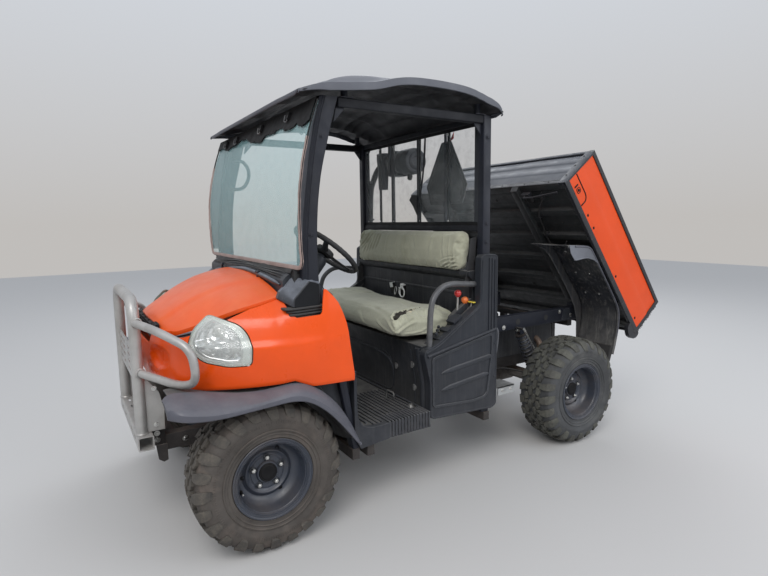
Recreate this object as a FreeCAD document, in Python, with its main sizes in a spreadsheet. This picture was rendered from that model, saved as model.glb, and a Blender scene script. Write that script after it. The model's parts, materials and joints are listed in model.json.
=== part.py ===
import FreeCAD, Part
import math
import os

# Side by side utility vehicle with a tipping load bed.
# The vehicle faces -Y, its left side is +X, +Z is up, and sizes are in millimetres.
# Places below are measured from the front axle (y = 0) and the ground (z = 0).
# Every finished piece is then moved by frame_shift, so that the origin lies on the
# ground below the middle of the whole vehicle.

os.makedirs("parts", exist_ok=True)
V = FreeCAD.Vector
doc = FreeCAD.newDocument("utility_vehicle")
sheet = doc.addObject("Spreadsheet::Sheet", "sizes")

# alias, value, what it is
SIZES = [
    ("frame_shift", 1087.5, "front axle to the middle of the vehicle"),
    ("wheelbase", 1925.0, "front axle to rear axle"),
    ("track_half", 585.0, "middle of a tyre from the centre plane"),
    ("axle_height", 317.5, "wheel centre above the ground"),
    ("tyre_radius", 317.5, "outside of the tread"),
    ("tyre_half_width", 127.0, "bulge of the side wall"),
    ("rim_seat_radius", 152.0, "bead seat"),
    ("rim_flange_radius", 170.0, "edge of the rim"),
    ("spindle_radius", 20.0, "wheel spindle"),
    ("bearing_gap", 0.05, "running clearance of pins and spindles"),
    ("kingpin_x", 540.0, "steering axis from the centre plane"),
    ("kingpin_radius", 10.0, "steering pin"),
    ("steer_arm", 70.0, "kingpin to the tie rod"),
    ("rail_inner", 200.0, "inner face of a chassis rail"),
    ("rail_width", 50.0, "width of a chassis rail"),
    ("bed_rail_inner", 335.0, "inner face of an upper rail"),
    ("bed_rail_bottom", 680.0, "underside of an upper rail"),
    ("bed_rail_top", 765.0, "top of an upper rail"),
    ("bed_rail_front", 1275.0, "front end of an upper rail"),
    ("bed_rail_rear", 2260.0, "rear end of an upper rail"),
    ("pivot_y", 2235.0, "bed hinge from the front axle"),
    ("pivot_z", 772.0, "bed hinge above the ground"),
    ("pivot_pin_radius", 15.0, "bed hinge pin"),
    ("bed_tilt", 52.55, "degrees the bed is raised"),
    ("bed_half_width", 724.0, "outside of the bed"),
    ("bed_front", 1286.0, "front of the lowered bed"),
    ("bed_rear", 2450.0, "rear of the lowered bed"),
    ("bed_floor_bottom", 800.0, "underside of the lowered bed"),
    ("bed_top", 1103.0, "top edge of the lowered bed"),
    ("bed_wall", 18.0, "thickness of a bed wall"),
    ("cylinder_x", 295.0, "lift cylinder, right of the centre plane"),
    ("cylinder_base_y", 2100.0, "lower pin of the lift cylinder"),
    ("cylinder_base_z", 460.0, "lower pin of the lift cylinder"),
    ("cylinder_eye_y", -300.0, "upper pin from the bed hinge, bed lowered"),
    ("cylinder_eye_z", -10.0, "upper pin from the bed hinge, bed lowered"),
    ("cylinder_radius", 27.0, "outside of the barrel"),
    ("cylinder_length", 312.0, "length of the barrel"),
    ("rod_radius", 14.0, "piston rod"),
    ("post_x", 611.0, "rear roll frame post from the centre plane"),
    ("rear_post_y", 1201.0, "rear roll frame post"),
    ("post_depth", 50.0, "roll frame post along the vehicle"),
    ("post_width", 45.0, "roll frame post across the vehicle"),
    ("post_top", 1868.0, "top of the roll frame"),
    ("roof_half_width", 705.0, "edge of the roof"),
    ("roof_front", 170.0, "front edge of the roof"),
    ("roof_rear", 1262.0, "rear edge of the roof"),
    ("roof_wall", 14.0, "thickness of the roof shell"),
    ("cab_half_width", 655.0, "outside of the cab side panels"),
    ("cab_panel", 50.0, "depth of a cab side panel"),
    ("floor_top", 400.0, "top of the floor"),
    ("floor_half_width", 655.0, "edge of the floor"),
    ("glass_half_width", 705.0, "edge of the windshield"),
    ("glass_wall", 6.0, "thickness of the windshield"),
    ("guard_post_x", 290.0, "front guard post"),
    ("guard_y", -430.0, "plane of the front guard"),
    ("guard_tube", 24.0, "radius of the guard tube"),
    ("guard_bottom", 420.0, "bottom of the guard posts"),
    ("guard_top", 1042.0, "middle of the top bar of the guard"),
    ("flare_half_width", 760.0, "outside of the front flares"),
    ("wheel_x", 330.0, "steering wheel from the centre plane"),
    ("wheel_y", 435.0, "centre of the steering wheel"),
    ("wheel_z", 1215.0, "centre of the steering wheel"),
    ("wheel_tilt", 40.0, "degrees the steering column leans"),
    ("wheel_ring", 172.0, "radius of the steering wheel ring"),
    ("wheel_grip", 13.0, "radius of the steering wheel grip"),
    ("cushion_half_width", 545.0, "bench cushion"),
    ("backrest_half_width", 540.0, "backrest cushion"),
]
for row, (alias, value, note) in enumerate(SIZES, start=1):
    sheet.set("A%d" % row, alias)
    sheet.set("B%d" % row, str(value))
    sheet.set("C%d" % row, note)
    sheet.setAlias("B%d" % row, alias)
doc.recompute()


def size(alias):
    return float(sheet.get(alias))


NODES = []          # finished pieces, in the order they are written
counter = [0]


def fresh(kind):
    counter[0] += 1
    return "%s_%03d" % (kind, counter[0])


def whole_piece(obj):
    """A piece that is placed along the vehicle on its own is held in a compound."""
    own = [path for path, text in obj.ExpressionEngine if "Placement.Base.y" in path]
    return group([obj]) if own or obj.TypeId in ("Part::Box", "Part::Cylinder") else obj


def node(obj, name, dy=None):
    """Names a finished piece and moves it from the axle frame to the vehicle's frame."""
    obj = whole_piece(obj)
    obj.Label = name
    obj.setExpression("Placement.Base.y", "%s - sizes.frame_shift" % (dy or "0"))
    NODES.append(obj)
    return obj


def origin_plane(body, role):
    for feature in body.Origin.OriginFeatures:
        if feature.Role == role:
            return feature
    raise RuntimeError(role)


def lines(points):
    return [Part.LineSegment(V(a[0], a[1], 0), V(b[0], b[1], 0))
            for a, b in zip(points, points[1:] + points[:1])]


def outline(points):
    """Closed sketch outline. A point with a third value is the middle of an arc."""
    edges, n, i = [], len(points), 0
    ring = points + [points[0]]
    while i < n:
        a = ring[i]
        b = ring[i + 1]
        if len(b) == 3:
            c = ring[i + 2]
            edges.append(Part.Arc(V(a[0], a[1], 0), V(b[0], b[1], 0), V(c[0], c[1], 0)))
            i += 2
        else:
            edges.append(Part.LineSegment(V(a[0], a[1], 0), V(b[0], b[1], 0)))
            i += 1
    return edges


# a sketch on YZ is drawn (y, z) and padded along +X; on XZ (x, z) along -Y; on XY (x, y) along +Z
PLANES = {"YZ": "YZ_Plane", "XZ": "XZ_Plane", "XY": "XY_Plane"}


def prism(plane, points, start, depth):
    """One padded sketch in a body of its own; start and depth are expressions of the sheet."""
    body = doc.addObject("PartDesign::Body", fresh("body"))
    sketch = body.newObject("Sketcher::SketchObject", fresh("sketch"))
    sketch.AttachmentSupport = [(origin_plane(body, PLANES[plane]), "")]
    sketch.MapMode = "FlatFace"
    for edge in outline(points):
        sketch.addGeometry(edge, False)
    pad = body.newObject("PartDesign::Pad", fresh("pad"))
    pad.Profile = sketch
    pad.setExpression("Length", str(depth))
    body.Tip = pad
    if plane == "YZ":
        body.setExpression("Placement.Base.x", str(start))
    elif plane == "XZ":
        body.setExpression("Placement.Base.y", "(%s) + (%s)" % (start, depth))
    else:
        body.setExpression("Placement.Base.z", str(start))
    return body


def both(plane_points, x_in, depth):
    """The same side outline on the left and on the right of the centre plane."""
    return [prism("YZ", plane_points, x_in, depth),
            prism("YZ", plane_points, "-(%s) - (%s)" % (x_in, depth), depth)]


def box(x0, x1, y0, y1, z0, z1):
    """Box between expressions of the sheet."""
    obj = doc.addObject("Part::Box", fresh("box"))
    for key, low, high in (("Length", x0, x1), ("Width", y0, y1), ("Height", z0, z1)):
        obj.setExpression(key, "(%s) - (%s)" % (high, low))
    for key, low in (("x", x0), ("y", y0), ("z", z0)):
        obj.setExpression("Placement.Base." + key, str(low))
    return obj


AXES = {"x": FreeCAD.Rotation(V(0, 1, 0), 90), "y": FreeCAD.Rotation(V(1, 0, 0), -90),
        "z": FreeCAD.Rotation()}


def rod(axis, radius, length, x, y, z):
    """Cylinder along +axis from x, y, z; all but the axis are expressions."""
    obj = doc.addObject("Part::Cylinder", fresh("cylinder"))
    obj.Placement = FreeCAD.Placement(V(), AXES[axis])
    obj.setExpression("Radius", str(radius))
    obj.setExpression("Height", str(length))
    for key, low in (("x", x), ("y", y), ("z", z)):
        obj.setExpression("Placement.Base." + key, str(low))
    return obj


def fuse(parts):
    if len(parts) == 1:
        return parts[0]
    obj = doc.addObject("Part::MultiFuse", fresh("fuse"))
    obj.Shapes = parts
    return obj


def join(first, second):
    obj = doc.addObject("Part::Fuse", fresh("join"))
    obj.Base = first
    obj.Tool = second
    return obj


def group(parts):
    obj = doc.addObject("Part::Compound", fresh("group"))
    obj.Links = parts
    return obj


def cut(base, tool):
    obj = doc.addObject("Part::Cut", fresh("cut"))
    obj.Base = base
    obj.Tool = tool
    return obj


def common(base, tool):
    obj = doc.addObject("Part::Common", fresh("common"))
    obj.Base = base
    obj.Tool = tool
    return obj


def mirrored(source):
    obj = doc.addObject("Part::Mirroring", fresh("mirror"))
    obj.Source = source
    obj.Normal = V(1, 0, 0)
    obj.Base = V(0, 0, 0)
    return obj


def route(points, bend):
    """Straight runs joined by tangent arcs of radius bend."""
    edges = []
    here = V(*points[0])
    for i in range(1, len(points) - 1):
        p, c, q = V(*points[i - 1]), V(*points[i]), V(*points[i + 1])
        into = (c - p).normalize()
        out = (q - c).normalize()
        turn = into.getAngle(out)
        reach = bend * math.tan(turn / 2.0)
        a, b = c - into * reach, c + out * reach
        bisector = (out - into).normalize()
        centre = c + bisector * (bend / math.cos(turn / 2.0))
        middle = centre - bisector * bend
        if (a - here).Length > 1e-6:
            edges.append(Part.LineSegment(here, a).toShape())
        edges.append(Part.Arc(a, middle, b).toShape())
        here = b
    edges.append(Part.LineSegment(here, V(*points[-1])).toShape())
    return Part.Wire(edges)


def tube(points, radius, bend):
    """Round bar swept along a route; radius is an expression."""
    spine = doc.addObject("Part::Feature", fresh("spine"))
    spine.Shape = route(points, bend)
    ring = doc.addObject("Part::Circle", fresh("ring"))
    ring.setExpression("Radius", str(radius))
    first = (V(*points[1]) - V(*points[0])).normalize()
    ring.Placement = FreeCAD.Placement(V(*points[0]), FreeCAD.Rotation(V(0, 0, 1), first))
    sweep = doc.addObject("Part::Sweep", fresh("sweep"))
    sweep.Sections = [ring]
    sweep.Spine = (spine, ["Edge%d" % (k + 1) for k in range(len(spine.Shape.Edges))])
    sweep.Solid = True
    sweep.Frenet = False
    return sweep


def shrink(points, wall):
    """The same outline drawn inside itself by wall (straight edges only)."""
    area = sum(a[0] * b[1] - b[0] * a[1] for a, b in zip(points, points[1:] + points[:1])) / 2.0
    side = 1.0 if area > 0 else -1.0
    n, inner = len(points), []
    for i in range(n):
        p, c, q = points[i - 1], points[i], points[(i + 1) % n]
        d1 = ((c[0] - p[0]), (c[1] - p[1]))
        d2 = ((q[0] - c[0]), (q[1] - c[1]))
        l1, l2 = math.hypot(*d1), math.hypot(*d2)
        n1 = (-d1[1] / l1 * side, d1[0] / l1 * side)
        n2 = (-d2[1] / l2 * side, d2[0] / l2 * side)
        k = 1.0 + n1[0] * n2[0] + n1[1] * n2[1]
        inner.append((c[0] + wall * (n1[0] + n2[0]) / k, c[1] + wall * (n1[1] + n2[1]) / k))
    return inner


def hollow(points, wall, start, depth, cap):
    """Side outline across the vehicle with its inside left out; cap is the end wall."""
    outer = prism("YZ", points, start, depth)
    inner = prism("YZ", shrink(points, wall), "(%s) + %s" % (start, cap), "(%s) - 2 * %s" % (depth, cap))
    return cut(outer, inner)


def loft(sections):
    """Ruled solid through closed outlines in planes across the vehicle: (y, [(x, z), ...])."""
    obj = doc.addObject("Part::Loft", fresh("loft"))
    wires = []
    for y, points in sections:
        wire = doc.addObject("Part::Feature", fresh("section"))
        ring = [V(x, y, z) for x, z in points]
        wire.Shape = Part.makePolygon(ring + [ring[0]])
        wires.append(wire)
    obj.Sections = wires
    obj.Solid = True
    obj.Ruled = True
    return obj


# ------------------------------------------------------------------ wheels
def revolved(points, axis_role="X_Axis"):
    """Outline (x, radius) turned about the X axis."""
    body = doc.addObject("PartDesign::Body", fresh("body"))
    sketch = body.newObject("Sketcher::SketchObject", fresh("sketch"))
    sketch.AttachmentSupport = [(origin_plane(body, "XZ_Plane"), "")]
    sketch.MapMode = "FlatFace"
    for edge in outline(points):
        sketch.addGeometry(edge, False)
    turn = body.newObject("PartDesign::Revolution", fresh("revolution"))
    turn.Profile = sketch
    turn.ReferenceAxis = (sketch, ["H_Axis"])
    turn.Angle = 360.0
    body.Tip = turn
    return body


R = size("tyre_radius")
W = size("tyre_half_width")
SEAT = size("rim_seat_radius")
FLANGE = size("rim_flange_radius")
BORE = size("spindle_radius") + size("bearing_gap")

# half section of the tyre, (x, radius), outside then inside
TYRE = [(-104, SEAT), (-104, 172), (-W, 236), (-118, 292), (-100, R), (100, R), (118, 292), (W, 236),
        (104, 172), (104, SEAT), (86, SEAT), (88, 180), (110, 236), (102, 282), (90, 296), (-90, 296),
        (-102, 282), (-110, 236), (-88, 180), (-86, SEAT)]

# rim and disc, (x, radius), x grows away from the vehicle
RIM = [(112, FLANGE), (106, FLANGE), (104, SEAT), (-104, SEAT), (-106, FLANGE), (-112, FLANGE), (-110, 147),
       (-30, 147), (-22, 120), (10, 112), (2, 96), (-13, 74), (-13, BORE), (30, BORE),
       (30, 48), (8, 52), (4, 74), (18, 96), (26, 116), (20, 136), (40, 147), (110, 147)]

WHEELS = [                       # name, side (+1 left), place along the vehicle
    ("front_left", 1, "0"),
    ("front_right", -1, "0"),
    ("rear_left", 1, "sizes.wheelbase"),
    ("rear_right", -1, "sizes.wheelbase"),
]
for name, side, along in WHEELS:
    tyre = revolved([(side * x, r) for x, r in TYRE])
    tyre.setExpression("Placement.Base.x", "%d * sizes.track_half" % side)
    tyre.setExpression("Placement.Base.z", "sizes.axle_height")
    node(tyre, "tyre_" + name, along)
    disc = revolved([(side * x, r) for x, r in RIM])
    nuts = []
    for k in range(5):
        a = math.radians(72 * k + 18)
        y, z = 62 * math.cos(a), 62 * math.sin(a)
        nuts.append(rod("x", 8, 26, "%d" % (0 if side > 0 else -26), "%.4f" % y, "%.4f" % z))
    cap = rod("x", 30, 12, "%d" % (30 if side > 0 else -42), "0", "0")
    wheel = fuse([disc, cap] + nuts)
    wheel.setExpression("Placement.Base.x", "%d * sizes.track_half" % side)
    wheel.setExpression("Placement.Base.z", "sizes.axle_height")
    node(wheel, "wheel_" + name, along)

# ------------------------------------------------------------------ front axle
for name, side in (("left", 1), ("right", -1)):
    s = "%d * " % side
    lo = lambda a, b: (a, b) if side > 0 else ("-(%s)" % b, "-(%s)" % a)
    upright = box(*lo("515", "562"), "-28", "28", "236", "398")
    spindle = rod("x", "sizes.spindle_radius", "sizes.track_half + 25 - 560",
                  "560" if side > 0 else "-sizes.track_half - 25", "0", "sizes.axle_height")
    pin = rod("z", "sizes.kingpin_radius", "436 - 204", s + "sizes.kingpin_x", "0", "204")
    arm = prism("XY", [(side * 516, -20), (side * 562, -20), (side * 554, 86), (side * 518, 86)], "262", "14")
    node(fuse([upright, spindle, pin, arm]), "knuckle_" + name)

ARMS = [                         # underside z, half width at the chassis
    (204, 105), (408, 85)]
arms = []
for z, half in ARMS:
    for side in (1, -1):
        plate = prism("XY", [(side * 252, -half), (side * 546, -24), (side * 562, -10), (side * 562, 10),
                             (side * 546, 24), (side * 252, half),
                             (side * 252, half - 40), (side * 430, 0), (side * 252, -half + 40)],
                      str(z), "28")
        hole = rod("z", "sizes.kingpin_radius + sizes.bearing_gap", "60", "%d * sizes.kingpin_x" % side, "0", str(z - 10))
        arms.append(cut(plate, hole))

housing = [rod("y", 86, 120, "0", "-60", "sizes.axle_height"), rod("x", 46, 240, "-120", "0", "sizes.axle_height"),
           rod("x", 14, 990, "-495", "0", "sizes.axle_height"),
           rod("y", 34, 150, "0", "55", "sizes.axle_height"),
           rod("x", 34, 26, "466", "0", "sizes.axle_height"), rod("x", 34, 26, "-492", "0", "sizes.axle_height")]
node(fuse(housing), "front_differential")

SHOCKS = [  # name, lower point, upper point, radius of the spring
    ("front_shocks", (415, 0, 444), (340, 0, 690), 26),
    ("rear_shocks", (372, 1872, 372), (360, 1745, 662), 22)]


def between(a, b, radius, start=0.0, end=1.0):
    """Cylinder between two points, or a part of that way."""
    a, b = V(*a), V(*b)
    obj = doc.addObject("Part::Cylinder", fresh("cylinder"))
    way = b - a
    obj.Radius = radius
    obj.Height = way.Length * (end - start)
    obj.Placement = FreeCAD.Placement(a + way * start, FreeCAD.Rotation(V(0, 0, 1), way))
    return obj


sprung = {}
for name, low, high, coil in SHOCKS:
    sides = []
    for side in (1, -1):
        a = (side * low[0], low[1], low[2])
        b = (side * high[0], high[1], high[2])
        sides.append(fuse([between(a, b, 9), between(a, b, coil, 0.22, 0.82),
                           rod("y" if name[0] == "f" else "x", 14, 26, str(a[0] - (0 if name[0] == "f" else 13)),
                               str(a[1] - (13 if name[0] == "f" else 0)), str(a[2])),
                           rod("y" if name[0] == "f" else "x", 14, 26, str(b[0] - (0 if name[0] == "f" else 13)),
                               str(b[1] - (13 if name[0] == "f" else 0)), str(b[2]))]))
    sprung[name] = sides
# each side's arms and shock absorber are joined where they are bolted together
node(group([arms[0], arms[1], fuse([arms[2], sprung["front_shocks"][0]]), fuse([arms[3], sprung["front_shocks"][1]])]),
     "front_suspension")

# one bar across behind the front axle, with an eye under each steering arm
tie = [rod("x", 9, 1060, "-530", "sizes.steer_arm", "248"),
       rod("z", 14, 20, "536", "sizes.steer_arm", "238"), rod("z", 14, 20, "-536", "sizes.steer_arm", "238")]
node(fuse(tie), "tie_rod")

# ------------------------------------------------------------------ rear axle
rear = [rod("y", 98, 150, "0", "sizes.wheelbase - 75", "sizes.axle_height"),
        rod("x", 38, 890, "-445", "sizes.wheelbase", "sizes.axle_height"),
        rod("x", 60, 20, "432", "sizes.wheelbase", "sizes.axle_height"),
        rod("x", 60, 20, "-452", "sizes.wheelbase", "sizes.axle_height"),
        rod("x", "sizes.spindle_radius", "2 * sizes.track_half + 50", "-sizes.track_half - 25", "sizes.wheelbase", "sizes.axle_height"),
        rod("y", 40, 130, "0", "sizes.wheelbase - 190", "sizes.axle_height")]
for side in (1, -1):
    rear.append(box(str(side * 372 - 9), str(side * 372 + 9), "1850", "1940", "345", "360"))
node(fuse(rear + sprung["rear_shocks"]), "rear_axle")

# ------------------------------------------------------------------ chassis
RAIL = [(-330, 360), (180, 360), (330, 262), (1230, 262), (1500, 400), (2240, 400),
        (2240, 470), (1470, 470), (1215, 335), (345, 335), (200, 430), (-330, 430)]
rail_left, rail_right = both(RAIL, "sizes.rail_inner", "sizes.rail_width")
# the right rail carries the lower pin of the lift cylinder
cylinder_pin = fuse([rod("x", 14, 86, "-sizes.cylinder_x - 27", "sizes.cylinder_base_y", "sizes.cylinder_base_z"),
                     rod("x", 22, 20, "-268", "sizes.cylinder_base_y", "sizes.cylinder_base_z")])
node(group([rail_left, fuse([rail_right, cylinder_pin])]), "chassis_rails")

CROSS = [  # front y, rear y, bottom z, top z
    (-325, -285, 365, 425), (140, 180, 372, 420), (640, 680, 270, 330), (1160, 1200, 270, 325),
    (1560, 1590, 410, 460), (2190, 2235, 405, 465)]
bars = [box("-sizes.rail_inner", "sizes.rail_inner", str(a), str(b), str(c), str(d)) for a, b, c, d in CROSS]
# brackets that carry the floor and the cab, outside the rails
WINGS = [(392, 430, 272, 322), (470, 508, 272, 335), (1188, 1226, 285, 330)]
for a, b, c, d in WINGS:
    bars.append(box("sizes.rail_inner + sizes.rail_width", "640", str(a), str(b), str(c), str(d)))
    bars.append(box("-640", "-sizes.rail_inner - sizes.rail_width", str(a), str(b), str(c), str(d)))

upper = []
for side in (1, -1):
    lo = (lambda a, b: (a, b)) if side > 0 else (lambda a, b: ("-(%s)" % b, "-(%s)" % a))
    rail = box(*lo("sizes.bed_rail_inner", "sizes.bed_rail_inner + 50"), "sizes.bed_rail_front", "sizes.bed_rail_rear",
               "sizes.bed_rail_bottom", "sizes.bed_rail_top")
    boss = rod("x", 20, 30, "345" if side > 0 else "-375", "sizes.pivot_y", "sizes.pivot_z")
    pin = rod("x", "sizes.pivot_pin_radius", 90, "325" if side > 0 else "-415", "sizes.pivot_y", "sizes.pivot_z")
    plates = [box(str(min(side * x, side * (x + 6))), str(max(side * x, side * (x + 6))), "1727", "1763", "640", "684") for x in (339, 375)]
    upper.append(fuse([rail, boss, pin] + plates))
node(group(upper), "bed_support_rails")

frames = []
for a, b in ((1288, 1328), (2170, 2205)):
    parts = [box("-385", "385", str(a), str(b), "640", "sizes.bed_rail_bottom")]
    for side in (1, -1):
        x0, x1 = (200, 250) if side > 0 else (-250, -200)
        foot = "470" if a > 2000 else "396"
        parts.append(box(str(x0), str(x1), str(a), str(b), foot, "660"))
    frames.append(fuse(parts))
node(group(frames), "subframe_uprights")

towers = [box("230", "290", "-34", "34", "440", "704"), box("-290", "-230", "-34", "34", "440", "704"),
          box("285", "356", "15", "21", "670", "704"), box("285", "356", "-21", "-15", "670", "704"),
          box("-356", "-285", "15", "21", "670", "704"), box("-356", "-285", "-21", "-15", "670", "704"),
          box("-230", "230", "-20", "20", "560", "600")]
plate = box("-60", "60", "2220", "2340", "424", "436")
hitch = cut(plate, rod("z", "9.5", "40", "0", "2312", "410"))
bars[5] = fuse([bars[5], hitch])
node(group(bars + [fuse(towers)]), "chassis_crossmembers")

node(box("-195", "195", "1345", "1850", "460", "638"), "engine_block")
muffler = fuse([rod("x", 62, 380, "-190", "2010", "560"), tube([(150, 2010, 560), (290, 2010, 560), (290, 2010, 360), (290, 2300, 360)], "19", 60)])
node(muffler, "exhaust_muffler")

# ------------------------------------------------------------------ lift cylinder
tilt = math.radians(size("bed_tilt"))
eye_y, eye_z = size("cylinder_eye_y"), size("cylinder_eye_z")
eye = V(-size("cylinder_x"), size("pivot_y") + eye_y * math.cos(tilt) + eye_z * math.sin(tilt),
        size("pivot_z") - eye_y * math.sin(tilt) + eye_z * math.cos(tilt))
base = V(-size("cylinder_x"), size("cylinder_base_y"), size("cylinder_base_z"))
way = (eye - base)
length = way.Length
unit = V(way.x, way.y, way.z).normalize()


def along_cylinder(radius, start, end):
    obj = doc.addObject("Part::Cylinder", fresh("cylinder"))
    obj.setExpression("Radius", str(radius))
    obj.Height = end - start
    obj.Placement = FreeCAD.Placement(base + unit * start, FreeCAD.Rotation(V(0, 0, 1), unit))
    return obj


barrel_body = fuse([along_cylinder("sizes.cylinder_radius", 12, size("cylinder_length")),
                    along_cylinder("sizes.cylinder_radius + 4", size("cylinder_length") - 30, size("cylinder_length")),
                    rod("x", 24, 36, "-sizes.cylinder_x - 18", "sizes.cylinder_base_y", "sizes.cylinder_base_z")])
barrel = cut(cut(barrel_body, along_cylinder("sizes.rod_radius + sizes.bearing_gap + 6", 70, size("cylinder_length") - 30)),
             fuse([along_cylinder("sizes.rod_radius + sizes.bearing_gap", size("cylinder_length") - 31, size("cylinder_length") + 5),
                   rod("x", "14.06", 60, "-sizes.cylinder_x - 30", "sizes.cylinder_base_y", "sizes.cylinder_base_z")]))
node(barrel, "lift_cylinder")
piston = fuse([along_cylinder("sizes.rod_radius", length - 262 + 0, length - 18),
               rod("x", 20, 30, "-sizes.cylinder_x - 15", "%.5f" % eye.y, "%.5f" % eye.z)])
node(piston, "lift_rod")

# ------------------------------------------------------------------ load bed, drawn lowered about its hinge
PY, PZ = size("pivot_y"), size("pivot_z")


def bed_node(obj, name):
    obj = whole_piece(obj)
    obj.Label = name
    obj.Placement = FreeCAD.Placement(V(), FreeCAD.Rotation(V(1, 0, 0), -size("bed_tilt")))
    obj.setExpression("Placement.Base.y", "sizes.pivot_y - sizes.frame_shift")
    obj.setExpression("Placement.Base.z", "sizes.pivot_z")
    NODES.append(obj)
    return obj


def by(text):
    return "(%s) - sizes.pivot_y" % text


def bz(text):
    return "(%s) - sizes.pivot_z" % text


def bed_box(x0, x1, y0, y1, z0, z1):
    return box(x0, x1, by(y0), by(y1), bz(z0), bz(z1))


def bed_points(points):
    return [(p[0] - PY, p[1] - PZ) + tuple(p[2:]) for p in points]


floor_parts = [bed_box("-704", "704", "sizes.bed_front", "2412", "828", "834")]
BED_BEAMS = [1290, 1470, 1650, 1830, 2010, 2190, 2372]      # front face of each cross beam
for y in BED_BEAMS:
    floor_parts.append(bed_box("-700", "700", str(y), str(y + 40), "sizes.bed_floor_bottom", "829"))
for x0, x1 in ((335, 385), (-385, -335)):
    floor_parts.append(bed_box(str(x0), str(x1), "1300", "2180", "771", "801"))
node_floor = fuse(floor_parts)
LUG = [(2207, 776), (2207, 805), (2263, 805), (2263, 776), (2235, 745, 1)]
lugs = []
for x0 in ("390", "-404"):
    lug = prism("YZ", bed_points([(2207, 772), (2207, 815), (2263, 815), (2263, 772), (2235, 744, 1)]), x0, "14")
    lugs.append(cut(lug, rod("x", "sizes.pivot_pin_radius + sizes.bearing_gap", 60, "(%s) - 20" % x0, "0", "0")))
EYE_LUG = [(PY + eye_y - 26, 800), (PY + eye_y - 20, 750), (PY + eye_y + 20, 750), (PY + eye_y + 26, 800),
           (PY + eye_y + 60, 829), (PY + eye_y - 60, 829)]
for x0 in (-330, -268):
    lugs.append(prism("YZ", bed_points(EYE_LUG), str(x0), "8"))
bed_floor = fuse([node_floor] + lugs)
bed_node(bed_floor, "bed_floor")

walls = []
for side in (1, -1):
    a, b = ("704", "sizes.bed_half_width") if side > 0 else ("-sizes.bed_half_width", "-704")
    c, d = ("692", "sizes.bed_half_width") if side > 0 else ("-sizes.bed_half_width", "-692")
    walls.append(fuse([bed_box(a, b, "sizes.bed_front", "sizes.bed_rear", "sizes.bed_floor_bottom", "sizes.bed_top - 20"),
                       bed_box(c, d, "sizes.bed_front", "sizes.bed_rear", "sizes.bed_top - 22", "sizes.bed_top")]))
bed_node(group(walls), "bed_sides")

front_wall = bed_box("-692", "692", "sizes.bed_front", "sizes.bed_front + sizes.bed_wall", "834", "sizes.bed_top")
bed_node(front_wall, "bed_front_panel")

gate = fuse([bed_box("-690", "690", "2426", "2450", "824", "sizes.bed_top"),
             rod("x", 9, 1380, "-690", by("2438"), bz("818"))])
bed_node(gate, "tailgate")

# arch of each rear wheel guard, lowered: outer line, then back along the inner line
ARCH = [(1598, 652), (1700, 770), (1745, 800), (2150, 800), (2236, 786), (2300, 744), (2364, 676), (2430, 590)]
inner_arch = [(1609, 646), (1708, 762), (1750, 791), (2147, 791), (2231, 778), (2293, 737), (2356, 670), (2421, 584)]
guards = []
for side in (1, -1):
    shell = prism("YZ", bed_points(ARCH + inner_arch[::-1]), "430" if side > 0 else "-702", "272")
    wall = prism("YZ", bed_points([(1640, 690), (1704, 766), (1748, 796), (2148, 796), (2233, 782), (2296, 740), (2360, 673), (2400, 622)]),
                 "424" if side > 0 else "-432", "8")
    guards.append(fuse([shell, wall]))
bed_node(group(guards), "bed_wheel_guards")

# ------------------------------------------------------------------ cab floor and seat base
FLOOR_TOP = size("floor_top")
FLOOR = [(200, 684), (213, 696), (398, FLOOR_TOP), (836, FLOOR_TOP), (836, FLOOR_TOP - 20), (386, FLOOR_TOP - 20)]
floor = prism("YZ", FLOOR, "-556", "1112")
steps = [box("550", "sizes.floor_half_width", "452", "823", "335", "sizes.floor_top"),
         box("-sizes.floor_half_width", "-550", "452", "823", "335", "sizes.floor_top")]
# side skirt between the front flare and the step
SKIRT = [(399, 690), (411, 690), (413, 480), (428, 440), (470, 412), (520, 400), (600, 400), (600, 336), (430, 322), (399, 383)]
skirts = [prism("YZ", SKIRT, a, "14") for a in ("641", "-655")]
node(fuse([floor] + steps + skirts), "cab_floor")

BENCH = [(838, 362), (838, 540), (805, 738), (1176, 738), (1176, 362)]
node(hollow(BENCH, 6, "-604", "1208", 6), "bench_base")

SIDE = [(826, 372), (1236, 350), (1268, 366), (1268, 1166), (1252, 1180), (1186, 1184), (1168, 1170), (1092, 952), (812, 752), (800, 728), (836, 533)]
POST_ROOM = ["sizes.post_x - sizes.post_width / 2 - 1", "sizes.post_x + sizes.post_width / 2 + 1",
             "sizes.rear_post_y - sizes.post_depth / 2 - 1", "sizes.rear_post_y + sizes.post_depth / 2 + 1", "300", "1300"]
post_room = box(*POST_ROOM)
post_room_right = box("-(%s)" % POST_ROOM[1], "-(%s)" % POST_ROOM[0], *POST_ROOM[2:])
node(group([cut(hollow(SIDE, 5, "sizes.cab_half_width - sizes.cab_panel", "sizes.cab_panel", 5), post_room),
            cut(hollow(SIDE, 5, "-sizes.cab_half_width", "sizes.cab_panel", 5), post_room_right)]), "cab_sides")

BACK = [(1150, 738), (1172, 738), (1172, 900), (1172, 1060), (1172, 1086), (1130, 1086), (1130, 1064), (1150, 1050)]
node(prism("YZ", BACK, "-586", "1172"), "backrest_panel")

CUSHION = [(690, 790), (700, 770), (1100, 745), (1128, 760), (1132, 850), (1100, 868), (760, 888), (704, 872), (684, 838)]
node(prism("YZ", CUSHION, "-sizes.cushion_half_width", "2 * sizes.cushion_half_width"), "seat_cushion")
REST = [(1096, 1100), (1110, 1092), (1168, 1092), (1174, 1110), (1184, 1280), (1176, 1302), (1128, 1304), (1110, 1290)]
node(prism("YZ", REST, "-sizes.backrest_half_width", "2 * sizes.backrest_half_width"), "backrest_cushion")

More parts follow.
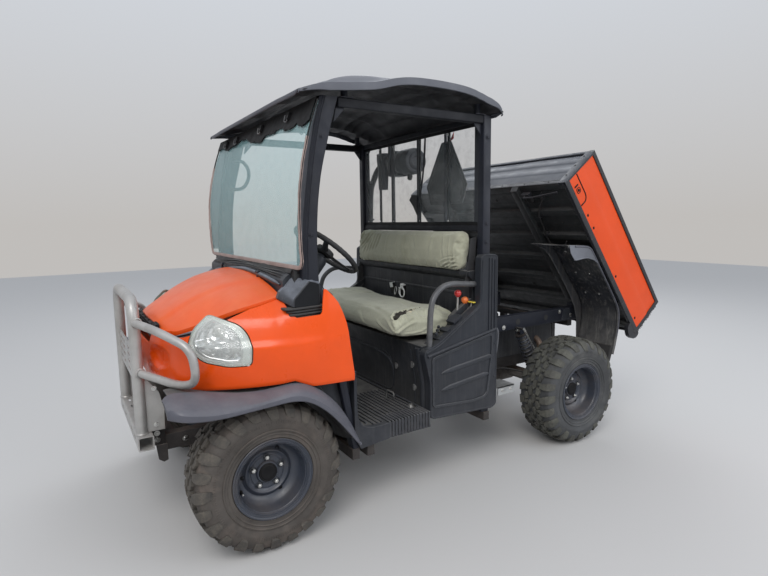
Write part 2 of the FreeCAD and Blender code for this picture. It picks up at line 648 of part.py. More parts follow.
grabs = []
for side in (1, -1):
    grabs.append(tube([(side * 628, 836, 752), (side * 624, 842, 985), (side * 612, 900, 1046), (side * 605, 1171, 1046)],
                      "15", 45))
node(group(grabs), "grab_rails")

LEVERS = [(575, 1060, 770, 975), (575, 1108, 800, 935)]      # x, y, foot, knob
sticks = []
for x, y, foot, top in LEVERS:
    knob = doc.addObject("Part::Sphere", fresh("knob"))
    knob.Radius = 19
    knob.Placement.Base = V(x, y, top)
    sticks.append(fuse([rod("z", 6, top - foot, str(x), str(y), str(foot)), knob]))
console = box("549", "604", "960", "1130", "738", "806")
levers = fuse(sticks + [console])

PEDALS = [(250, 60), (380, 46)]                              # x, half width
pads = []
for x, half in PEDALS:
    pads.append(fuse([prism("YZ", [(317, 545), (342, 600), (352, 596), (327, 541)], str(x - half), str(2 * half)),
                      between((x, 292, 588), (x, 334, 570), 8)]))
node(group([levers] + pads), "levers_and_pedals")

# ------------------------------------------------------------------ roll frame
REARP = size("rear_post_y")
posts = []
A_POST = [(250, 1046), (176, 1100), (197, 1474, 1), (276, 1862), (363, 1868), (265, 1480, 1), (252, 1100), (290, 1020),
          (330, 800), (372, 640), (428, 322), (398, 322), (335, 640), (290, 800)]
for side in (1, -1):
    posts.append(prism("YZ", A_POST, "584" if side > 0 else "-640", "56"))
    x0 = size("post_x") - size("post_width") / 2
    a, b = ("sizes.post_x - sizes.post_width / 2", "sizes.post_x + sizes.post_width / 2") if side > 0 else \
        ("-sizes.post_x - sizes.post_width / 2", "-sizes.post_x + sizes.post_width / 2")
    posts.append(box(a, b, "sizes.rear_post_y - sizes.post_depth / 2", "sizes.rear_post_y + sizes.post_depth / 2",
                     "330", "sizes.post_top"))
node(group(posts), "roll_frame_posts")

tops = []
for side in (1, -1):
    x0 = 590 if side > 0 else -632
    tops.append(box(str(x0), str(x0 + 42), "365", "sizes.rear_post_y - sizes.post_depth / 2", "1826", "1866"))
ACROSS = [  # half length, y range, z range
    (584, 315, 351, 1808, 1844), (588.5, 1181, 1221, 1840, 1868), (588.5, 1185, 1217, 1289, 1321)]
cross = [box(str(-x), str(x), str(ya), str(yb), str(za), str(zb)) for x, ya, yb, za, zb in ACROSS]
node(group(tops + cross), "roll_frame_bars")

covers = []
COVER = [(77, 1042), (88, 1083), (170, 1128), (262, 1120), (258, 1044), (264, 984), (168, 963)]
for side in (1, -1):
    covers.append(prism("YZ", COVER, "596" if side > 0 else "-664", "68"))
base_covers = [cut(c, group(both([(248, 1046), (172, 1099), (172, 1400), (400, 1400), (400, 760), (288, 760)], "570", "75")))
               for c in covers]

# ------------------------------------------------------------------ roof: side outline and cross outline, hollow below
ROOF = [                         # y, edge z, crest z: the sides arch and the middle is a raised dome
    (170, 1856, 1866), (330, 1873, 1950), (520, 1902, 2018), (640, 1935, 2031), (920, 1946, 2031), (1091, 1916, 2001),
    (1200, 1880, 1945), (1262, 1860, 1868)]


def roof_ring(edge, crest, inset, low):
    """Cross outline of the roof, lip to lip, moved inward by inset and closed at the height low."""
    d = crest - edge
    half = [(705 - inset, low), (705 - inset, edge - inset * 0.5), (645, edge + 0.45 * d - inset), (430, edge + 0.86 * d - inset),
            (300, crest - inset)]
    return half + [(-x, z) for x, z in half[::-1]]


outer = loft([(y, roof_ring(e, c, 0, e - 19)) for y, e, c in ROOF])
middle = [(184, 1857, 1874)] + ROOF[1:-1] + [(1248, 1864, 1884)]
inner = loft([(y, roof_ring(e, c, 14, e - 60)) for y, e, c in middle])
pads = []
for y, top in ((430, 1933), (1100, 1949)):
    for a, b in (("600", "630"), ("-630", "-600")):
        pads.append(box(a, b, str(y - 15), str(y + 15), "1866", str(top)))
roof = join(join(join(join(cut(outer, inner), pads[0]), pads[1]), pads[2]), pads[3])
node(roof, "roof_canopy")

# ------------------------------------------------------------------ windshield, rear screen, sign
GLASS = [(154, 1160), (139, 1430, 1), (244, 1842), (250, 1841), (145, 1430, 1), (160, 1160)]
node(prism("YZ", GLASS, "-sizes.glass_half_width", "2 * sizes.glass_half_width"), "windshield")

screen = [box("-580", "580", "1196", "1200", "1325", "1834")]
for x in (-560, -400, -238, 45, 321, 560):
    screen.append(box(str(x - 8), str(x + 8), "1200", "1212", "1321", "1840"))
node(fuse(screen), "rear_screen")

SIGN = [(215, 1788), (300, 1788), (438, 1545), (398, 1440), (112, 1440), (72, 1548)]
sign = prism("XZ", SIGN, "1238", "4")
strap = box("250", "266", "1212", "1238", "1440", "1460")
strap2 = box("250", "266", "1212", "1238", "1700", "1720")
stem = box("250", "266", "1212", "1216", "1321", "1836")
node(fuse([sign, strap, strap2, stem]), "warning_sign_plate")

canister = [rod("x", 76, 250, "-385", "1305", "1725"), rod("x", 81, 60, "-190", "1305", "1725"),
            rod("x", 34, 60, "-440", "1305", "1725")]
hose = tube([(-430, 1305, 1725), (-590, 1300, 1722), (-618, 1256, 1560), (-624, 1250, 1188)], "19", 55)
strap3 = box("-330", "-300", "1221", "1240", "1640", "1852")
strap4 = box("-330", "-300", "1240", "1300", "1640", "1652")
node(fuse(canister + [hose, strap3, strap4]), "air_cleaner")

# ------------------------------------------------------------------ dashboard and steering
DASH = [(205, 700), (232, 700), (330, 790), (400, 930), (405, 1020), (300, 1070), (190, 1095), (190, 1040), (225, 960)]
COWL = [(112, 1050), (112, 1122), (150, 1150), (185, 1142), (185, 1050)]
node(group([hollow(COWL, 8, "-580", "1160", 8)] + base_covers), "cowl")

lean = math.radians(size("wheel_tilt"))
hub = V(size("wheel_x"), size("wheel_y"), size("wheel_z"))
axis = V(0, math.sin(lean), math.cos(lean))
column = between(tuple(hub - axis * 260), tuple(hub - axis * 32), 22)
collar = between(tuple(hub - axis * 200), tuple(hub - axis * 40), 40)
node(fuse([column, collar]), "steering_column")
column_hole = between(tuple(hub - axis * 320), tuple(hub - axis * 20), 42)
node(cut(hollow(DASH, 10, "-575", "1150", 10), column_hole), "dashboard")
ring = doc.addObject("Part::Torus", fresh("ring"))
ring.setExpression("Radius1", "sizes.wheel_ring")
ring.setExpression("Radius2", "sizes.wheel_grip")
ring.Placement = FreeCAD.Placement(hub, FreeCAD.Rotation(V(0, 0, 1), axis))
spokes = [between(tuple(hub - axis * 26), tuple(hub + axis * 8), 48)]
for degrees in (90, 210, 330):
    a = math.radians(degrees)
    side = V(math.cos(a), 0, 0) + V(0, math.cos(lean), -math.sin(lean)) * math.sin(a)
    spokes.append(between(tuple(hub - axis * 8), tuple(hub + side * size("wheel_ring")), 10))
node(fuse([ring] + spokes), "steering_wheel")

# ------------------------------------------------------------------ front body
# the hood is what is common to its side outline, its plan and its crown, made hollow below
HOOD_SIDE = [(-345, 905), (-338, 950), (-300, 1005), (-190, 1062), (-40, 1104), (104, 1122), (104, 1040), (-60, 1000), (-180, 945), (-285, 900)]
HOOD_PLAN = [(-270, -345), (270, -345), (352, -282), (452, -181), (552, -63), (572, 104), (-572, 104), (-552, -63), (-452, -181), (-352, -282)]
HOOD_CROWN = [(-600, 800), (-600, 1004), (0, 1124, 1), (600, 1004), (600, 800)]
hood_out = common(common(prism("YZ", HOOD_SIDE, "-600", "1200"), prism("XY", HOOD_PLAN, "850", "300")), prism("XZ", HOOD_CROWN, "-400", "600"))
IN_SIDE = [(-330, 860), (-326, 945), (-291, 994), (-186, 1050), (-36, 1091), (90, 1108), (90, 900)]
IN_PLAN = [(-258, -330), (258, -330), (340, -272), (440, -172), (538, -58), (558, 90), (-558, 90), (-538, -58), (-440, -172), (-340, -272)]
IN_CROWN = [(-600, 800), (-600, 990), (0, 1110, 1), (600, 990), (600, 800)]
hood_in = common(common(prism("YZ", IN_SIDE, "-600", "1200"), prism("XY", IN_PLAN, "850", "300")), prism("XZ", IN_CROWN, "-400", "600"))
hinge_pins = [rod("x", 7, 40, x, "100", "1128") for x in ("280", "-320")]
lugs = [box(a, b, "94", "106", "1086", "1128") for a, b in (("294", "306"), ("-306", "-294"))]
node(join(join(cut(hood_out, hood_in), fuse([hinge_pins[0], lugs[0]])), fuse([hinge_pins[1], lugs[1]])), "hood")

NOSE = [(-440, -262), (-372, -330), (-200, -372), (200, -372), (372, -330), (440, -262),
        (424, -250), (362, -314), (196, -352), (-196, -352), (-362, -314), (-424, -250)]
nose = prism("XY", NOSE, "752", "143")
node(cut(nose, prism("XZ", [(-250, 800), (-220, 868), (220, 868), (250, 800)], "-400", "100")), "nose_panel")
node(prism("XZ", [(-262, 792), (-230, 880), (230, 880), (262, 792)], "-334", "8"), "grille")

# outside of the front body at five places along the vehicle: y, x of the outside
FLANK = [(-284, 470), (-180, 565), (-60, 636), (60, 682), (376, 704)]


def flank(inset, thick, side):
    """Ruled shell of a front side panel; its outline leans in above the shoulder."""
    rows = []
    for y, x in FLANK:
        o = x - inset
        ring_pts = [(o, 660), (o, 890), (o - 45, 965), (o - 120, 1030), (o - 120 - thick * 0.5, 1030 - thick),
                    (o - 45 - thick * 0.9, 965 - thick * 0.7), (o - thick, 890 - thick * 0.3), (o - thick, 660)]
        rows.append((y, [(side * px, pz) for px, pz in ring_pts]))
    return loft(rows)


LAMP = [(-176, 989), (-81, 942), (-52, 865), (-56, 791), (-212, 808), (-255, 873), (-232, 931)]
LAMP_HOLE = [(-178, 997), (-74, 948), (-45, 866), (-49, 785), (-216, 801), (-263, 873), (-239, 936)]
FENDER = [(-284, 756), (-191, 742), (84, 732), (188, 690), (376, 690), (362, 814), (350, 914), (330, 955),
          (160, 953), (72, 1024), (-63, 992), (-180, 938), (-284, 890)]
shells, lamps, flares = [], [], []
for side in (1, -1):
    shell = common(flank(0, 12, side), prism("YZ", FENDER, "300" if side > 0 else "-760", "460"))
    shells.append(cut(shell, prism("YZ", LAMP_HOLE, "300" if side > 0 else "-760", "460")))
for side in (1, -1):
    lamp = common(flank(3, 18, side), prism("YZ", LAMP, "300" if side > 0 else "-760", "460"))
    lamps.append(lamp)
node(group(shells), "front_panels")
node(group(lamps), "headlights")

FLARE = [(-402, 727), (-398, 742), (-284, 750), (-191, 736), (84, 726), (186, 684), (300, 600), (366, 470), (392, 383),
         (350, 383), (268, 523), (174, 614), (72, 652), (-60, 652), (-252, 645), (-349, 677)]
FLARE_PLAN = [(560, -225), (642, -225), (642, -325), (690, -318), (760, -200), (760, 340), (720, 396), (650, 396), (650, 300), (560, 250)]
for side in (1, -1):
    flare = common(prism("YZ", FLARE, "560" if side > 0 else "-760", "200"),
                   prism("XY", [(side * x, y) for x, y in FLARE_PLAN], "300", "500"))
    # the flare is a shell: its inside above the tyre is open from below
    inside = prism("YZ", [(-330, 600), (-330, 690), (-250, 716), (-180, 716), (80, 706), (180, 670), (276, 586), (338, 455), (352, 370), (240, 370), (100, 600)],
                   "540" if side > 0 else "-735", "195")
    flares.append(cut(flare, inside))
node(group(flares), "front_flares")

# ------------------------------------------------------------------ front guard
GX, GY = size("guard_post_x"), size("guard_y")
hoop = tube([(-GX, GY, size("guard_bottom")), (-GX, GY, size("guard_top")), (GX, GY, size("guard_top")), (GX, GY, size("guard_bottom"))],
            "sizes.guard_tube", 95)
loops = []
for side in (1, -1):
    s = side
    loops.append(tube([(s * (GX + 18), GY + 2, 951), (s * 480, -372, 940), (s * 606, -272, 880), (s * 606, -258, 745),
                       (s * 500, -300, 712), (s * (GX + 18), GY + 8, 738)], "17", 42))
node(group(loops), "guard_side_loops")
plate = box("-280", "280", "-438", "-432", "682", "832")
slots = group([box(a, b, "-440", "-430", c, d) for a, b in (("-200", "-30"), ("30", "200")) for c, d in (("712", "732"), ("768", "788"))])
mesh = cut(plate, slots)
channel = cut(box("-335", "335", "-452", "-389", "409", "471"), box("-336", "336", "-446", "-395", "415", "465"))
mount_l = box("210", "240", "-450", "-330", "384", "464")
mount_r = box("-240", "-210", "-450", "-330", "384", "464")
node(join(join(hoop, mesh), fuse([channel, mount_l, mount_r])), "front_guard")

# ------------------------------------------------------------------ check and write
doc.recompute()
for obj in doc.Objects:
    if any(word in obj.State for word in ("Invalid", "Error")):
        raise RuntimeError("%s (%s) failed: %s" % (obj.Name, obj.Label, obj.State))
labels = [obj.Label for obj in NODES]
assert len(labels) == len(set(labels))
whole = FreeCAD.BoundBox()
for obj in NODES:
    shape = obj.Shape
    if shape.isNull() or not shape.isValid() or not shape.Solids:
        raise RuntimeError("bad shape: " + obj.Label)
    whole.add(shape.BoundBox)
    shape.exportStep("parts/%s.step" % obj.Label)
    b = shape.BoundBox
    print("%-22s solids %2d %9.1f cm3  x %5.0f %5.0f  y %5.0f %5.0f  z %5.0f %5.0f" % (
        obj.Label, len(shape.Solids), shape.Volume / 1000.0, b.XMin, b.XMax,
        b.YMin + size("frame_shift"), b.YMax + size("frame_shift"), b.ZMin, b.ZMax))
print(len(NODES), "nodes; box", whole)
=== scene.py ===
import json
import math
import random

import bpy
import bmesh
import numpy as np
from mathutils import Vector, Matrix, Euler

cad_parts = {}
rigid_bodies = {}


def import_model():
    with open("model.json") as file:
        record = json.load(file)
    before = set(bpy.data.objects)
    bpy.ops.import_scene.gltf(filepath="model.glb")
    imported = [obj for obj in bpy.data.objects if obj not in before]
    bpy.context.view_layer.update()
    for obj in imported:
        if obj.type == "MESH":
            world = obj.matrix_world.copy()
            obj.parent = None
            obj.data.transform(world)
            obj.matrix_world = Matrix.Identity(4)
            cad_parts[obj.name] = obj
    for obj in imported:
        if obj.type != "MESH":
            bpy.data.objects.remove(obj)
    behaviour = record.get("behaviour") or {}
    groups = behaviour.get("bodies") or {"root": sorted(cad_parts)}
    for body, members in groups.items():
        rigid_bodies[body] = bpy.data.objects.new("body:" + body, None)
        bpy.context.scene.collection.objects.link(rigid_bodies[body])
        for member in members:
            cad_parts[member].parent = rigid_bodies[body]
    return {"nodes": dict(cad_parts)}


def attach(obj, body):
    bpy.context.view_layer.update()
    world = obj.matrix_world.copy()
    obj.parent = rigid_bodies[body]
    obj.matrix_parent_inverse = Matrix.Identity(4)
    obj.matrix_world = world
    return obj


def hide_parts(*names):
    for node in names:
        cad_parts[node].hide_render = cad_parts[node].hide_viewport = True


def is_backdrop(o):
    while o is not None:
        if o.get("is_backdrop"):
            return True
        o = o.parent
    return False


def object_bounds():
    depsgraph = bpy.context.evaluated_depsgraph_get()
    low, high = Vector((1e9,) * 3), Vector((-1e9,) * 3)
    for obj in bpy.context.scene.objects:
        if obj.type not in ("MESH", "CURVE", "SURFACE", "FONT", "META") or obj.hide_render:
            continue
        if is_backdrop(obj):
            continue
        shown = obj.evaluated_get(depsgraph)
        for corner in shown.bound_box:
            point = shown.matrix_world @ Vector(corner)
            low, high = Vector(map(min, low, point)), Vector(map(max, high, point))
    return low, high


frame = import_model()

# Side by side utility vehicle with its load bed raised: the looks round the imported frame.
# Sizes are in metres. Places are measured from the front axle and shifted by SH when a mesh is made.
# Pieces of the load bed are drawn lowered and turned up about the bed hinge.
CAD_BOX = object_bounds()
random.seed(11)
rng = np.random.default_rng(5)
SH = 1.0875
TILT = math.radians(52.55)
PIVOT = (2.235, 0.772)
scene = bpy.context.scene
scene.view_settings.view_transform = "Standard"
scene.view_settings.look = "None"


def raised(y, z):
    a, b = y - PIVOT[0], z - PIVOT[1]
    return (PIVOT[0] + a * math.cos(TILT) + b * math.sin(TILT), PIVOT[1] - a * math.sin(TILT) + b * math.cos(TILT))


# ------------------------------------------------------------------ camera, light, floor
def place_camera():
    cam_data = bpy.data.cameras.new("camera")
    cam = bpy.data.objects.new("camera", cam_data)
    scene.collection.objects.link(cam)
    r = Vector((0.5306909, 0.84744661, -0.01419169))
    u = Vector((-0.10184684, 0.08038373, 0.99154711))
    f = Vector((-0.84142402, 0.52475965, -0.12896867))
    m = Matrix.Identity(4)
    for i in range(3):
        m[i][0], m[i][1], m[i][2] = r[i], u[i], -f[i]
    m[0][3], m[1][3], m[2][3] = 2.642963, -0.677062 - SH, 1.356614
    cam.matrix_world = m
    cam_data.sensor_width = 36.0
    cam_data.lens = 524.0257 * 36.0 / 768.0
    cam_data.clip_start, cam_data.clip_end = 0.05, 100.0
    scene.camera = cam


def area(name, place, aim, size, power, color=(1, 1, 1)):
    data = bpy.data.lights.new(name, "AREA")
    data.shape = "RECTANGLE"
    data.size, data.size_y = size
    data.energy = power
    data.color = color
    ob = bpy.data.objects.new(name, data)
    scene.collection.objects.link(ob)
    ob.location = place
    ob.rotation_mode = "QUATERNION"
    ob.rotation_quaternion = (Vector(place) - Vector(aim)).to_track_quat("Z", "Y")


def light_stage():
    world = bpy.data.worlds.new("world")
    scene.world = world
    world.use_nodes = True
    t = world.node_tree
    t.nodes.clear()
    out = t.nodes.new("ShaderNodeOutputWorld")
    bg = t.nodes.new("ShaderNodeBackground")
    coord = t.nodes.new("ShaderNodeTexCoord")
    split = t.nodes.new("ShaderNodeSeparateXYZ")
    ramp = t.nodes.new("ShaderNodeValToRGB")
    t.links.new(coord.outputs["Generated"], split.inputs[0])
    t.links.new(split.outputs["Z"], ramp.inputs[0])
    ramp.color_ramp.elements[0].position = 0.0
    ramp.color_ramp.elements[0].color = (0.62, 0.60, 0.58, 1)
    ramp.color_ramp.elements[1].position = 0.55
    ramp.color_ramp.elements[1].color = (0.80, 0.86, 0.95, 1)
    t.links.new(ramp.outputs[0], bg.inputs["Color"])
    bg.inputs["Strength"].default_value = 0.85
    t.links.new(bg.outputs[0], out.inputs[0])
    area("key", (4.5, -4.0, 6.0), (0, 0, 0.8), (4.0, 4.0), 300, (1.0, 0.98, 0.95))
    area("fill", (5.5, 3.0, 3.2), (0, 0.4, 0.8), (4.0, 3.0), 110, (0.93, 0.96, 1.0))
    area("back", (-4.0, 3.5, 5.0), (0, 0, 0.8), (4.0, 4.0), 140, (0.95, 0.97, 1.0))
    me = bpy.data.meshes.new("floor")
    s = 14.0
    me.from_pydata([(-s, -s, 0), (s, -s, 0), (s, s, 0), (-s, s, 0)], [], [(0, 1, 2, 3)])
    floor = bpy.data.objects.new("floor", me)
    scene.collection.objects.link(floor)
    floor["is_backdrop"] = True
    m, t, b = new_mat("floor_pale")
    b.inputs["Base Color"].default_value = (0.52, 0.51, 0.50, 1)
    b.inputs["Roughness"].default_value = 0.9
    me.materials.append(m)


# ------------------------------------------------------------------ materials
def new_mat(name):
    m = bpy.data.materials.new(name)
    m.use_nodes = True
    t = m.node_tree
    t.nodes.clear()
    out = t.nodes.new("ShaderNodeOutputMaterial")
    b = t.nodes.new("ShaderNodeBsdfPrincipled")
    t.links.new(b.outputs[0], out.inputs[0])
    return m, t, b


class Net:
    """Short calls for the node trees."""

    def __init__(self, t):
        self.t = t
        self.coord = t.nodes.new("ShaderNodeTexCoord").outputs["Object"]

    def link(self, a, b):
        self.t.links.new(a, b)

    def noise(self, scale, detail=4.0, rough=0.6, vec=None, stretch=None, distort=0.0):
        n = self.t.nodes.new("ShaderNodeTexNoise")
        n.inputs["Scale"].default_value = scale
        n.inputs["Detail"].default_value = detail
        n.inputs["Roughness"].default_value = rough
        n.inputs["Distortion"].default_value = distort
        src = vec or self.coord
        if stretch:
            mp = self.t.nodes.new("ShaderNodeMapping")
            mp.inputs["Scale"].default_value = stretch
            self.link(src, mp.inputs["Vector"])
            src = mp.outputs[0]
        self.link(src, n.inputs["Vector"])
        return n.outputs["Fac"]

    def voronoi(self, scale, feature="F1", out="Distance", vec=None):
        n = self.t.nodes.new("ShaderNodeTexVoronoi")
        n.feature = feature
        n.inputs["Scale"].default_value = scale
        self.link(vec or self.coord, n.inputs["Vector"])
        return n.outputs[out]

    def wave(self, scale, axis="X", distort=0.0, vec=None, profile="SIN", detail=2.0):
        n = self.t.nodes.new("ShaderNodeTexWave")
        n.wave_type = "BANDS"
        n.bands_direction = axis
        n.wave_profile = profile
        n.inputs["Scale"].default_value = scale
        n.inputs["Distortion"].default_value = distort
        n.inputs["Detail"].default_value = detail
        self.link(vec or self.coord, n.inputs["Vector"])
        return n.outputs["Fac"]

    def span(self, value, a, b, lo=0.0, hi=1.0, smooth=False):
        n = self.t.nodes.new("ShaderNodeMapRange")
        if smooth:
            n.interpolation_type = "SMOOTHSTEP"
        n.inputs["From Min"].default_value = a
        n.inputs["From Max"].default_value = b
        n.inputs["To Min"].default_value = lo
        n.inputs["To Max"].default_value = hi
        self.link(value, n.inputs["Value"])
        return n.outputs[0]

    def math(self, op, a, b=None, clamp=False):
        n = self.t.nodes.new("ShaderNodeMath")
        n.operation = op
        n.use_clamp = clamp
        for i, v in enumerate((a, b)):
            if v is None:
                continue
            if isinstance(v, (int, float)):
                n.inputs[i].default_value = v
            else:
                self.link(v, n.inputs[i])
        return n.outputs[0]

    def mix(self, fac, a, b, mode="MIX"):
        n = self.t.nodes.new("ShaderNodeMix")
        n.data_type = "RGBA"
        n.blend_type = mode
        for key, v in ((0, fac), (6, a), (7, b)):
            if isinstance(v, (int, float)):
                n.inputs[key].default_value = v
            elif isinstance(v, tuple):
                n.inputs[key].default_value = v if len(v) == 4 else v + (1.0,)
            else:
                self.link(v, n.inputs[key])
        return n.outputs[2]

    def axis(self, which, normal=False):
        n = self.t.nodes.new("ShaderNodeSeparateXYZ")
        src = self.t.nodes.new("ShaderNodeNewGeometry").outputs["Normal"] if normal else self.coord
        self.link(src, n.inputs[0])
        return n.outputs["XYZ".index(which)]

    def bump(self, height, strength, distance=0.001, normal=None):
        n = self.t.nodes.new("ShaderNodeBump")
        n.inputs["Strength"].default_value = strength
        n.inputs["Distance"].default_value = distance
        self.link(height, n.inputs["Height"])
        if normal is not None:
            self.link(normal, n.inputs["Normal"])
        return n.outputs[0]


DUST = (0.30, 0.235, 0.185)


def surface(name, base, rough=0.5, metal=0.0, var=0.12, vscale=5.0, grain=900.0, gdist=0.0001, gstr=0.35,
            dust_and_sky_light=0.25, dust_and_sky_light_col=DUST, low=None, coat=0.0, coat_rough=0.1, spec=0.5, second=None, streak=0.0,
            wear=0.0, wear_col=(0.45, 0.45, 0.45), rvar=0.12, ripple=0.0):
    """Painted, moulded or bare surface: colour drift, dust on what faces up and low down, grain and worn edges; on some
    materials the colour on what faces up is painted sky light as well as dust.
    """
    m, t, b = new_mat(name)
    n = Net(t)
    drift = n.noise(vscale, 5.0, 0.62)
    dark = tuple(c * (1 - var) for c in base)
    light = tuple(min(1.0, c * (1 + var)) for c in base)
    col = n.mix(n.span(drift, 0.35, 0.65), dark, light)
    if second:
        col = n.mix(n.span(n.noise(vscale * 0.45, 4.0, 0.7), 0.48, 0.66, 0.0, second[1], True), col, second[0])
    if streak:
        s = n.noise(7.0, 4.0, 0.6, stretch=(9.0, 9.0, 0.6))
        col = n.mix(n.span(s, 0.52, 0.72, 0.0, streak), col, dust_and_sky_light_col)
    # what faces up takes the dust colour: dust, and on some materials painted sky light on the faces that turn up
    up = n.span(n.axis("Z", True), 0.15, 0.95, 0.0, 1.0, True)
    patch = n.span(n.noise(11.0, 8.0, 0.68), 0.36, 0.66, 0.35, 1.0)
    mask = n.math("MULTIPLY", n.math("MULTIPLY", up, patch), dust_and_sky_light)
    speck = n.span(n.noise(160.0, 2.0, 0.7), 0.55, 0.75, 0.0, 1.0)
    mask = n.math("ADD", mask, n.math("MULTIPLY", speck, dust_and_sky_light * 0.18))
    if low:
        z0, z1, amount = low
        fall = n.span(n.axis("Z"), z0, z1, amount, 0.0, True)
        mask = n.math("ADD", mask, n.math("MULTIPLY", fall, n.span(n.noise(16.0, 8.0, 0.7), 0.3, 0.7, 0.25, 1.0)))
    mask = n.math("MINIMUM", mask, 0.92)
    col = n.mix(mask, col, dust_and_sky_light_col)
    r = n.span(n.noise(vscale * 3.0, 4.0, 0.6), 0.3, 0.7, max(0.02, rough - rvar), min(1.0, rough + rvar))
    rmix = n.math("ADD", n.math("MULTIPLY", r, n.math("SUBTRACT", 1.0, mask)), n.math("MULTIPLY", mask, 0.9))
    if wear:
        bev = t.nodes.new("ShaderNodeBevel")
        bev.samples = 4
        bev.inputs["Radius"].default_value = 0.004
        dot = t.nodes.new("ShaderNodeVectorMath")
        dot.operation = "DOT_PRODUCT"
        n.link(bev.outputs[0], dot.inputs[0])
        n.link(t.nodes.new("ShaderNodeNewGeometry").outputs["Normal"], dot.inputs[1])
        edge = n.span(dot.outputs["Value"], 0.985, 0.90, 0.0, wear)
        edge = n.math("MULTIPLY", edge, n.span(n.noise(38.0, 6.0, 0.7), 0.42, 0.6))
        col = n.mix(edge, col, wear_col)
    n.link(col, b.inputs["Base Color"])
    n.link(rmix, b.inputs["Roughness"])
    b.inputs["Metallic"].default_value = metal
    b.inputs["Specular IOR Level"].default_value = spec
    if coat:
        b.inputs["Coat Weight"].default_value = coat
        b.inputs["Coat Roughness"].default_value = coat_rough
    nor = n.bump(n.noise(grain, 3.0, 0.7), gstr, gdist)
    if ripple:
        nor = n.bump(n.noise(6.0, 2.0, 0.5), 1.0, ripple, nor)
    n.link(nor, b.inputs["Normal"])
    return m


def canvas(name, base, stain_and_shade, weave=520.0):
    """Woven canvas with fading, dirt, stretched creases and painted shade on the faces that turn down."""
    m, t, b = new_mat(name)
    n = Net(t)
    x = n.wave(weave, "X", 0.4)
    y = n.wave(weave, "Y", 0.4)
    z = n.wave(weave, "Z", 0.4)
    cloth = n.math("MULTIPLY", n.math("ADD", n.math("ADD", x, y), z), 0.33)
    drift = n.noise(3.2, 6.0, 0.65)
    col = n.mix(n.span(drift, 0.35, 0.66), tuple(c * 0.84 for c in base), tuple(min(1, c * 1.12) for c in base))
    col = n.mix(n.span(n.noise(7.5, 8.0, 0.72), 0.50, 0.74, 0.0, 0.55, True), col, stain_and_shade)
    col = n.mix(n.span(cloth, 0.25, 0.75, 0.0, 0.22), col, tuple(c * 0.55 for c in base))
    # faces that turn sideways and down are darker: painted shade
    side = n.span(n.axis("Z", True), -0.4, 0.35, 0.35, 0.0, True)
    col = n.mix(side, col, tuple(c * 0.8 for c in stain_and_shade))
    n.link(col, b.inputs["Base Color"])
    b.inputs["Roughness"].default_value = 0.92
    b.inputs["Specular IOR Level"].default_value = 0.2
    b.inputs["Sheen Weight"].default_value = 0.25
    b.inputs["Sheen Roughness"].default_value = 0.6
    nor = n.bump(cloth, 0.5, 0.0005)
    nor = n.bump(n.noise(26.0, 4.0, 0.6, stretch=(1.0, 2.4, 1.0)), 0.5, 0.004, nor)
    n.link(nor, b.inputs["Normal"])
    return m


def clear(name, tint, rough=0.03, dirt=0.12, alpha=0.18, film=DUST):
    """Thin clear sheet: mostly see-through, with gloss, a light tint and dirt."""
    m, t, b = new_mat(name)
    n = Net(t)
    spots = n.span(n.noise(14.0, 8.0, 0.72), 0.45, 0.75, 0.0, 1.0)
    b.inputs["Base Color"].default_value = tint + (1.0,)
    col = n.mix(n.math("MULTIPLY", spots, 0.6), tint, film)
    n.link(col, b.inputs["Base Color"])
    b.inputs["IOR"].default_value = 1.45
    b.inputs["Specular IOR Level"].default_value = 0.9
    n.link(n.span(spots, 0.0, 1.0, rough, rough + 0.25), b.inputs["Roughness"])
    n.link(n.span(spots, 0.0, 1.0, alpha, alpha + dirt), b.inputs["Alpha"])
    return m


def tyre_rubber(name, dusty, flip=0.0):
    m, t, b = new_mat(name)
    n = Net(t)
    base = n.mix(n.span(n.noise(9.0, 6.0, 0.65), 0.35, 0.65), (0.028, 0.028, 0.028), (0.055, 0.052, 0.048))
    mud = n.span(n.noise(13.0, 9.0, 0.7), 0.36, 0.60, 0.15, 0.85)
    fine = n.span(n.noise(120.0, 5.0, 0.7), 0.35, 0.65, 0.55, 1.0)
    mask = n.math("MULTIPLY", mud, fine)
    col = n.mix(n.math("MULTIPLY", mask, 0.85), base, dusty)
    n.link(col, b.inputs["Base Color"])
    n.link(n.span(mask, 0.0, 1.0, 0.62, 0.95), b.inputs["Roughness"])
    b.inputs["Specular IOR Level"].default_value = 0.35
    nor = n.bump(n.noise(260.0, 5.0, 0.7), 0.5, 0.0008)
    nor = n.bump(n.noise(42.0, 5.0, 0.65), 0.45, 0.002, nor)
    n.link(nor, b.inputs["Normal"])
    return m


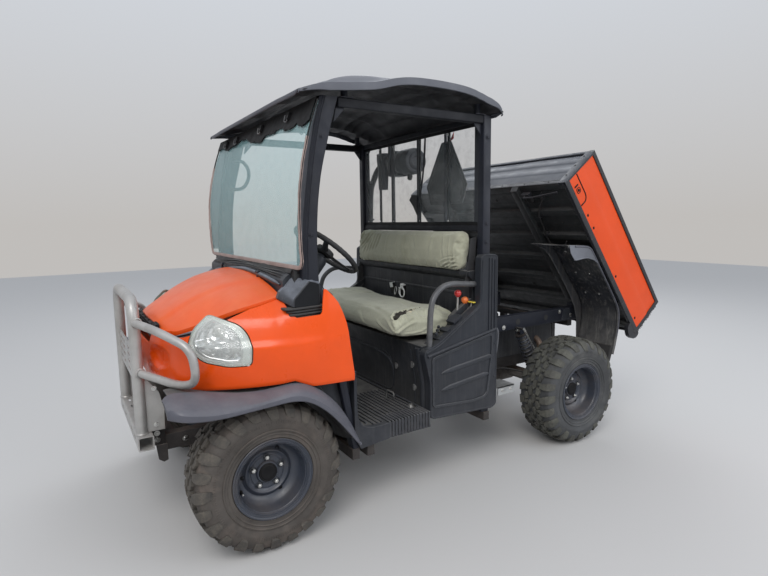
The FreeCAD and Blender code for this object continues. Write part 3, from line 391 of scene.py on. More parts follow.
def materials():
    M = {}
    M["orange"] = surface("faded_orange", (0.72, 0.072, 0.003), rough=0.32, var=0.10, vscale=2.2, grain=1500, gdist=0.00004,
                          dust_and_sky_light=0.05, dust_and_sky_light_col=(0.75, 0.28, 0.10), low=(0.45, 0.80, 0.05), coat=0.25, coat_rough=0.12, spec=0.30, ripple=0.0006)
    M["hood_orange"] = surface("sun_faded_hood", (0.74, 0.082, 0.005), rough=0.38, var=0.08, vscale=2.4, grain=1500, gdist=0.00004,
                               dust_and_sky_light=0.22, dust_and_sky_light_col=(0.85, 0.32, 0.14), coat=0.22, coat_rough=0.20, spec=0.30, ripple=0.0006)
    M["bed_orange"] = surface("bed_orange", (0.72, 0.066, 0.003), rough=0.40, var=0.08, vscale=1.8, grain=1500, gdist=0.00004,
                              dust_and_sky_light=0.04, dust_and_sky_light_col=(0.6, 0.30, 0.2), coat=0.20, coat_rough=0.22, spec=0.30, ripple=0.0008)
    M["plastic"] = surface("moulded_black", (0.018, 0.021, 0.028), rough=0.50, var=0.18, vscale=4.0, grain=700, gdist=0.00012, gstr=0.6,
                           dust_and_sky_light=0.24, dust_and_sky_light_col=(0.15, 0.145, 0.145), low=(0.25, 0.85, 0.18), streak=0.10, spec=0.32)
    M["plastic_low"] = surface("moulded_black_dusty", (0.022, 0.024, 0.029), rough=0.54, var=0.2, vscale=5.0, grain=700, gdist=0.00012, gstr=0.6,
                               dust_and_sky_light=0.62, dust_and_sky_light_col=(0.215, 0.205, 0.19), low=(0.25, 0.7, 0.30), streak=0.15, spec=0.35)
    M["plastic_worn"] = surface("moulded_black_worn", (0.026, 0.029, 0.036), rough=0.46, var=0.2, vscale=6.0, grain=700, gdist=0.00012, gstr=0.6,
                                dust_and_sky_light=0.36, dust_and_sky_light_col=(0.19, 0.18, 0.175), low=(0.25, 0.65, 0.20), wear=0.7, wear_col=(0.15, 0.15, 0.155), spec=0.35)
    M["worn_tube"] = surface("worn_tube", (0.060, 0.062, 0.068), rough=0.40, var=0.2, vscale=9.0, grain=1000, gdist=0.00008,
                             dust_and_sky_light=0.25, dust_and_sky_light_col=(0.26, 0.25, 0.24), second=((0.16, 0.155, 0.15), 0.6), coat=0.1, coat_rough=0.35)
    # post cover: the faces that turn up go pale blue-grey, painted sky light with some dust
    M["cover"] = surface("post_cover", (0.026, 0.028, 0.034), rough=0.42, var=0.15, vscale=5.0, grain=700, gdist=0.0001, gstr=0.5,
                         dust_and_sky_light=1.0, dust_and_sky_light_col=(0.23, 0.25, 0.295), coat=0.1, coat_rough=0.3)
    M["plastic_dark"] = surface("moulded_shade", (0.008, 0.009, 0.011), rough=0.6, var=0.15, vscale=5.0, dust_and_sky_light=0.08, dust_and_sky_light_col=(0.08, 0.08, 0.08), spec=0.2)
    # grey lighter than the flare's own colour: painted light for the lit skirt beside the rear guards
    M["guard_skirt_painted_lit"] = surface("guard_skirt_painted_lit", (0.120, 0.128, 0.150), rough=0.5, var=0.18, vscale=6.0, grain=700, gdist=0.0001,
                               dust_and_sky_light=0.4, dust_and_sky_light_col=(0.20, 0.20, 0.22), second=((0.075, 0.080, 0.092), 0.4))
    M["bed_sheet"] = surface("bed_front_paint", (0.040, 0.044, 0.055), rough=0.38, var=0.15, vscale=3.0, grain=900, gdist=0.00008,
                             dust_and_sky_light=0.55, dust_and_sky_light_col=(0.18, 0.19, 0.21), wear=0.5, wear_col=(0.24, 0.24, 0.25), ripple=0.0006)
    M["bed_edge"] = surface("bed_edge_paint", (0.026, 0.029, 0.036), rough=0.42, var=0.15, vscale=6.0, dust_and_sky_light=0.35, dust_and_sky_light_col=(0.16, 0.16, 0.18),
                            wear=0.8, wear_col=(0.24, 0.24, 0.25), spec=0.35)
    M["bed_under"] = surface("bed_underside", (0.016, 0.018, 0.020), rough=0.48, var=0.25, vscale=6.0, grain=700, gdist=0.0001,
                             dust_and_sky_light=0.45, dust_and_sky_light_col=(0.17, 0.17, 0.165), wear=0.6, wear_col=(0.17, 0.17, 0.16), streak=0.12)
    M["flare"] = surface("faded_flare", (0.078, 0.080, 0.100), rough=0.52, var=0.14, vscale=4.0, grain=800, gdist=0.0001, gstr=0.5,
                         dust_and_sky_light=0.30, dust_and_sky_light_col=(0.25, 0.24, 0.25), low=(0.35, 0.75, 0.12))
    M["roof"] = surface("weathered_roof", (0.092, 0.098, 0.118), rough=0.55, var=0.10, vscale=2.5, grain=600, gdist=0.00012, gstr=0.5,
                        dust_and_sky_light=0.45, dust_and_sky_light_col=(0.19, 0.19, 0.205), streak=0.05)
    M["roof_in"] = surface("roof_inside", (0.012, 0.012, 0.015), rough=0.6, var=0.2, vscale=5.0, dust_and_sky_light=0.1)
    M["frame"] = surface("satin_dark_paint", (0.014, 0.016, 0.024), rough=0.46, var=0.12, vscale=5.0, grain=1100, gdist=0.00006,
                         dust_and_sky_light=0.10, dust_and_sky_light_col=(0.12, 0.12, 0.13), wear=0.35, wear_col=(0.11, 0.105, 0.11), spec=0.28)
    M["frame_dark"] = surface("shaded_frame", (0.012, 0.013, 0.017), rough=0.6, var=0.12, vscale=5.0, dust_and_sky_light=0.1, dust_and_sky_light_col=(0.10, 0.10, 0.10), spec=0.25)
    M["gasket"] = surface("grey_gasket", (0.085, 0.088, 0.100), rough=0.5, var=0.12, vscale=6.0, dust_and_sky_light=0.3, dust_and_sky_light_col=(0.25, 0.24, 0.24))
    M["chassis"] = surface("chassis_black", (0.015, 0.015, 0.017), rough=0.55, var=0.25, vscale=9.0, grain=500, gdist=0.0002, gstr=0.5,
                           dust_and_sky_light=0.45, dust_and_sky_light_col=(0.15, 0.12, 0.10), low=(0.15, 0.75, 0.32), wear=0.5, wear_col=(0.11, 0.09, 0.075), spec=0.4)
    M["steel"] = surface("bare_steel", (0.42, 0.41, 0.40), rough=0.38, metal=0.9, var=0.25, vscale=14.0, dust_and_sky_light=0.25, gdist=0.0001)
    M["bright"] = surface("zinc_bolts", (0.62, 0.62, 0.60), rough=0.3, metal=1.0, var=0.2, vscale=20.0, dust_and_sky_light=0.15)
    M["chrome"] = surface("polished_rod", (0.75, 0.75, 0.75), rough=0.12, metal=1.0, var=0.05, dust_and_sky_light=0.04, rvar=0.05)
    M["cast"] = surface("casting", (0.15, 0.145, 0.14), rough=0.7, metal=0.3, var=0.25, vscale=12.0, grain=220, gdist=0.0006, gstr=0.7,
                        dust_and_sky_light=0.7, dust_and_sky_light_col=(0.22, 0.16, 0.12), low=(0.1, 0.6, 0.4))
    M["exhaust"] = surface("heat_stained", (0.26, 0.19, 0.15), rough=0.6, metal=0.6, var=0.3, vscale=12.0, dust_and_sky_light=0.5, second=((0.30, 0.10, 0.04), 0.7))
    M["guard"] = surface("silver_guard", (0.40, 0.395, 0.385), rough=0.42, metal=0.35, var=0.10, vscale=9.0, grain=900, gdist=0.00008,
                         dust_and_sky_light=0.2, dust_and_sky_light_col=(0.40, 0.34, 0.30), second=((0.27, 0.255, 0.235), 0.45), wear=0.6, wear_col=(0.20, 0.16, 0.13))
    M["bed"] = surface("bed_black", (0.014, 0.015, 0.019), rough=0.42, var=0.2, vscale=4.0, grain=800, gdist=0.0001,
                       dust_and_sky_light=0.20, dust_and_sky_light_col=(0.15, 0.14, 0.14), wear=0.5, wear_col=(0.17, 0.16, 0.15), second=((0.035, 0.036, 0.040), 0.3))
    M["bed_in"] = surface("bed_inside", (0.055, 0.056, 0.060), rough=0.6, var=0.25, vscale=5.0, grain=500, gdist=0.0002,
                          dust_and_sky_light=0.6, dust_and_sky_light_col=(0.24, 0.19, 0.16), second=((0.17, 0.15, 0.135), 0.6), wear=0.8, wear_col=(0.28, 0.25, 0.23))
    M["guards_rear"] = surface("wheel_guard_plastic", (0.028, 0.030, 0.036), rough=0.5, var=0.2, vscale=5.0, dust_and_sky_light=0.35,
                               dust_and_sky_light_col=(0.26, 0.235, 0.205), low=(0.4, 1.25, 0.22), streak=0.30)
    M["guard_face"] = surface("wheel_guard_face", (0.016, 0.018, 0.024), rough=0.48, var=0.3, vscale=7.0, dust_and_sky_light=0.6,
                              dust_and_sky_light_col=(0.30, 0.285, 0.26), low=(0.45, 0.95, 0.36), streak=0.30, second=((0.055, 0.057, 0.058), 0.7), wear=0.8, wear_col=(0.24, 0.24, 0.24), spec=0.35)
    M["rim"] = surface("rim_paint", (0.036, 0.043, 0.060), rough=0.40, var=0.16, vscale=9.0, dust_and_sky_light=0.25, dust_and_sky_light_col=(0.20, 0.16, 0.13),
                       low=None, coat=0.2, coat_rough=0.3, second=((0.10, 0.085, 0.075), 0.4))
    M["rubber"] = surface("black_rubber", (0.018, 0.018, 0.019), rough=0.62, var=0.2, vscale=8.0, dust_and_sky_light=0.3, dust_and_sky_light_col=(0.2, 0.18, 0.16))
    M["trim_rubber"] = surface("dusty_seal", (0.30, 0.225, 0.205), rough=0.7, var=0.2, vscale=8.0, dust_and_sky_light=0.5, dust_and_sky_light_col=(0.42, 0.32, 0.29))
    M["seal"] = surface("black_seal", (0.008, 0.008, 0.009), rough=0.6, var=0.1, dust_and_sky_light=0.06, spec=0.2)
    M["latch"] = surface("dull_latch", (0.20, 0.20, 0.20), rough=0.45, metal=0.5, var=0.2, vscale=20.0, dust_and_sky_light=0.3)
    M["tyre_front"] = tyre_rubber("tyre_brown_dust", (0.150, 0.130, 0.108))
    M["tyre_rear"] = tyre_rubber("tyre_olive_dust", (0.150, 0.150, 0.125))
    M["wall_front"] = surface("sidewall_brown", (0.060, 0.052, 0.046), rough=0.75, var=0.3, vscale=6.0, grain=300, gdist=0.0004,
                              dust_and_sky_light=0.35, dust_and_sky_light_col=(0.20, 0.165, 0.14), second=((0.15, 0.12, 0.10), 0.7))
    M["wall_rear"] = surface("sidewall_grey", (0.050, 0.052, 0.055), rough=0.72, var=0.25, vscale=6.0, grain=300, gdist=0.0004,
                             dust_and_sky_light=0.3, dust_and_sky_light_col=(0.17, 0.165, 0.15), second=((0.11, 0.11, 0.105), 0.6))
    M["canvas"] = canvas("khaki_canvas", (0.455, 0.455, 0.345), (0.29, 0.28, 0.21))
    # darker copy of the khaki canvas for its underside: painted shade
    M["canvas_dark"] = canvas("canvas_underside_painted_shade", (0.14, 0.135, 0.10), (0.08, 0.075, 0.06))
    M["foam"] = surface("torn_foam", (0.72, 0.66, 0.50), rough=0.95, var=0.2, vscale=40.0, dust_and_sky_light=0.1)
    M["tear_dark"] = surface("tear_shade", (0.018, 0.016, 0.012), rough=0.95, var=0.2, vscale=40.0, dust_and_sky_light=0.05)
    M["glass"] = clear("windshield_sheet", (0.40, 0.64, 0.66), 0.03, 0.10, 0.30, (0.42, 0.60, 0.61))
    M["screen"] = clear("screen_sheet", (0.30, 0.34, 0.36), 0.06, 0.12, 0.10, (0.40, 0.41, 0.41))
    M["lamp"] = clear("lamp_cover", (0.80, 0.84, 0.82), 0.06, 0.10, 0.22, (0.7, 0.7, 0.62))
    M["reflector"] = surface("lamp_reflector", (0.86, 0.86, 0.86), rough=0.16, metal=1.0, var=0.04, dust_and_sky_light=0.05)
    M["lamp_body"] = surface("lamp_body", (0.30, 0.31, 0.31), rough=0.35, metal=0.4, var=0.1, dust_and_sky_light=0.1)
    M["sign"] = surface("sign_back", (0.085, 0.088, 0.090), rough=0.55, metal=0.3, var=0.12, vscale=3.0, dust_and_sky_light=0.2, second=((0.14, 0.14, 0.14), 0.5))
    M["sign_face"] = surface("sign_face", (0.75, 0.10, 0.03), rough=0.4, var=0.08, dust_and_sky_light=0.2)
    M["sign_edge"] = surface("sign_border", (0.42, 0.03, 0.03), rough=0.35, var=0.08, dust_and_sky_light=0.2)
    M["knob_red"] = surface("knob_red", (0.55, 0.03, 0.03), rough=0.35, var=0.1, dust_and_sky_light=0.15, coat=0.4)
    M["knob_orange"] = surface("knob_orange", (0.75, 0.17, 0.03), rough=0.38, var=0.1, dust_and_sky_light=0.2, coat=0.3)
    M["yellow"] = surface("knob_yellow", (0.70, 0.55, 0.06), rough=0.45, var=0.1, dust_and_sky_light=0.2)
    M["webbing"] = surface("belt_webbing", (0.035, 0.035, 0.038), rough=0.8, var=0.15, grain=400, gdist=0.0004, dust_and_sky_light=0.3)
    M["white"] = surface("buckle_light", (0.55, 0.56, 0.56), rough=0.35, var=0.1, dust_and_sky_light=0.1)
    M["galv"] = surface("galvanised", (0.45, 0.46, 0.46), rough=0.45, metal=0.7, var=0.2, vscale=18.0, dust_and_sky_light=0.3)
    M["gauge"] = surface("gauge_face", (0.02, 0.02, 0.022), rough=0.2, var=0.05, dust_and_sky_light=0.1, coat=0.8)
    return M


# ------------------------------------------------------------------ mesh helpers
M = {}


def v3(*p):
    return Vector(p)


class Geo:
    """Collects vertices and faces of one piece, each face with a material number."""

    def __init__(self):
        self.v, self.f, self.m = [], [], []

    def add(self, verts, faces, mat=0):
        n = len(self.v)
        self.v += [tuple(p) for p in verts]
        for f in faces:
            self.f.append([n + i for i in f])
            self.m.append(mat)
        return self

    def prism(self, plane, points, a, b, mat=0):
        """Outline in YZ, XZ or XY pushed from a to b along the third axis."""
        n = len(points)
        put = {"YZ": lambda p, t: (t, p[0], p[1]), "XZ": lambda p, t: (p[0], t, p[1]), "XY": lambda p, t: (p[0], p[1], t)}[plane]
        verts = [put(p, a) for p in points] + [put(p, b) for p in points]
        faces = [list(range(n)), list(range(2 * n - 1, n - 1, -1))]
        faces += [[i, i + n, (i + 1) % n + n, (i + 1) % n] for i in range(n)]
        return self.add(verts, faces, mat)

    def box(self, x0, x1, y0, y1, z0, z1, mat=0, turn=None):
        c = Vector(((x0 + x1) / 2, (y0 + y1) / 2, (z0 + z1) / 2))
        pts = []
        for z in (z0, z1):
            for x, y in ((x0, y0), (x1, y0), (x1, y1), (x0, y1)):
                p = Vector((x, y, z))
                if turn is not None:
                    p = c + turn @ (p - c)
                pts.append(p)
        return self.add(pts, [[0, 3, 2, 1], [4, 5, 6, 7], [0, 1, 5, 4], [1, 2, 6, 5], [2, 3, 7, 6], [3, 0, 4, 7]], mat)

    def rings(self, rings, mat=0, close=True, ends=True, loop=False):
        """Skin through rings of equal count."""
        n = len(rings[0])
        verts = [p for r in rings for p in r]
        faces = []
        last = len(rings) if loop else len(rings) - 1
        for i in range(last):
            a, b = i * n, ((i + 1) % len(rings)) * n
            for j in range(n if close else n - 1):
                k = (j + 1) % n
                faces.append([a + j, a + k, b + k, b + j])
        if ends and not loop:
            faces.append(list(range(n - 1, -1, -1)))
            faces.append([(len(rings) - 1) * n + j for j in range(n)])
        return self.add(verts, faces, mat)

    def lathe(self, profile, place, axis, seg=48, mat=0, closed=False, start=0.0):
        """Turns (along, radius) pairs about an axis through place."""
        place, axis = Vector(place), Vector(axis).normalized()
        side = axis.orthogonal().normalized()
        up = axis.cross(side)
        rings = []
        for k in range(seg):
            a = start + 2 * math.pi * k / seg
            d = side * math.cos(a) + up * math.sin(a)
            rings.append([place + axis * t + d * r for t, r in profile])
        return self.rings(rings, mat, close=closed, ends=False, loop=True)

    def tube(self, points, radius, seg=14, mat=0, bend=0.0, caps=True, squash=None):
        pts = soft(points, bend) if bend else [Vector(p) for p in points]
        frames = []
        t0 = (pts[1] - pts[0]).normalized()
        side = t0.orthogonal().normalized()
        for i, p in enumerate(pts):
            t = (pts[min(i + 1, len(pts) - 1)] - pts[max(i - 1, 0)]).normalized()
            side = (side - t * side.dot(t)).normalized()
            up = t.cross(side)
            r = radius(i / (len(pts) - 1)) if callable(radius) else radius
            ring = []
            for k in range(seg):
                a = 2 * math.pi * k / seg
                ring.append(p + side * math.cos(a) * r + up * math.sin(a) * r)
            frames.append(ring)
        return self.rings(frames, mat, ends=caps)

    def bolt(self, place, normal, r=0.007, h=0.005, mat=0, washer=True, dome=False):
        place, normal = Vector(place), Vector(normal).normalized()
        if washer:
            self.lathe([(0, 0.0001), (0, r * 1.55), (h * 0.28, r * 1.55), (h * 0.28, 0.0001)], place, normal, 18, mat)
        if dome:
            self.lathe([(0, r), (h * 0.5, r * 0.92), (h * 0.85, r * 0.6), (h, 0.0001)], place, normal, 16, mat)
        else:
            self.lathe([(h * 0.2, r), (h * 0.95, r), (h * 1.1, r * 0.86), (h * 1.1, 0.0001)], place, normal, 6, mat)
        return self

    def mirror(self):
        """Adds the copy across the middle plane."""
        n = len(self.v)
        self.v += [(-x, y, z) for x, y, z in self.v]
        count = len(self.f)
        for i in range(count):
            self.f.append([n + k for k in self.f[i]][::-1])
            self.m.append(self.m[i])
        return self

    def joined(self, other):
        return self.add(other.v, other.f) if False else self._join(other)

    def _join(self, other):
        n = len(self.v)
        self.v += other.v
        self.f += [[n + i for i in f] for f in other.f]
        self.m += other.m
        return self


def soft(points, bend, steps=6):
    """Route with rounded corners."""
    pts = [Vector(p) for p in points]
    out = [pts[0]]
    for i in range(1, len(pts) - 1):
        a, b, c = pts[i - 1], pts[i], pts[i + 1]
        d1, d2 = (a - b), (c - b)
        cut = min(bend, d1.length * 0.48, d2.length * 0.48)
        p, q = b + d1.normalized() * cut, b + d2.normalized() * cut
        for k in range(steps + 1):
            t = k / steps
            out.append(p * (1 - t) ** 2 + b * 2 * t * (1 - t) + q * t * t)
    out.append(pts[-1])
    return out


def rounded(points, radius, steps=4):
    """Flat outline with rounded corners; radius may be a list."""
    n = len(points)
    out = []
    for i in range(n):
        a, b, c = (Vector(points[i - 1]), Vector(points[i]), Vector(points[(i + 1) % n]))
        r = radius[i] if isinstance(radius, (list, tuple)) else radius
        d1, d2 = a - b, c - b
        cut = min(r, d1.length * 0.45, d2.length * 0.45)
        if cut < 1e-5:
            out.append(tuple(b))
            continue
        p, q = b + d1.normalized() * cut, b + d2.normalized() * cut
        for k in range(steps + 1):
            t = k / steps
            out.append(tuple(p * (1 - t) ** 2 + b * 2 * t * (1 - t) + q * t * t))
    return out


def shrunk(points, d):
    """Flat outline moved inward by d."""
    n = len(points)
    area2 = sum(points[i][0] * points[(i + 1) % n][1] - points[(i + 1) % n][0] * points[i][1] for i in range(n))
    s = 1 if area2 > 0 else -1
    out = []
    for i in range(n):
        a, b, c = Vector(points[i - 1]), Vector(points[i]), Vector(points[(i + 1) % n])
        e1, e2 = (b - a).normalized(), (c - b).normalized()
        n1, n2 = Vector((-e1.y, e1.x)) * s, Vector((-e2.y, e2.x)) * s
        m = n1 + n2
        if m.length < 1e-6:
            m = n1
        m.normalize()
        out.append(tuple(b + m * (d / max(0.35, m.dot(n1)))))
    return out


def smooth_line(points, n, closed=False):
    """Even points on a Catmull-Rom curve."""
    P = [Vector(p) for p in points]
    m = len(P)
    fine = []
    count = m if closed else m - 1
    for i in range(count):
        p0 = P[(i - 1) % m] if closed or i > 0 else P[0] * 2 - P[1]
        p1, p2 = P[i], P[(i + 1) % m]
        p3 = P[(i + 2) % m] if closed or i + 2 < m else P[-1] * 2 - P[-2]
        for k in range(12):
            t = k / 12.0
            fine.append(0.5 * ((2 * p1) + (p2 - p0) * t + (2 * p0 - 5 * p1 + 4 * p2 - p3) * t * t + (3 * p1 - p0 - 3 * p2 + p3) * t ** 3))
    fine.append(P[0] if closed else P[-1])
    dist = [0.0]
    for a, b in zip(fine, fine[1:]):
        dist.append(dist[-1] + (b - a).length)
    out = []
    total = dist[-1]
    steps = n if closed else n - 1
    j = 0
    for k in range(n):
        d = total * k / steps
        while j < len(dist) - 2 and dist[j + 1] < d:
            j += 1
        span = dist[j + 1] - dist[j]
        t = 0 if span < 1e-9 else (d - dist[j]) / span
        out.append(fine[j].lerp(fine[j + 1], min(1, max(0, t))))
    return out


def curve1(pairs, x):
    """Piecewise line through (x, value) pairs."""
    if x <= pairs[0][0]:
        return pairs[0][1]
    for (a, u), (b, w) in zip(pairs, pairs[1:]):
        if x <= b:
            return u + (w - u) * (x - a) / (b - a)
    return pairs[-1][1]


def eased(pairs, x):
    """Smooth curve through (x, value) pairs."""
    xs = [p[0] for p in pairs]
    if x <= xs[0]:
        return pairs[0][1]
    if x >= xs[-1]:
        return pairs[-1][1]
    for i in range(len(pairs) - 1):
        if x <= xs[i + 1]:
            break
    h = xs[i + 1] - xs[i]
    t = (x - xs[i]) / h

    def slope(k):
        if k <= 0 or k >= len(pairs) - 1:
            j = 0 if k <= 0 else len(pairs) - 2
            return (pairs[j + 1][1] - pairs[j][1]) / (xs[j + 1] - xs[j])
        return (pairs[k + 1][1] - pairs[k - 1][1]) / (xs[k + 1] - xs[k - 1])
    m0, m1 = slope(i) * h, slope(i + 1) * h
    a, b = pairs[i][1], pairs[i + 1][1]
    return (2 * t ** 3 - 3 * t * t + 1) * a + (t ** 3 - 2 * t * t + t) * m0 + (-2 * t ** 3 + 3 * t * t) * b + (t ** 3 - t * t) * m1


def placed(p, bed):
    x, y, z = p
    if bed:
        y, z = raised(y, z)
    return (x, y - SH, z)


def make(name, g, mats, body="vehicle", rep=(), bed=False, bevel=0.0, seg=2, angle=32, sub=0, flat=False,
         weld=True, solid=0.0, world=False, recalc=True):
    """Turns a Geo into a piece that rides on a body."""
    me = bpy.data.meshes.new(name)
    verts = g.v if world else [placed(p, bed) for p in g.v]
    me.from_pydata(verts, [], g.f)
    for m in (mats if isinstance(mats, (list, tuple)) else [mats]):
        me.materials.append(M[m])
    me.polygons.foreach_set("material_index", g.m)
    bm = bmesh.new()
    bm.from_mesh(me)
    if weld:
        bmesh.ops.remove_doubles(bm, verts=bm.verts, dist=1e-5)
        bmesh.ops.dissolve_degenerate(bm, edges=bm.edges, dist=1e-6)
    if recalc:
        bmesh.ops.recalc_face_normals(bm, faces=bm.faces)
    for f in bm.faces:
        f.smooth = not flat
    bm.to_mesh(me)
    bm.free()
    ob = bpy.data.objects.new(name, me)
    scene.collection.objects.link(ob)
    if solid:
        s = ob.modifiers.new("thick", "SOLIDIFY")
        s.thickness = solid
        s.offset = -1.0
    if sub:
        s = ob.modifiers.new("round", "SUBSURF")
        s.levels = s.render_levels = sub
    if bevel:
        b = ob.modifiers.new("edges", "BEVEL")
        b.width = bevel
        b.segments = seg
        b.limit_method = "ANGLE"
        b.angle_limit = math.radians(angle)
        b.harden_normals = True
        b.use_clamp_overlap = True
    elif not flat and not sub:
        me.set_sharp_from_angle(angle=math.radians(angle))
    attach(ob, body)
    if rep:
        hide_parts(*rep)
    return ob


def baked(ob):
    """Applies the modifiers of a piece."""
    deps = bpy.context.evaluated_depsgraph_get()
    me = bpy.data.meshes.new_from_object(ob.evaluated_get(deps), depsgraph=deps)
    ob.modifiers.clear()
    old = ob.data
    ob.data = me
    bpy.data.meshes.remove(old)
    return ob


def refine(node, mat, body, bevel=0.003, angle=30, seg=2):
    """A CAD node with merged faces and rounded edges, in its own place."""
    src = bpy.data.objects[node].data
    bm = bmesh.new()
    bm.from_mesh(src)
    bmesh.ops.remove_doubles(bm, verts=bm.verts, dist=2e-5)
    bmesh.ops.dissolve_limit(bm, angle_limit=math.radians(1.0), verts=bm.verts, edges=bm.edges, use_dissolve_boundaries=False)
    for f in bm.faces:
        f.smooth = True
        f.material_index = 0
    me = bpy.data.meshes.new(node + "_look")
    bm.to_mesh(me)
    bm.free()
    me.materials.clear()
    me.materials.append(M[mat])
    ob = bpy.data.objects.new(node + "_look", me)
    scene.collection.objects.link(ob)
    if bevel:
        b = ob.modifiers.new("edges", "BEVEL")
        b.width = bevel
        b.segments = seg
        b.limit_method = "ANGLE"
        b.angle_limit = math.radians(angle)
        b.harden_normals = True
        b.use_clamp_overlap = True
    else:
        me.set_sharp_from_angle(angle=math.radians(angle))
    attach(ob, body)
    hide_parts(node)
    return ob


def paint(node, mat):
    """Gives a CAD node one of the materials."""
    ob = bpy.data.objects[node]
    if not ob.material_slots:
        ob.data.materials.append(M[mat])
    for s in ob.material_slots:
        s.material = M[mat]


# ------------------------------------------------------------------ tyres and wheels
TYRE_R = 0.3175
SHOULDER = [(0.000, 0.3015), (0.050, 0.3010), (0.085, 0.2985), (0.103, 0.2900), (0.1125, 0.2770), (0.1190, 0.2600), (0.1215, 0.2450),
            (0.1195, 0.2270), (0.1145, 0.2130), (0.1140, 0.2100), (0.1175, 0.2085), (0.1180, 0.2040), (0.1140, 0.2020), (0.1120, 0.1960),
            (0.1135, 0.1905), (0.1100, 0.1880), (0.1085, 0.1800), (0.1095, 0.1745), (0.1050, 0.1715), (0.1040, 0.1530)]


def tyre(tag, side, y, body, tread_mat, wall_mat, lean):
    centre = Vector((side * 0.585, y, TYRE_R))

    def spot(x, r, a):
        return (centre.x + x, centre.y + r * math.cos(a), centre.z + r * math.sin(a))
    g = Geo()
    prof = [(-x, r) for x, r in SHOULDER[::-1]] + SHOULDER[1:]
    inside = [(0.086, 0.1530), (0.090, 0.185), (0.104, 0.236), (0.094, 0.278), (0.0, 0.286)]
    prof = prof + inside + [(-x, r) for x, r in inside[-2::-1]]
    seg = 104
    rings = [[spot(x, r, 2 * math.pi * k / seg) for x, r in prof] for k in range(seg)]
    g.rings(rings, 0, close=True, ends=False, loop=True)
    # small upright ribs round the side wall
    for s in (1, -1):
        for k in range(150):
            a = 2 * math.pi * k / 150
            da = 0.006
            w = [(s * 0.1222, 0.2500), (s * 0.1230, 0.2440), (s * 0.1215, 0.2360)]
            base = [(s * 0.1190, 0.2500), (s * 0.1190, 0.2440), (s * 0.1185, 0.2360)]
            rr = []
            for (x1, r1), (x0, r0) in zip(w, base):
                rr.append([spot(x0, r0, a - da), spot(x1, r1, a - da * 0.4), spot(x1, r1, a + da * 0.4), spot(x0, r0, a + da)])
            g.rings(rr, 0)
    ob = make("tyre_carcass_" + tag, g, wall_mat, body, angle=28)

    t = Geo()
    n = 24
    pitch = 2 * math.pi / n
    rr = random.Random(3)

    def block(foot, top=None, low=0.2985, cut=0.0016):
        """Tread block from its outline in (across, angle)."""
        cx = sum(p[0] for p in foot) / len(foot)
        ca = sum(p[1] for p in foot) / len(foot)
        m = len(foot)
        crown = lambda x: TYRE_R - 0.0012 - 0.45 * max(0.0, abs(x) - 0.03) ** 1.6
        bot = [spot(x, low, a) for x, a in foot]
        mid = []
        upp = []
        for x, a in foot:
            k = 0.955
            mid.append(spot(cx + (x - cx) * 0.985, crown(x) - 0.0022, ca + (a - ca) * 0.985))
            upp.append(spot(cx + (x - cx) * 0.94, crown(x), ca + (a - ca) * 0.945))
        t.rings([bot, mid, upp], 0)

    for k in range(n):
        a0 = k * pitch
        for s in (1, -1):
            b0 = a0 + (0.5 * pitch if s < 0 else 0.0)
            long_one = (k % 2 == 0)
            # shoulder lug along the profile of the tyre
            inner = 0.060 if long_one else 0.052
            line = [(inner, 0.2985), (0.075, 0.2985), (0.090, 0.2960), (0.104, 0.2860), (0.1130, 0.2720)]
            high = [(inner, TYRE_R - 0.0026), (0.078, TYRE_R - 0.0046), (0.096, 0.3080), (0.1115, 0.2930), (0.1190, 0.2730)]
            if long_one:
                line += [(0.1185, 0.2590), (0.1200, 0.2520)]
                high += [(0.1240, 0.2580), (0.1215, 0.2500)]
            else:
                line += [(0.1170, 0.2650)]
                high += [(0.1205, 0.2630)]
            m = len(line)
            halfs = [0.20, 0.27, 0.31, 0.32, 0.30, 0.24, 0.15] if long_one else [0.16, 0.24, 0.29, 0.30, 0.27, 0.19]
            rings = []
            for i in range(m):
                h = halfs[i] * pitch
                sk = (0.10 - 0.05 * i) * pitch * s * lean
                (x0, r0), (x1, r1) = line[i], high[i]
                ring = [spot(s * x0, r0 - 0.003, b0 + sk - h), spot(s * x1, r1 - 0.0018, b0 + sk - h * 0.96), spot(s * x1, r1, b0 + sk - h * 0.86),
                        spot(s * x1, r1, b0 + sk + h * 0.86), spot(s * x1, r1 - 0.0018, b0 + sk + h * 0.96), spot(s * x0, r0 - 0.003, b0 + sk + h)]
                rings.append(ring)
            t.rings(rings, 0)
            # two staggered blocks beside the middle
            c = b0 + 0.50 * pitch
            q = 0.5 * pitch
            block([(s * 0.030, c - 0.62 * q), (s * 0.052, c - 0.50 * q), (s * 0.056, c + 0.12 * q), (s * 0.046, c + 0.60 * q), (s * 0.031, c + 0.42 * q)])
            # zig-zag blocks in the middle
            d = b0 + 0.10 * pitch
            block([(s * 0.002, d - 0.52 * q), (s * 0.013, d - 0.78 * q), (s * 0.026, d - 0.46 * q), (s * 0.024, d + 0.30 * q), (s * 0.012, d + 0.66 * q),
                   (s * 0.002, d + 0.50 * q)])
            # narrow bridge block
            e = b0 + 0.98 * pitch
            block([(s * 0.034, e - 0.20 * q), (s * 0.050, e - 0.30 * q), (s * 0.053, e + 0.10 * q), (s * 0.036, e + 0.16 * q)], low=0.2985)
    ob2 = make("tyre_tread_" + tag, t, tread_mat, body, weld=False, angle=24)
    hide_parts("tyre_" + tag)
    return ob


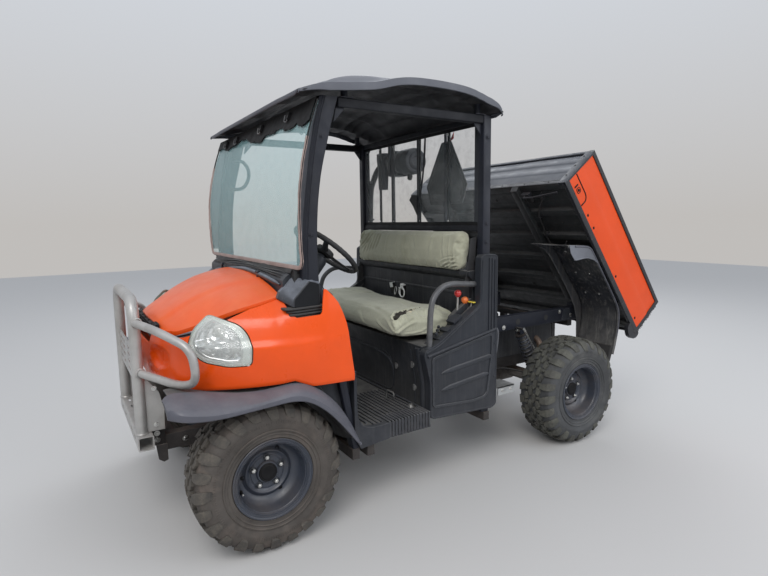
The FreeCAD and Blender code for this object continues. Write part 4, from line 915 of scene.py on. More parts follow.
RIM_OUT = [(0.1040, 0.1520), (0.1058, 0.1640), (0.1070, 0.1690), (0.1105, 0.1700), (0.1120, 0.1685), (0.1118, 0.1660), (0.1085, 0.1648),
           (0.1068, 0.1620), (0.1062, 0.1592), (0.1082, 0.1578), (0.1080, 0.1556), (0.1040, 0.1546), (0.1016, 0.1524), (0.1034, 0.1506),
           (0.1030, 0.1486), (0.0990, 0.1476), (0.0962, 0.1458), (0.0975, 0.1440), (0.0960, 0.1425), (0.0900, 0.1415), (0.0620, 0.1400),
           (0.0470, 0.1385), (0.0400, 0.1350), (0.0300, 0.1260), (0.0225, 0.1180), (0.0190, 0.1080), (0.0235, 0.0990), (0.0300, 0.0940),
           (0.0310, 0.0900), (0.0240, 0.0835), (0.0205, 0.0760), (0.0215, 0.0710), (0.0240, 0.0690), (0.0240, 0.0490), (0.0300, 0.0470),
           (0.0340, 0.0440), (0.0350, 0.0380), (0.0350, 0.0001)]
RIM_IN = [(-0.0130, 0.0001), (-0.0130, 0.0740), (0.0060, 0.0960), (0.0120, 0.1120), (-0.0200, 0.1200), (-0.0300, 0.1440), (-0.0900, 0.1450),
          (-0.1040, 0.1500), (-0.1065, 0.1640), (-0.1110, 0.1700), (-0.1120, 0.1680), (-0.1090, 0.1640), (-0.1075, 0.1540), (-0.1040, 0.1520)]


def wheel(tag, side, y, body):
    place = (side * 0.585, y, TYRE_R)
    axis = (side, 0, 0)
    g = Geo()
    g.lathe(RIM_OUT + RIM_IN, place, axis, 96, 0, closed=True)
    holes = Geo()
    for k in range(5):
        a = math.radians(72 * k + 18)
        c = Vector((0, math.cos(a), math.sin(a)))
        p = Vector(place) + c * 0.062
        # round seat, nut and stud end
        g.lathe([(0.022, 0.0165), (0.0255, 0.0160), (0.0262, 0.0125), (0.0225, 0.0105)], p, axis, 24, 1)
        g.lathe([(0.022, 0.0098), (0.0330, 0.0098), (0.0350, 0.0086), (0.0352, 0.0062), (0.0352, 0.0001)], p, axis, 6, 2)
        g.lathe([(0.0350, 0.0055), (0.0400, 0.0055), (0.0410, 0.0044), (0.0410, 0.0001)], p, axis, 12, 2)
    # hub cap with a rolled edge and a grease cap
    g.lathe([(0.0330, 0.0395), (0.0385, 0.0390), (0.0410, 0.0360), (0.0400, 0.0330), (0.0420, 0.0300), (0.0425, 0.0150), (0.0415, 0.0120),
             (0.0420, 0.0001)], place, axis, 40, 3)
    for k in range(3):                  # round vents near the edge of the disc, black discs that paint the shade of the holes
        a = math.radians(120 * k + 62)
        p = Vector(place) + Vector((0, math.cos(a), math.sin(a))) * 0.1035
        g.lathe([(0.0185, 0.0090), (0.0242, 0.0086), (0.0246, 0.0070), (0.0215, 0.0064), (0.0213, 0.0001)], p, axis, 18, 3)
    a = math.radians(205)               # valve stem
    p = Vector(place) + Vector((0, math.cos(a), math.sin(a))) * 0.1290
    g.lathe([(0.0330, 0.0075), (0.0380, 0.0062), (0.0560, 0.0048), (0.0570, 0.0001)], p, axis, 14, 3)
    g.lathe([(0.0560, 0.0040), (0.0650, 0.0040), (0.0660, 0.0001)], p, axis, 12, 2)
    ob = make("wheel_" + tag + "_rim", g, ["rim", "rim_dark", "bright", "seal"], body, angle=26, weld=False)
    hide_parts("wheel_" + tag)
    return ob


def build_wheels():
    for tag, side, y, body, tm, wm in (("front_left", 1, 0.0, "front_left_wheel", "tyre_front", "wall_front"),
                                       ("front_right", -1, 0.0, "front_right_wheel", "tyre_front", "wall_front"),
                                       ("rear_left", 1, 1.925, "rear_left_wheel", "tyre_rear", "wall_rear"),
                                       ("rear_right", -1, 1.925, "rear_right_wheel", "tyre_rear", "wall_rear")):
        tyre(tag, side, y, body, tm, wm, 1.0)
        wheel(tag, side, y, body)


# ------------------------------------------------------------------ front body
PLAN = [(0.0, -0.375), (0.10, -0.3745), (0.20, -0.371), (0.30, -0.352), (0.372, -0.328), (0.47, -0.284), (0.565, -0.180), (0.636, -0.060),
        (0.682, 0.060), (0.700, 0.200), (0.706, 0.376)]
PATH = smooth_line(PLAN, 150)
LEAN_IN = [(0.640, 0.010), (0.700, 0.0), (0.800, -0.003), (0.853, -0.004), (0.864, -0.001), (0.880, 0.010), (0.900, 0.016), (0.940, 0.029),
           (0.970, 0.045), (1.006, 0.082), (1.030, 0.112), (1.060, 0.150)]
SEAM = [(0.0, 0.897), (0.34, 0.900), (0.45, 0.950), (0.555, 1.006), (0.60, 1.030)]


def plan_at(s):
    s = min(max(s, 0.0), len(PATH) - 1.0)
    i = min(int(s), len(PATH) - 2)
    t = s - i
    p = PATH[i].lerp(PATH[i + 1], t)
    d = (PATH[min(i + 2, len(PATH) - 1)] - PATH[max(i - 1, 0)]).normalized()
    return p, Vector((d.y, -d.x))


def lean_factor(y):
    return curve1([(-0.4, 0.55), (-0.30, 0.9), (-0.2, 1.0), (0.05, 1.0), (0.16, 0.55), (0.26, 0.15), (0.38, 0.10)], y)


def shell_point(s, z, inset=0.0):
    p, n = plan_at(s)
    crease = 0.012 * (p.y + 0.05) if p.y > -0.05 else 0.0
    d = eased(LEAN_IN, z - crease * 2.0) * lean_factor(p.y)
    if p.y < -0.2:                       # the nose is plainer in its middle
        d *= curve1([(-0.37, 0.35), (-0.2, 1.0)], p.y)
    q = p - n * (d + inset)
    return Vector((q.x, q.y, z))


def side_at(y, z, inset=0.0):
    """Place on the left side shell by y and z."""
    a, b = 20.0, len(PATH) - 1.0
    for _ in range(26):
        m = (a + b) / 2
        if shell_point(m, z, inset).y < y:
            a = m
        else:
            b = m
    return shell_point(a, z, inset)


def low_edge(y):
    return curve1([(-0.40, 0.690), (-0.340, 0.684), (-0.284, 0.678), (-0.191, 0.688), (-0.06, 0.696), (0.06, 0.704), (0.108, 0.709), (0.140, 0.695), (0.188, 0.674), (0.376, 0.669)], y)


def top_edge(p):
    y = p.y
    if y > 0.101:
        return curve1([(0.101, 1.042), (0.16, 1.066), (0.235, 1.080), (0.263, 1.074), (0.290, 1.045), (0.312, 1.015), (0.332, 0.965), (0.348, 0.914),
                       (0.356, 0.86), (0.360, 0.814), (0.376, 0.700)], y)
    return curve1([(-0.38, 0.889), (-0.335, 0.890), (-0.282, 0.899), (-0.230, 0.921), (-0.181, 0.947), (-0.120, 0.978), (-0.063, 1.003), (0.02, 1.024), (0.101, 1.042)], y)


LAMP = [(-0.176, 0.985), (-0.081, 0.942), (-0.058, 0.905), (-0.052, 0.865), (-0.056, 0.793), (-0.130, 0.789), (-0.212, 0.808), (-0.247, 0.845), (-0.255, 0.875), (-0.234, 0.931)]


def cutter(name, g):
    me = bpy.data.meshes.new(name)
    me.from_pydata([placed(p, False) for p in g.v], [], g.f)
    bm = bmesh.new()
    bm.from_mesh(me)
    bmesh.ops.recalc_face_normals(bm, faces=bm.faces)
    bm.to_mesh(me)
    bm.free()
    ob = bpy.data.objects.new(name, me)
    scene.collection.objects.link(ob)
    return ob


def carved(ob, cutters):
    """Cuts solids out of a piece, bakes the result and removes the cutters."""
    for i, c in enumerate(cutters):
        b = ob.modifiers.new("cut%d" % i, "BOOLEAN")
        b.operation = "DIFFERENCE"
        b.solver = "EXACT"
        b.object = c
    baked(ob)
    for c in cutters:
        bpy.data.objects.remove(c)
    return ob


def add_bevel(ob, width, angle=35, seg=2):
    b = ob.modifiers.new("edges", "BEVEL")
    b.width = width
    b.segments = seg
    b.limit_method = "ANGLE"
    b.angle_limit = math.radians(angle)
    b.harden_normals = True
    b.use_clamp_overlap = True


def build_shell():
    g = Geo()
    cols = []
    n = len(PATH)
    s0 = 0.0
    steps = 150
    rows = 44
    outer, inner = [], []
    for k in range(steps):
        s = (n - 1.0) * k / (steps - 1)
        p, _ = plan_at(s)
        lo, hi = low_edge(p.y), top_edge(p)
        if p.x > 0.5 and 0.075 < p.y < 0.262:
            hi = min(hi, curve1([(0.075, 1.060), (0.095, 1.010), (0.128, 0.964), (0.236, 0.972), (0.262, 1.120)], p.y))
        hi = max(hi, lo + 0.02)
        zs = [lo + (hi - lo) * j / (rows - 1) for j in range(rows)]
        ins = [0.0] * rows
        # round dent in the nose corner, and the swelling lip along the lower edge
        o, i_ = [], []
        for z in zs:
            q = shell_point(s, z)
            dent = math.hypot((q.x - 0.315) / 0.085, (q.z - 0.800) / 0.052)
            push = 0.026 * (1 - min(1.0, dent) ** 4) if dent < 1 else 0.0
            edge = min(1.0, (z - lo) / 0.012)
            q = shell_point(s, z, push + 0.004 * (1 - edge) ** 2)
            o.append(q)
            i_.append(shell_point(s, z, push + 0.0055))
        cols.append((o, i_))
    full = cols[::-1][:-1]
    left = cols
    seq = [([Vector((-q.x, q.y, q.z)) for q in o], [Vector((-q.x, q.y, q.z)) for q in i_]) for o, i_ in full] + left
    rings = [o + i_[::-1] for o, i_ in seq]
    g.rings(rings, 0)
    ob = make("front_shell", g, "orange", "vehicle")
    cuts = []
    lamp = rounded(shrunk(LAMP, -0.0075), 0.022, 5)
    for s in (1, -1):
        c = Geo().prism("YZ", lamp, s * 0.40, s * 0.80)
        cuts.append(cutter("cut_lamp", c))
    c = Geo().prism("XZ", rounded([(-0.262, 0.935), (-0.235, 0.848), (0.235, 0.848), (0.262, 0.935)], 0.02), -0.50, -0.30)
    cuts.append(cutter("cut_grille", c))
    carved(ob, cuts)
    add_bevel(ob, 0.0016, 40)
    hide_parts("front_panels", "nose_panel")
    return ob


def lamp_patch(g, outline, inset, bulge, side, rings=9, mat=0, back=False):
    cy = sum(p[0] for p in outline) / len(outline)
    cz = sum(p[1] for p in outline) / len(outline)
    rows = []
    for k in range(rings):
        t = k / (rings - 1.0)
        f = 1 - t * 0.985
        row = []
        for y, z in outline:
            yy, zz = cy + (y - cy) * f, cz + (z - cz) * f
            q = side_at(yy, zz, inset - bulge * (1 - (1 - t) ** 2))
            row.append((side * q.x, q.y, q.z))
        rows.append(row)
    g.rings(rows, mat, ends=False)
    n = len(g.v)
    g.add([rows[-1][j] for j in range(len(outline))], [list(range(len(outline)))], mat)


def build_lamps():
    for side, tag in ((1, "left"), (-1, "right")):
        out = rounded(LAMP, 0.020, 5)
        # clear cover
        g = Geo()
        lamp_patch(g, out, 0.0025, 0.010, side)
        cover = make("lamp_cover_" + tag, g, "lamp", "vehicle", solid=0.0018)
        # rim band inside the cover, wider at the rear, and the lamp body behind
        g = Geo()
        inner = rounded([(y - (0.017 if y > -0.10 else 0.0), z) for y, z in shrunk(LAMP, 0.009)], 0.018, 5)
        outer = rounded(shrunk(LAMP, -0.004), 0.020, 5)
        rows = []
        for line, depth in ((outer, 0.004), (outer, 0.0075), (inner, 0.0065), (inner, 0.012), (inner, 0.030)):
            rows.append([(side * side_at(y, z, depth).x, side_at(y, z, depth).y, z) for y, z in line])
        g.rings(rows, 0, ends=False)
        make("lamp_rim_" + tag, g, "lamp_rim", "vehicle", solid=0.001)
        # reflector: a bowl with two chambers and stepped facets
        g = Geo()
        cy, cz = -0.135, 0.885
        rows = []
        for k in range(12):
            t = k / 11.0
            f = 1 - t * 0.9
            row = []
            for y, z in inner:
                yy, zz = cy + (y - cy) * f, cz + (z - cz) * f
                depth = 0.028 + 0.060 * math.sin(min(1.0, t * 1.15) * math.pi / 2) + 0.0022 * math.cos(t * 40)
                q = side_at(y, z, 0.0)
                c = side_at(cy, cz, 0.0)
                base = Vector((q.x + (c.x - q.x) * (1 - f), yy, zz))
                row.append((side * (base.x - depth), base.y + depth * 0.25, base.z))
            rows.append(row)
        g.rings(rows, 0, ends=False)
        g.add([rows[-1][j] for j in range(len(inner))], [list(range(len(inner)))], 0)
        # shelf across the lamp, bulbs
        c = side_at(cy, cz, 0.05)
        g.box(*sorted((side * (c.x - 0.012), side * (c.x + 0.026))), -0.235, -0.075, 0.861, 0.866, 1)
        for yy, zz, r in ((-0.150, 0.905, 0.026), (-0.115, 0.835, 0.019)):
            q = side_at(yy, zz, 0.060)
            n = Vector((side * 0.85, -0.5, 0.1)).normalized()
            g.lathe([(0.0, r * 0.5), (0.010, r), (0.0115, r), (0.004, r * 0.4), (0.004, 0.0001)], (side * q.x, q.y, q.z), n, 28, 0)
            g.lathe([(0.0, r * 0.34), (0.022, r * 0.34), (0.028, r * 0.22), (0.029, 0.0001)], (side * q.x, q.y, q.z), n, 20, 1)
        body = make("lamp_reflector_" + tag, g, ["reflector", "lamp_body"], "vehicle", solid=0.0012)
        if side > 0:
            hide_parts("headlights")


def hood_edge(y):
    x = curve1([(-0.345, 0.262), (-0.325, 0.296), (-0.282, 0.352), (-0.181, 0.452), (-0.120, 0.505), (-0.063, 0.551), (0.02, 0.566), (0.101, 0.572)], y)
    z = curve1([(-0.345, 0.905), (-0.282, 0.9085), (-0.230, 0.929), (-0.181, 0.9545), (-0.120, 0.985), (-0.063, 1.0105), (0.02, 1.0305), (0.101, 1.0475)], y)
    return x, z


def hood_top(t, y):
    """Height of the hood, t from 0 in the middle to 1 at the seam."""
    x_e, z_e = hood_edge(y)
    z0 = eased([(-0.345, 0.932), (-0.319, 0.955), (-0.257, 0.992), (-0.186, 1.0335), (-0.091, 1.0745), (0.018, 1.1055), (0.104, 1.1225)], y)
    body = 1 - abs(t) ** 2.35
    z = z_e + (z0 - z_e) * body
    x = abs(t) * x_e
    w = curve1([(-0.345, 0.205), (-0.2, 0.235), (0.104, 0.330)], y)
    k = min(1.0, max(0.0, (w + 0.016 - x) / 0.032))
    k = k * k * (3 - 2 * k)
    z += 0.0055 * (k - 0.5) * curve1([(-0.345, 1.4), (-0.1, 1.0), (0.06, 0.55), (0.104, 0.2)], y)
    # shallow pressed dip near the right rear of the middle
    d = math.hypot((t * x_e + 0.16) / 0.15, (y - 0.035) / 0.055)
    if d < 1:
        z -= 0.0035 * (1 - d * d) ** 2
    return x_e * t, z


def build_hood():
    g = Geo()
    rows = []
    ys = [-0.345 + (0.104 + 0.345) * (k / 41.0) for k in range(42)]
    n = 61
    for y in ys:
        row = []
        for j in range(n):
            t = -1 + 2.0 * j / (n - 1)
            x, z = hood_top(t, y)
            yy = y
            if y < -0.25:                 # front edge bows and rises in the middle
                yy = y + 0.020 * abs(t) ** 2 * (-0.25 - y) / 0.095
            row.append(Vector((x, yy, z)))
        rows.append(row)
    # rolled front lip and down-turned sides
    lip = []
    first = rows[0]
    for dy, dz in ((0.001, -0.006), (0.004, -0.014), (0.012, -0.020)):
        lip.append([Vector((p.x * (1 - dy * 0.4), p.y + dy, p.z + dz)) for p in first])
    rows = lip[::-1] + rows
    for row in rows[3:]:
        pass
    out = []
    for row in rows:
        a, b = row[0], row[-1]
        left = [Vector((a.x + 0.0025, a.y, a.z - 0.018)), Vector((a.x, a.y, a.z - 0.008))]
        right = [Vector((b.x, b.y, b.z - 0.008)), Vector((b.x - 0.0025, b.y, b.z - 0.018))]
        out.append(left + row + right)
    g.rings(out, 0, close=False, ends=False)
    ob = make("hood_panel", g, "hood_orange", "hood", solid=0.004)
    baked(ob)
    add_bevel(ob, 0.0014, 40)
    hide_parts("hood")
    # hinge lugs, inner ribs and the prop under the hood
    g = Geo()
    for s in (1, -1):
        g.lathe([(-0.020, 0.0001), (-0.020, 0.0068), (0.020, 0.0068), (0.020, 0.0001)], (s * 0.300, 0.100, 1.1275), (1, 0, 0), 18, 0)
        g.box(s * 0.300 - 0.006, s * 0.300 + 0.006, 0.0945, 0.1055, 1.092, 1.1275, 0)
        g.tube([(s * 0.10, -0.24, 0.955), (s * 0.24, -0.10, 1.015), (s * 0.38, 0.07, 1.035)], 0.008, 8, 0)
    g.box(-0.40, 0.40, 0.060, 0.085, 1.030, 1.046, 0)
    g.tube([(-0.09, -0.318, 0.905), (-0.03, -0.322, 0.894), (0.03, -0.322, 0.894), (0.09, -0.318, 0.905)], 0.005, 10, 0)
    make("hood_hinges", g, "frame", "hood", bevel=0.001)


def build_grille():
    g = Geo()
    # back plate, louvres, upright bars
    g.prism("XZ", rounded([(-0.262, 0.928), (-0.236, 0.848), (0.236, 0.848), (0.262, 0.928)], 0.012), -0.3335, -0.327, 0)
    for k in range(5):
        z = 0.858 + 0.0145 * k
        w = 0.236 + 0.0045 * k
        g.prism("YZ", [(-0.352, z), (-0.3335, z + 0.007), (-0.3335, z + 0.0095), (-0.354, z + 0.0025)], -w, w, 0)
    for x in (-0.18, -0.09, 0.0, 0.09, 0.18):
        g.box(x - 0.003, x + 0.003, -0.350, -0.3335, 0.852, 0.924, 0)
    # horn seen behind
    g.lathe([(0.0, 0.030), (0.014, 0.030), (0.020, 0.022), (0.020, 0.0001)], (0.16, -0.3335, 0.885), (0, -1, 0), 24, 0)
    ob = make("grille_slats", g, "seal", "vehicle", bevel=0.0008)
    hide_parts("grille")
    # dark vent strip under the front edge of the hood
    g = Geo()
    g.prism("YZ", [(-0.345, 0.897), (-0.330, 0.905), (-0.330, 0.925), (-0.336, 0.926)], -0.235, 0.235, 0)
    make("vent_strip", g, "plastic", "vehicle", bevel=0.001)


def build_flares():
    top = [(-0.358, 0.728, 0.62), (-0.300, 0.742, 0.62), (-0.230, 0.744, 0.62), (-0.060, 0.738, 0.62), (0.070, 0.730, 0.66), (0.160, 0.700, 0.68),
           (0.250, 0.640, 0.69), (0.330, 0.545, 0.69), (0.372, 0.470, 0.69), (0.392, 0.385, 0.69)]
    # section rows along the flare: inner top edge, shoulder, outer fold, lip, inner return
    stations = [  # y, inner x, inner z, shoulder drop, outer x, outer z top, outer z low
        (-0.388, 0.600, 0.702, 0.700, 0.706, 0.688, 0.655),
        (-0.378, 0.590, 0.708, 0.706, 0.722, 0.694, 0.655),
        (-0.345, 0.572, 0.712, 0.709, 0.748, 0.683, 0.650),
        (-0.300, 0.566, 0.706, 0.702, 0.757, 0.674, 0.643),
        (-0.250, 0.566, 0.700, 0.696, 0.7585, 0.665, 0.638),
        (-0.180, 0.590, 0.690, 0.687, 0.7590, 0.661, 0.637),
        (-0.100, 0.625, 0.684, 0.681, 0.7590, 0.664, 0.641),
        (-0.020, 0.650, 0.686, 0.683, 0.7590, 0.670, 0.645),
        (0.050, 0.664, 0.694, 0.691, 0.7590, 0.676, 0.648),
        (0.090, 0.668, 0.699, 0.696, 0.7590, 0.675, 0.645),
        (0.140, 0.670, 0.694, 0.690, 0.7585, 0.658, 0.630),
        (0.190, 0.670, 0.670, 0.666, 0.7580, 0.628, 0.598),
        (0.240, 0.668, 0.634, 0.630, 0.7560, 0.585, 0.552),
        (0.290, 0.666, 0.583, 0.579, 0.7530, 0.532, 0.494),
        (0.335, 0.664, 0.520, 0.517, 0.7480, 0.472, 0.438),
        (0.365, 0.662, 0.460, 0.457, 0.7420, 0.424, 0.400),
        (0.385, 0.660, 0.402, 0.400, 0.7350, 0.390, 0.386)]
    g = Geo()
    keys = list(zip(*stations))
    fine = []
    t_keys = [0.0]
    for a, b in zip(stations, stations[1:]):
        t_keys.append(t_keys[-1] + math.hypot(b[0] - a[0], b[5] - a[5]))
    for k in range(64):
        t = t_keys[-1] * k / 63.0
        fine.append([eased(list(zip(t_keys, keys[c])), t) for c in range(7)])
    rows = []
    for y, xi, zi, zs, xo, zo, zl in fine:
        # direction of the arch here, so that the lip stands square to it
        # width of the flare at this station
        w = xo - xi
        rows.append([Vector((xi, y, zi - 0.010)), Vector((xi + 0.004, y, zi)), Vector((xi + w * 0.30, y, zi * 0.86 + zs * 0.14 - 0.001)),
                     Vector((xi + w * 0.62, y, zi + (zo - zi) * 0.30)), Vector((xi + w * 0.86, y, zi + (zo - zi) * 0.66)),
                     Vector((xo - 0.006, y, zo + 0.002)), Vector((xo, y, zo - 0.006)), Vector((xo + 0.0005, y, (zo + zl) / 2)),
                     Vector((xo, y, zl + 0.004)), Vector((xo - 0.004, y, zl)), Vector((xo - 0.010, y, zl + 0.002)), Vector((xo - 0.011, y, zl + 0.010))])
    g.rings(rows, 0, close=False, ends=False)
    # front end cap
    r0 = rows[0]
    g.add([tuple(p) for p in r0] + [(r0[0].x, r0[0].y + 0.02, 0.66)], [list(range(len(r0))) + [len(r0)]], 0)
    g.mirror()
    ob = make("flares_front", g, "flare", "vehicle", solid=0.0045)
    baked(ob)
    add_bevel(ob, 0.002, 40)
    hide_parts("front_flares")
    # inner wheel-house lining
    g = Geo()
    rows = []
    for y, xi, zi, zs, xo, zo, zl in fine[2:]:
        k = 0.004 + 0.046 * min(1.0, max(0.0, (y - 0.05) / 0.12))
        rows.append([Vector((0.470, y, zi - 0.012 - k)), Vector((0.56, y, zi - 0.012 - 0.7 * k)), Vector((xi + 0.002, y, zi - 0.014)), Vector((xi + 0.002, y, zi - 0.009)),
                     Vector((0.56, y, zi - 0.006 - 0.7 * k)), Vector((0.470, y, zi - 0.006 - k))])
    g.rings(rows, 0)
    g.mirror()
    make("wheelhouse_lining", g, "plastic_low", "vehicle", bevel=0.001)


def build_guard_all():
    GX, GY, GB, GT = 0.290, -0.430, 0.471, 1.042
    g = Geo()
    g.tube(soft([(-GX, GY, GB), (-GX, GY, GT), (GX, GY, GT), (GX, GY, GB)], 0.095, 12), 0.0238, 28, 0)
    ob = make("guard_hoop", g, "guard", "vehicle", angle=40)
    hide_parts("front_guard")
    # plate between the posts
    g = Geo().box(-0.275, 0.275, -0.438, -0.432, 0.682, 0.832)
    plate = make("guard_plate", g, "guard", "vehicle")
    cuts = []
    for x0, x1 in ((-0.235, -0.155), (-0.125, -0.045), (0.045, 0.125), (0.155, 0.235)):
        for z in (0.712, 0.745, 0.778, 0.806):
            c = Geo().prism("XZ", rounded([(x0, z - 0.006), (x1, z - 0.006), (x1, z + 0.006), (x0, z + 0.006)], 0.006, 4), -0.46, -0.41)
            cuts.append(cutter("cut_slot", c))
    carved(plate, cuts)
    add_bevel(plate, 0.0012)
    # bottom channel with slots in its front and top, feet and gussets
    g = Geo().prism("YZ", rounded([(-0.452, 0.409), (-0.389, 0.409), (-0.389, 0.471), (-0.452, 0.471)], 0.007), -0.335, 0.335)
    ch = make("guard_channel", g, "guard", "vehicle")
    cuts = [cutter("cut_in", Geo().prism("YZ", rounded([(-0.4465, 0.4145), (-0.3945, 0.4145), (-0.3945, 0.4655), (-0.4465, 0.4655)], 0.005), -0.36, 0.36))]
    for x in (-0.22, -0.11, 0.11, 0.22):
        cuts.append(cutter("cut_a", Geo().prism("XZ", rounded([(x - 0.026, 0.433), (x + 0.026, 0.433), (x + 0.026, 0.447), (x - 0.026, 0.447)], 0.007, 4), -0.47, -0.43)))
        cuts.append(cutter("cut_b", Geo().prism("XY", rounded([(x - 0.020, -0.427), (x + 0.020, -0.427), (x + 0.020, -0.415), (x - 0.020, -0.415)], 0.006, 4), 0.46, 0.49)))
    for x in (-0.31, 0.31):
        for y in (-0.436, -0.405):
            cuts.append(cutter("cut_c", Geo().lathe([(-0.02, 0.0001), (-0.02, 0.005), (0.02, 0.005), (0.02, 0.0001)], (x, y, 0.47), (0, 0, 1), 14)))
    carved(ch, cuts)
    add_bevel(ch, 0.0012)
    g = Geo()
    for s in (1, -1):
        # weld collar at the foot of each post, ring where the loop meets it
        g.lathe([(0, 0.0238), (0.001, 0.0275), (0.004, 0.0265), (0.008, 0.0238)], (s * GX, GY, 0.4705), (0, 0, 1), 28, 0)
        # gusset behind the post
        x0, x1 = sorted((s * 0.286, s * 0.292))
        g.prism("YZ", [(-0.408, 0.473), (-0.340, 0.473), (-0.336, 0.560), (-0.352, 0.640), (-0.395, 0.700), (-0.408, 0.700)], x0, x1, 0)
        xa, xb = sorted((s * 0.262, s * 0.292))
        g.prism("YZ", [(-0.345, 0.473), (-0.338, 0.473), (-0.336, 0.560), (-0.343, 0.600)], xa, xb, 0)
        # mounting arm to the frame
        a, b = sorted((s * 0.210, s * 0.240))
        g.box(a, b, -0.388, -0.331, 0.386, 0.462, 1)
        g.prism("YZ", [(-0.380, 0.409), (-0.334, 0.409), (-0.334, 0.336), (-0.352, 0.330), (-0.372, 0.345)], s * 0.296 if s > 0 else s * 0.302, s * 0.302 if s > 0 else s * 0.296, 1)
        for z in (0.50, 0.66):
            g.bolt((s * 0.2925, -0.372, z), (s, 0, 0), 0.007, 0.006, 2)
        for y, z in ((-0.365, 0.44), (-0.365, 0.41)):
            g.bolt((s * 0.2405, y, z), (s, 0, 0), 0.008, 0.006, 2)
    make("guard_brackets", g, ["guard", "chassis", "bright"], "vehicle", bevel=0.0012)
    g = Geo()
    for s in (1, -1):
        pts = [(s * 0.308, -0.428, 0.951), (s * 0.480, -0.372, 0.940), (s * 0.606, -0.272, 0.880), (s * 0.606, -0.258, 0.745),
               (s * 0.500, -0.300, 0.712), (s * 0.308, -0.422, 0.738)]
        pts = [Vector(p) for p in pts]
        line = smooth_loop(pts)
        g.tube(line, 0.0165, 22, 0)
        for z in (0.951, 0.738):
            y = GY + 0.002
            d = Vector((s, 0.3, 0)).normalized()
            g.lathe([(0.016, 0.0165), (0.018, 0.0225), (0.026, 0.0225), (0.028, 0.0165)], Vector((s * GX, y, z)), d, 22, 0)
    loops = make("guard_loops", g, "guard", "vehicle", angle=40)
    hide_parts("guard_side_loops")


def smooth_loop(pts):
    out = soft(pts, 0.060, 9)
    return out


# ------------------------------------------------------------------ cab floor, bench base, side panels
FLOOR_Z = 0.400


def build_floor():
    g = Geo()
    g.prism("YZ", [(0.200, 0.684), (0.213, 0.696), (0.398, FLOOR_Z), (0.836, FLOOR_Z), (0.836, FLOOR_Z - 0.020), (0.386, FLOOR_Z - 0.020)], -0.640, 0.640)
    ob = make("floor_pan", g, "plastic_low", "vehicle", bevel=0.004)
    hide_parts("cab_floor")
    g = Geo()
    # tread ribs across the floor
    k = 0
    y = 0.452
    while y < 0.815:
        for s in (1, -1):
            x1 = 0.640 if y > 0.50 else 0.600
            g.prism("XZ", [(s * 0.180, FLOOR_Z - 0.001), (s * (x1 - 0.02), FLOOR_Z - 0.001), (s * (x1 - 0.028), FLOOR_Z + 0.0075), (s * 0.186, FLOOR_Z + 0.0075)],
                    y, y + 0.0085)
        y += 0.0235
        k += 1
    make("floor_ribs", g, "plastic_worn", "vehicle", bevel=0.0016, seg=1)
    # toe board ribs
    g = Geo()
    for k in range(9):
        t = k / 9.0
        y0, z0 = 0.392 - 0.150 * t, 0.410 + 0.240 * t
        for s in (1, -1):
            xa, xb = sorted((s * 0.060, s * 0.560))
            g.prism("YZ", [(y0, z0), (y0 + 0.007, z0 + 0.003), (y0 + 0.003, z0 + 0.010), (y0 - 0.005, z0 + 0.008)], xa, xb)
    make("toe_ribs", g, "plastic_low", "vehicle", bevel=0.001, seg=1)
    # outer step with upright ribs on its face and rounded ends
    for s, tag in ((1, "left"), (-1, "right")):
        g = Geo()
        body = rounded([(0.575, 0.336), (0.823, 0.336), (0.823, 0.416), (0.575, 0.409)], 0.008)
        g.prism("YZ", body, *sorted((s * 0.560, s * 0.6485)))
        n = 14
        for k in range(n):
            y = 0.588 + (0.818 - 0.588) * k / (n - 1.0)
            g.prism("YZ", [(y - 0.0048, 0.338), (y + 0.0048, 0.338), (y + 0.0048, 0.4185), (y - 0.0048, 0.4175)], *sorted((s * 0.630, s * 0.6545)))
            g.prism("YZ", [(y - 0.0048, 0.408), (y + 0.0048, 0.408), (y + 0.0048, 0.4195), (y - 0.0048, 0.4185)], *sorted((s * 0.560, s * 0.652)))
        make("step_" + tag, g, "plastic_worn", "vehicle", bevel=0.002)
        # skirt between the flare and the step, its upper corner rounded
        line = [(0.399, 0.690), (0.411, 0.690), (0.4125, 0.500), (0.418, 0.462), (0.434, 0.432), (0.470, 0.412), (0.520, 0.406), (0.585, 0.409), (0.585, 0.336),
                (0.430, 0.322), (0.399, 0.383)]
        g = Geo().prism("YZ", line, *sorted((s * 0.612, s * 0.6535)))
        rim = [(0.4085, 0.690), (0.4125, 0.500), (0.418, 0.462), (0.434, 0.432), (0.470, 0.412), (0.520, 0.406), (0.585, 0.409)]
        g.tube([(s * 0.650, y, z + 0.001) for y, z in smooth2(rim, 30)], 0.0048, 8)
        make("skirt_" + tag, g, "plastic", "vehicle", bevel=0.005, seg=3)
        # dark panel between the flare and the skirt
        kick = [(0.190, 0.702), (0.412, 0.702), (0.4125, 0.500), (0.412, 0.395), (0.392, 0.395), (0.362, 0.455), (0.325, 0.520), (0.275, 0.590), (0.215, 0.650)]
        g = Geo().prism("YZ", kick, *sorted((s * 0.6060, s * 0.6110)))
        make("kick_panel_" + tag, g, "plastic", "vehicle", bevel=0.002)


def smooth2(points, n):
    return [(p[0], p[1]) for p in smooth_line([(a, b) for a, b in points], n)]


def frame_band(g, outer, inner, x0, x1, mat=0):
    """Flat band between two outlines of equal count, from x0 to x1."""
    n = len(outer)
    rings = []
    for x, line in ((x0, outer), (x1, outer), (x1, inner), (x0, inner)):
        rings.append([(x, y, z) for y, z in line])
    g.rings(rings, mat, ends=False, loop=True)


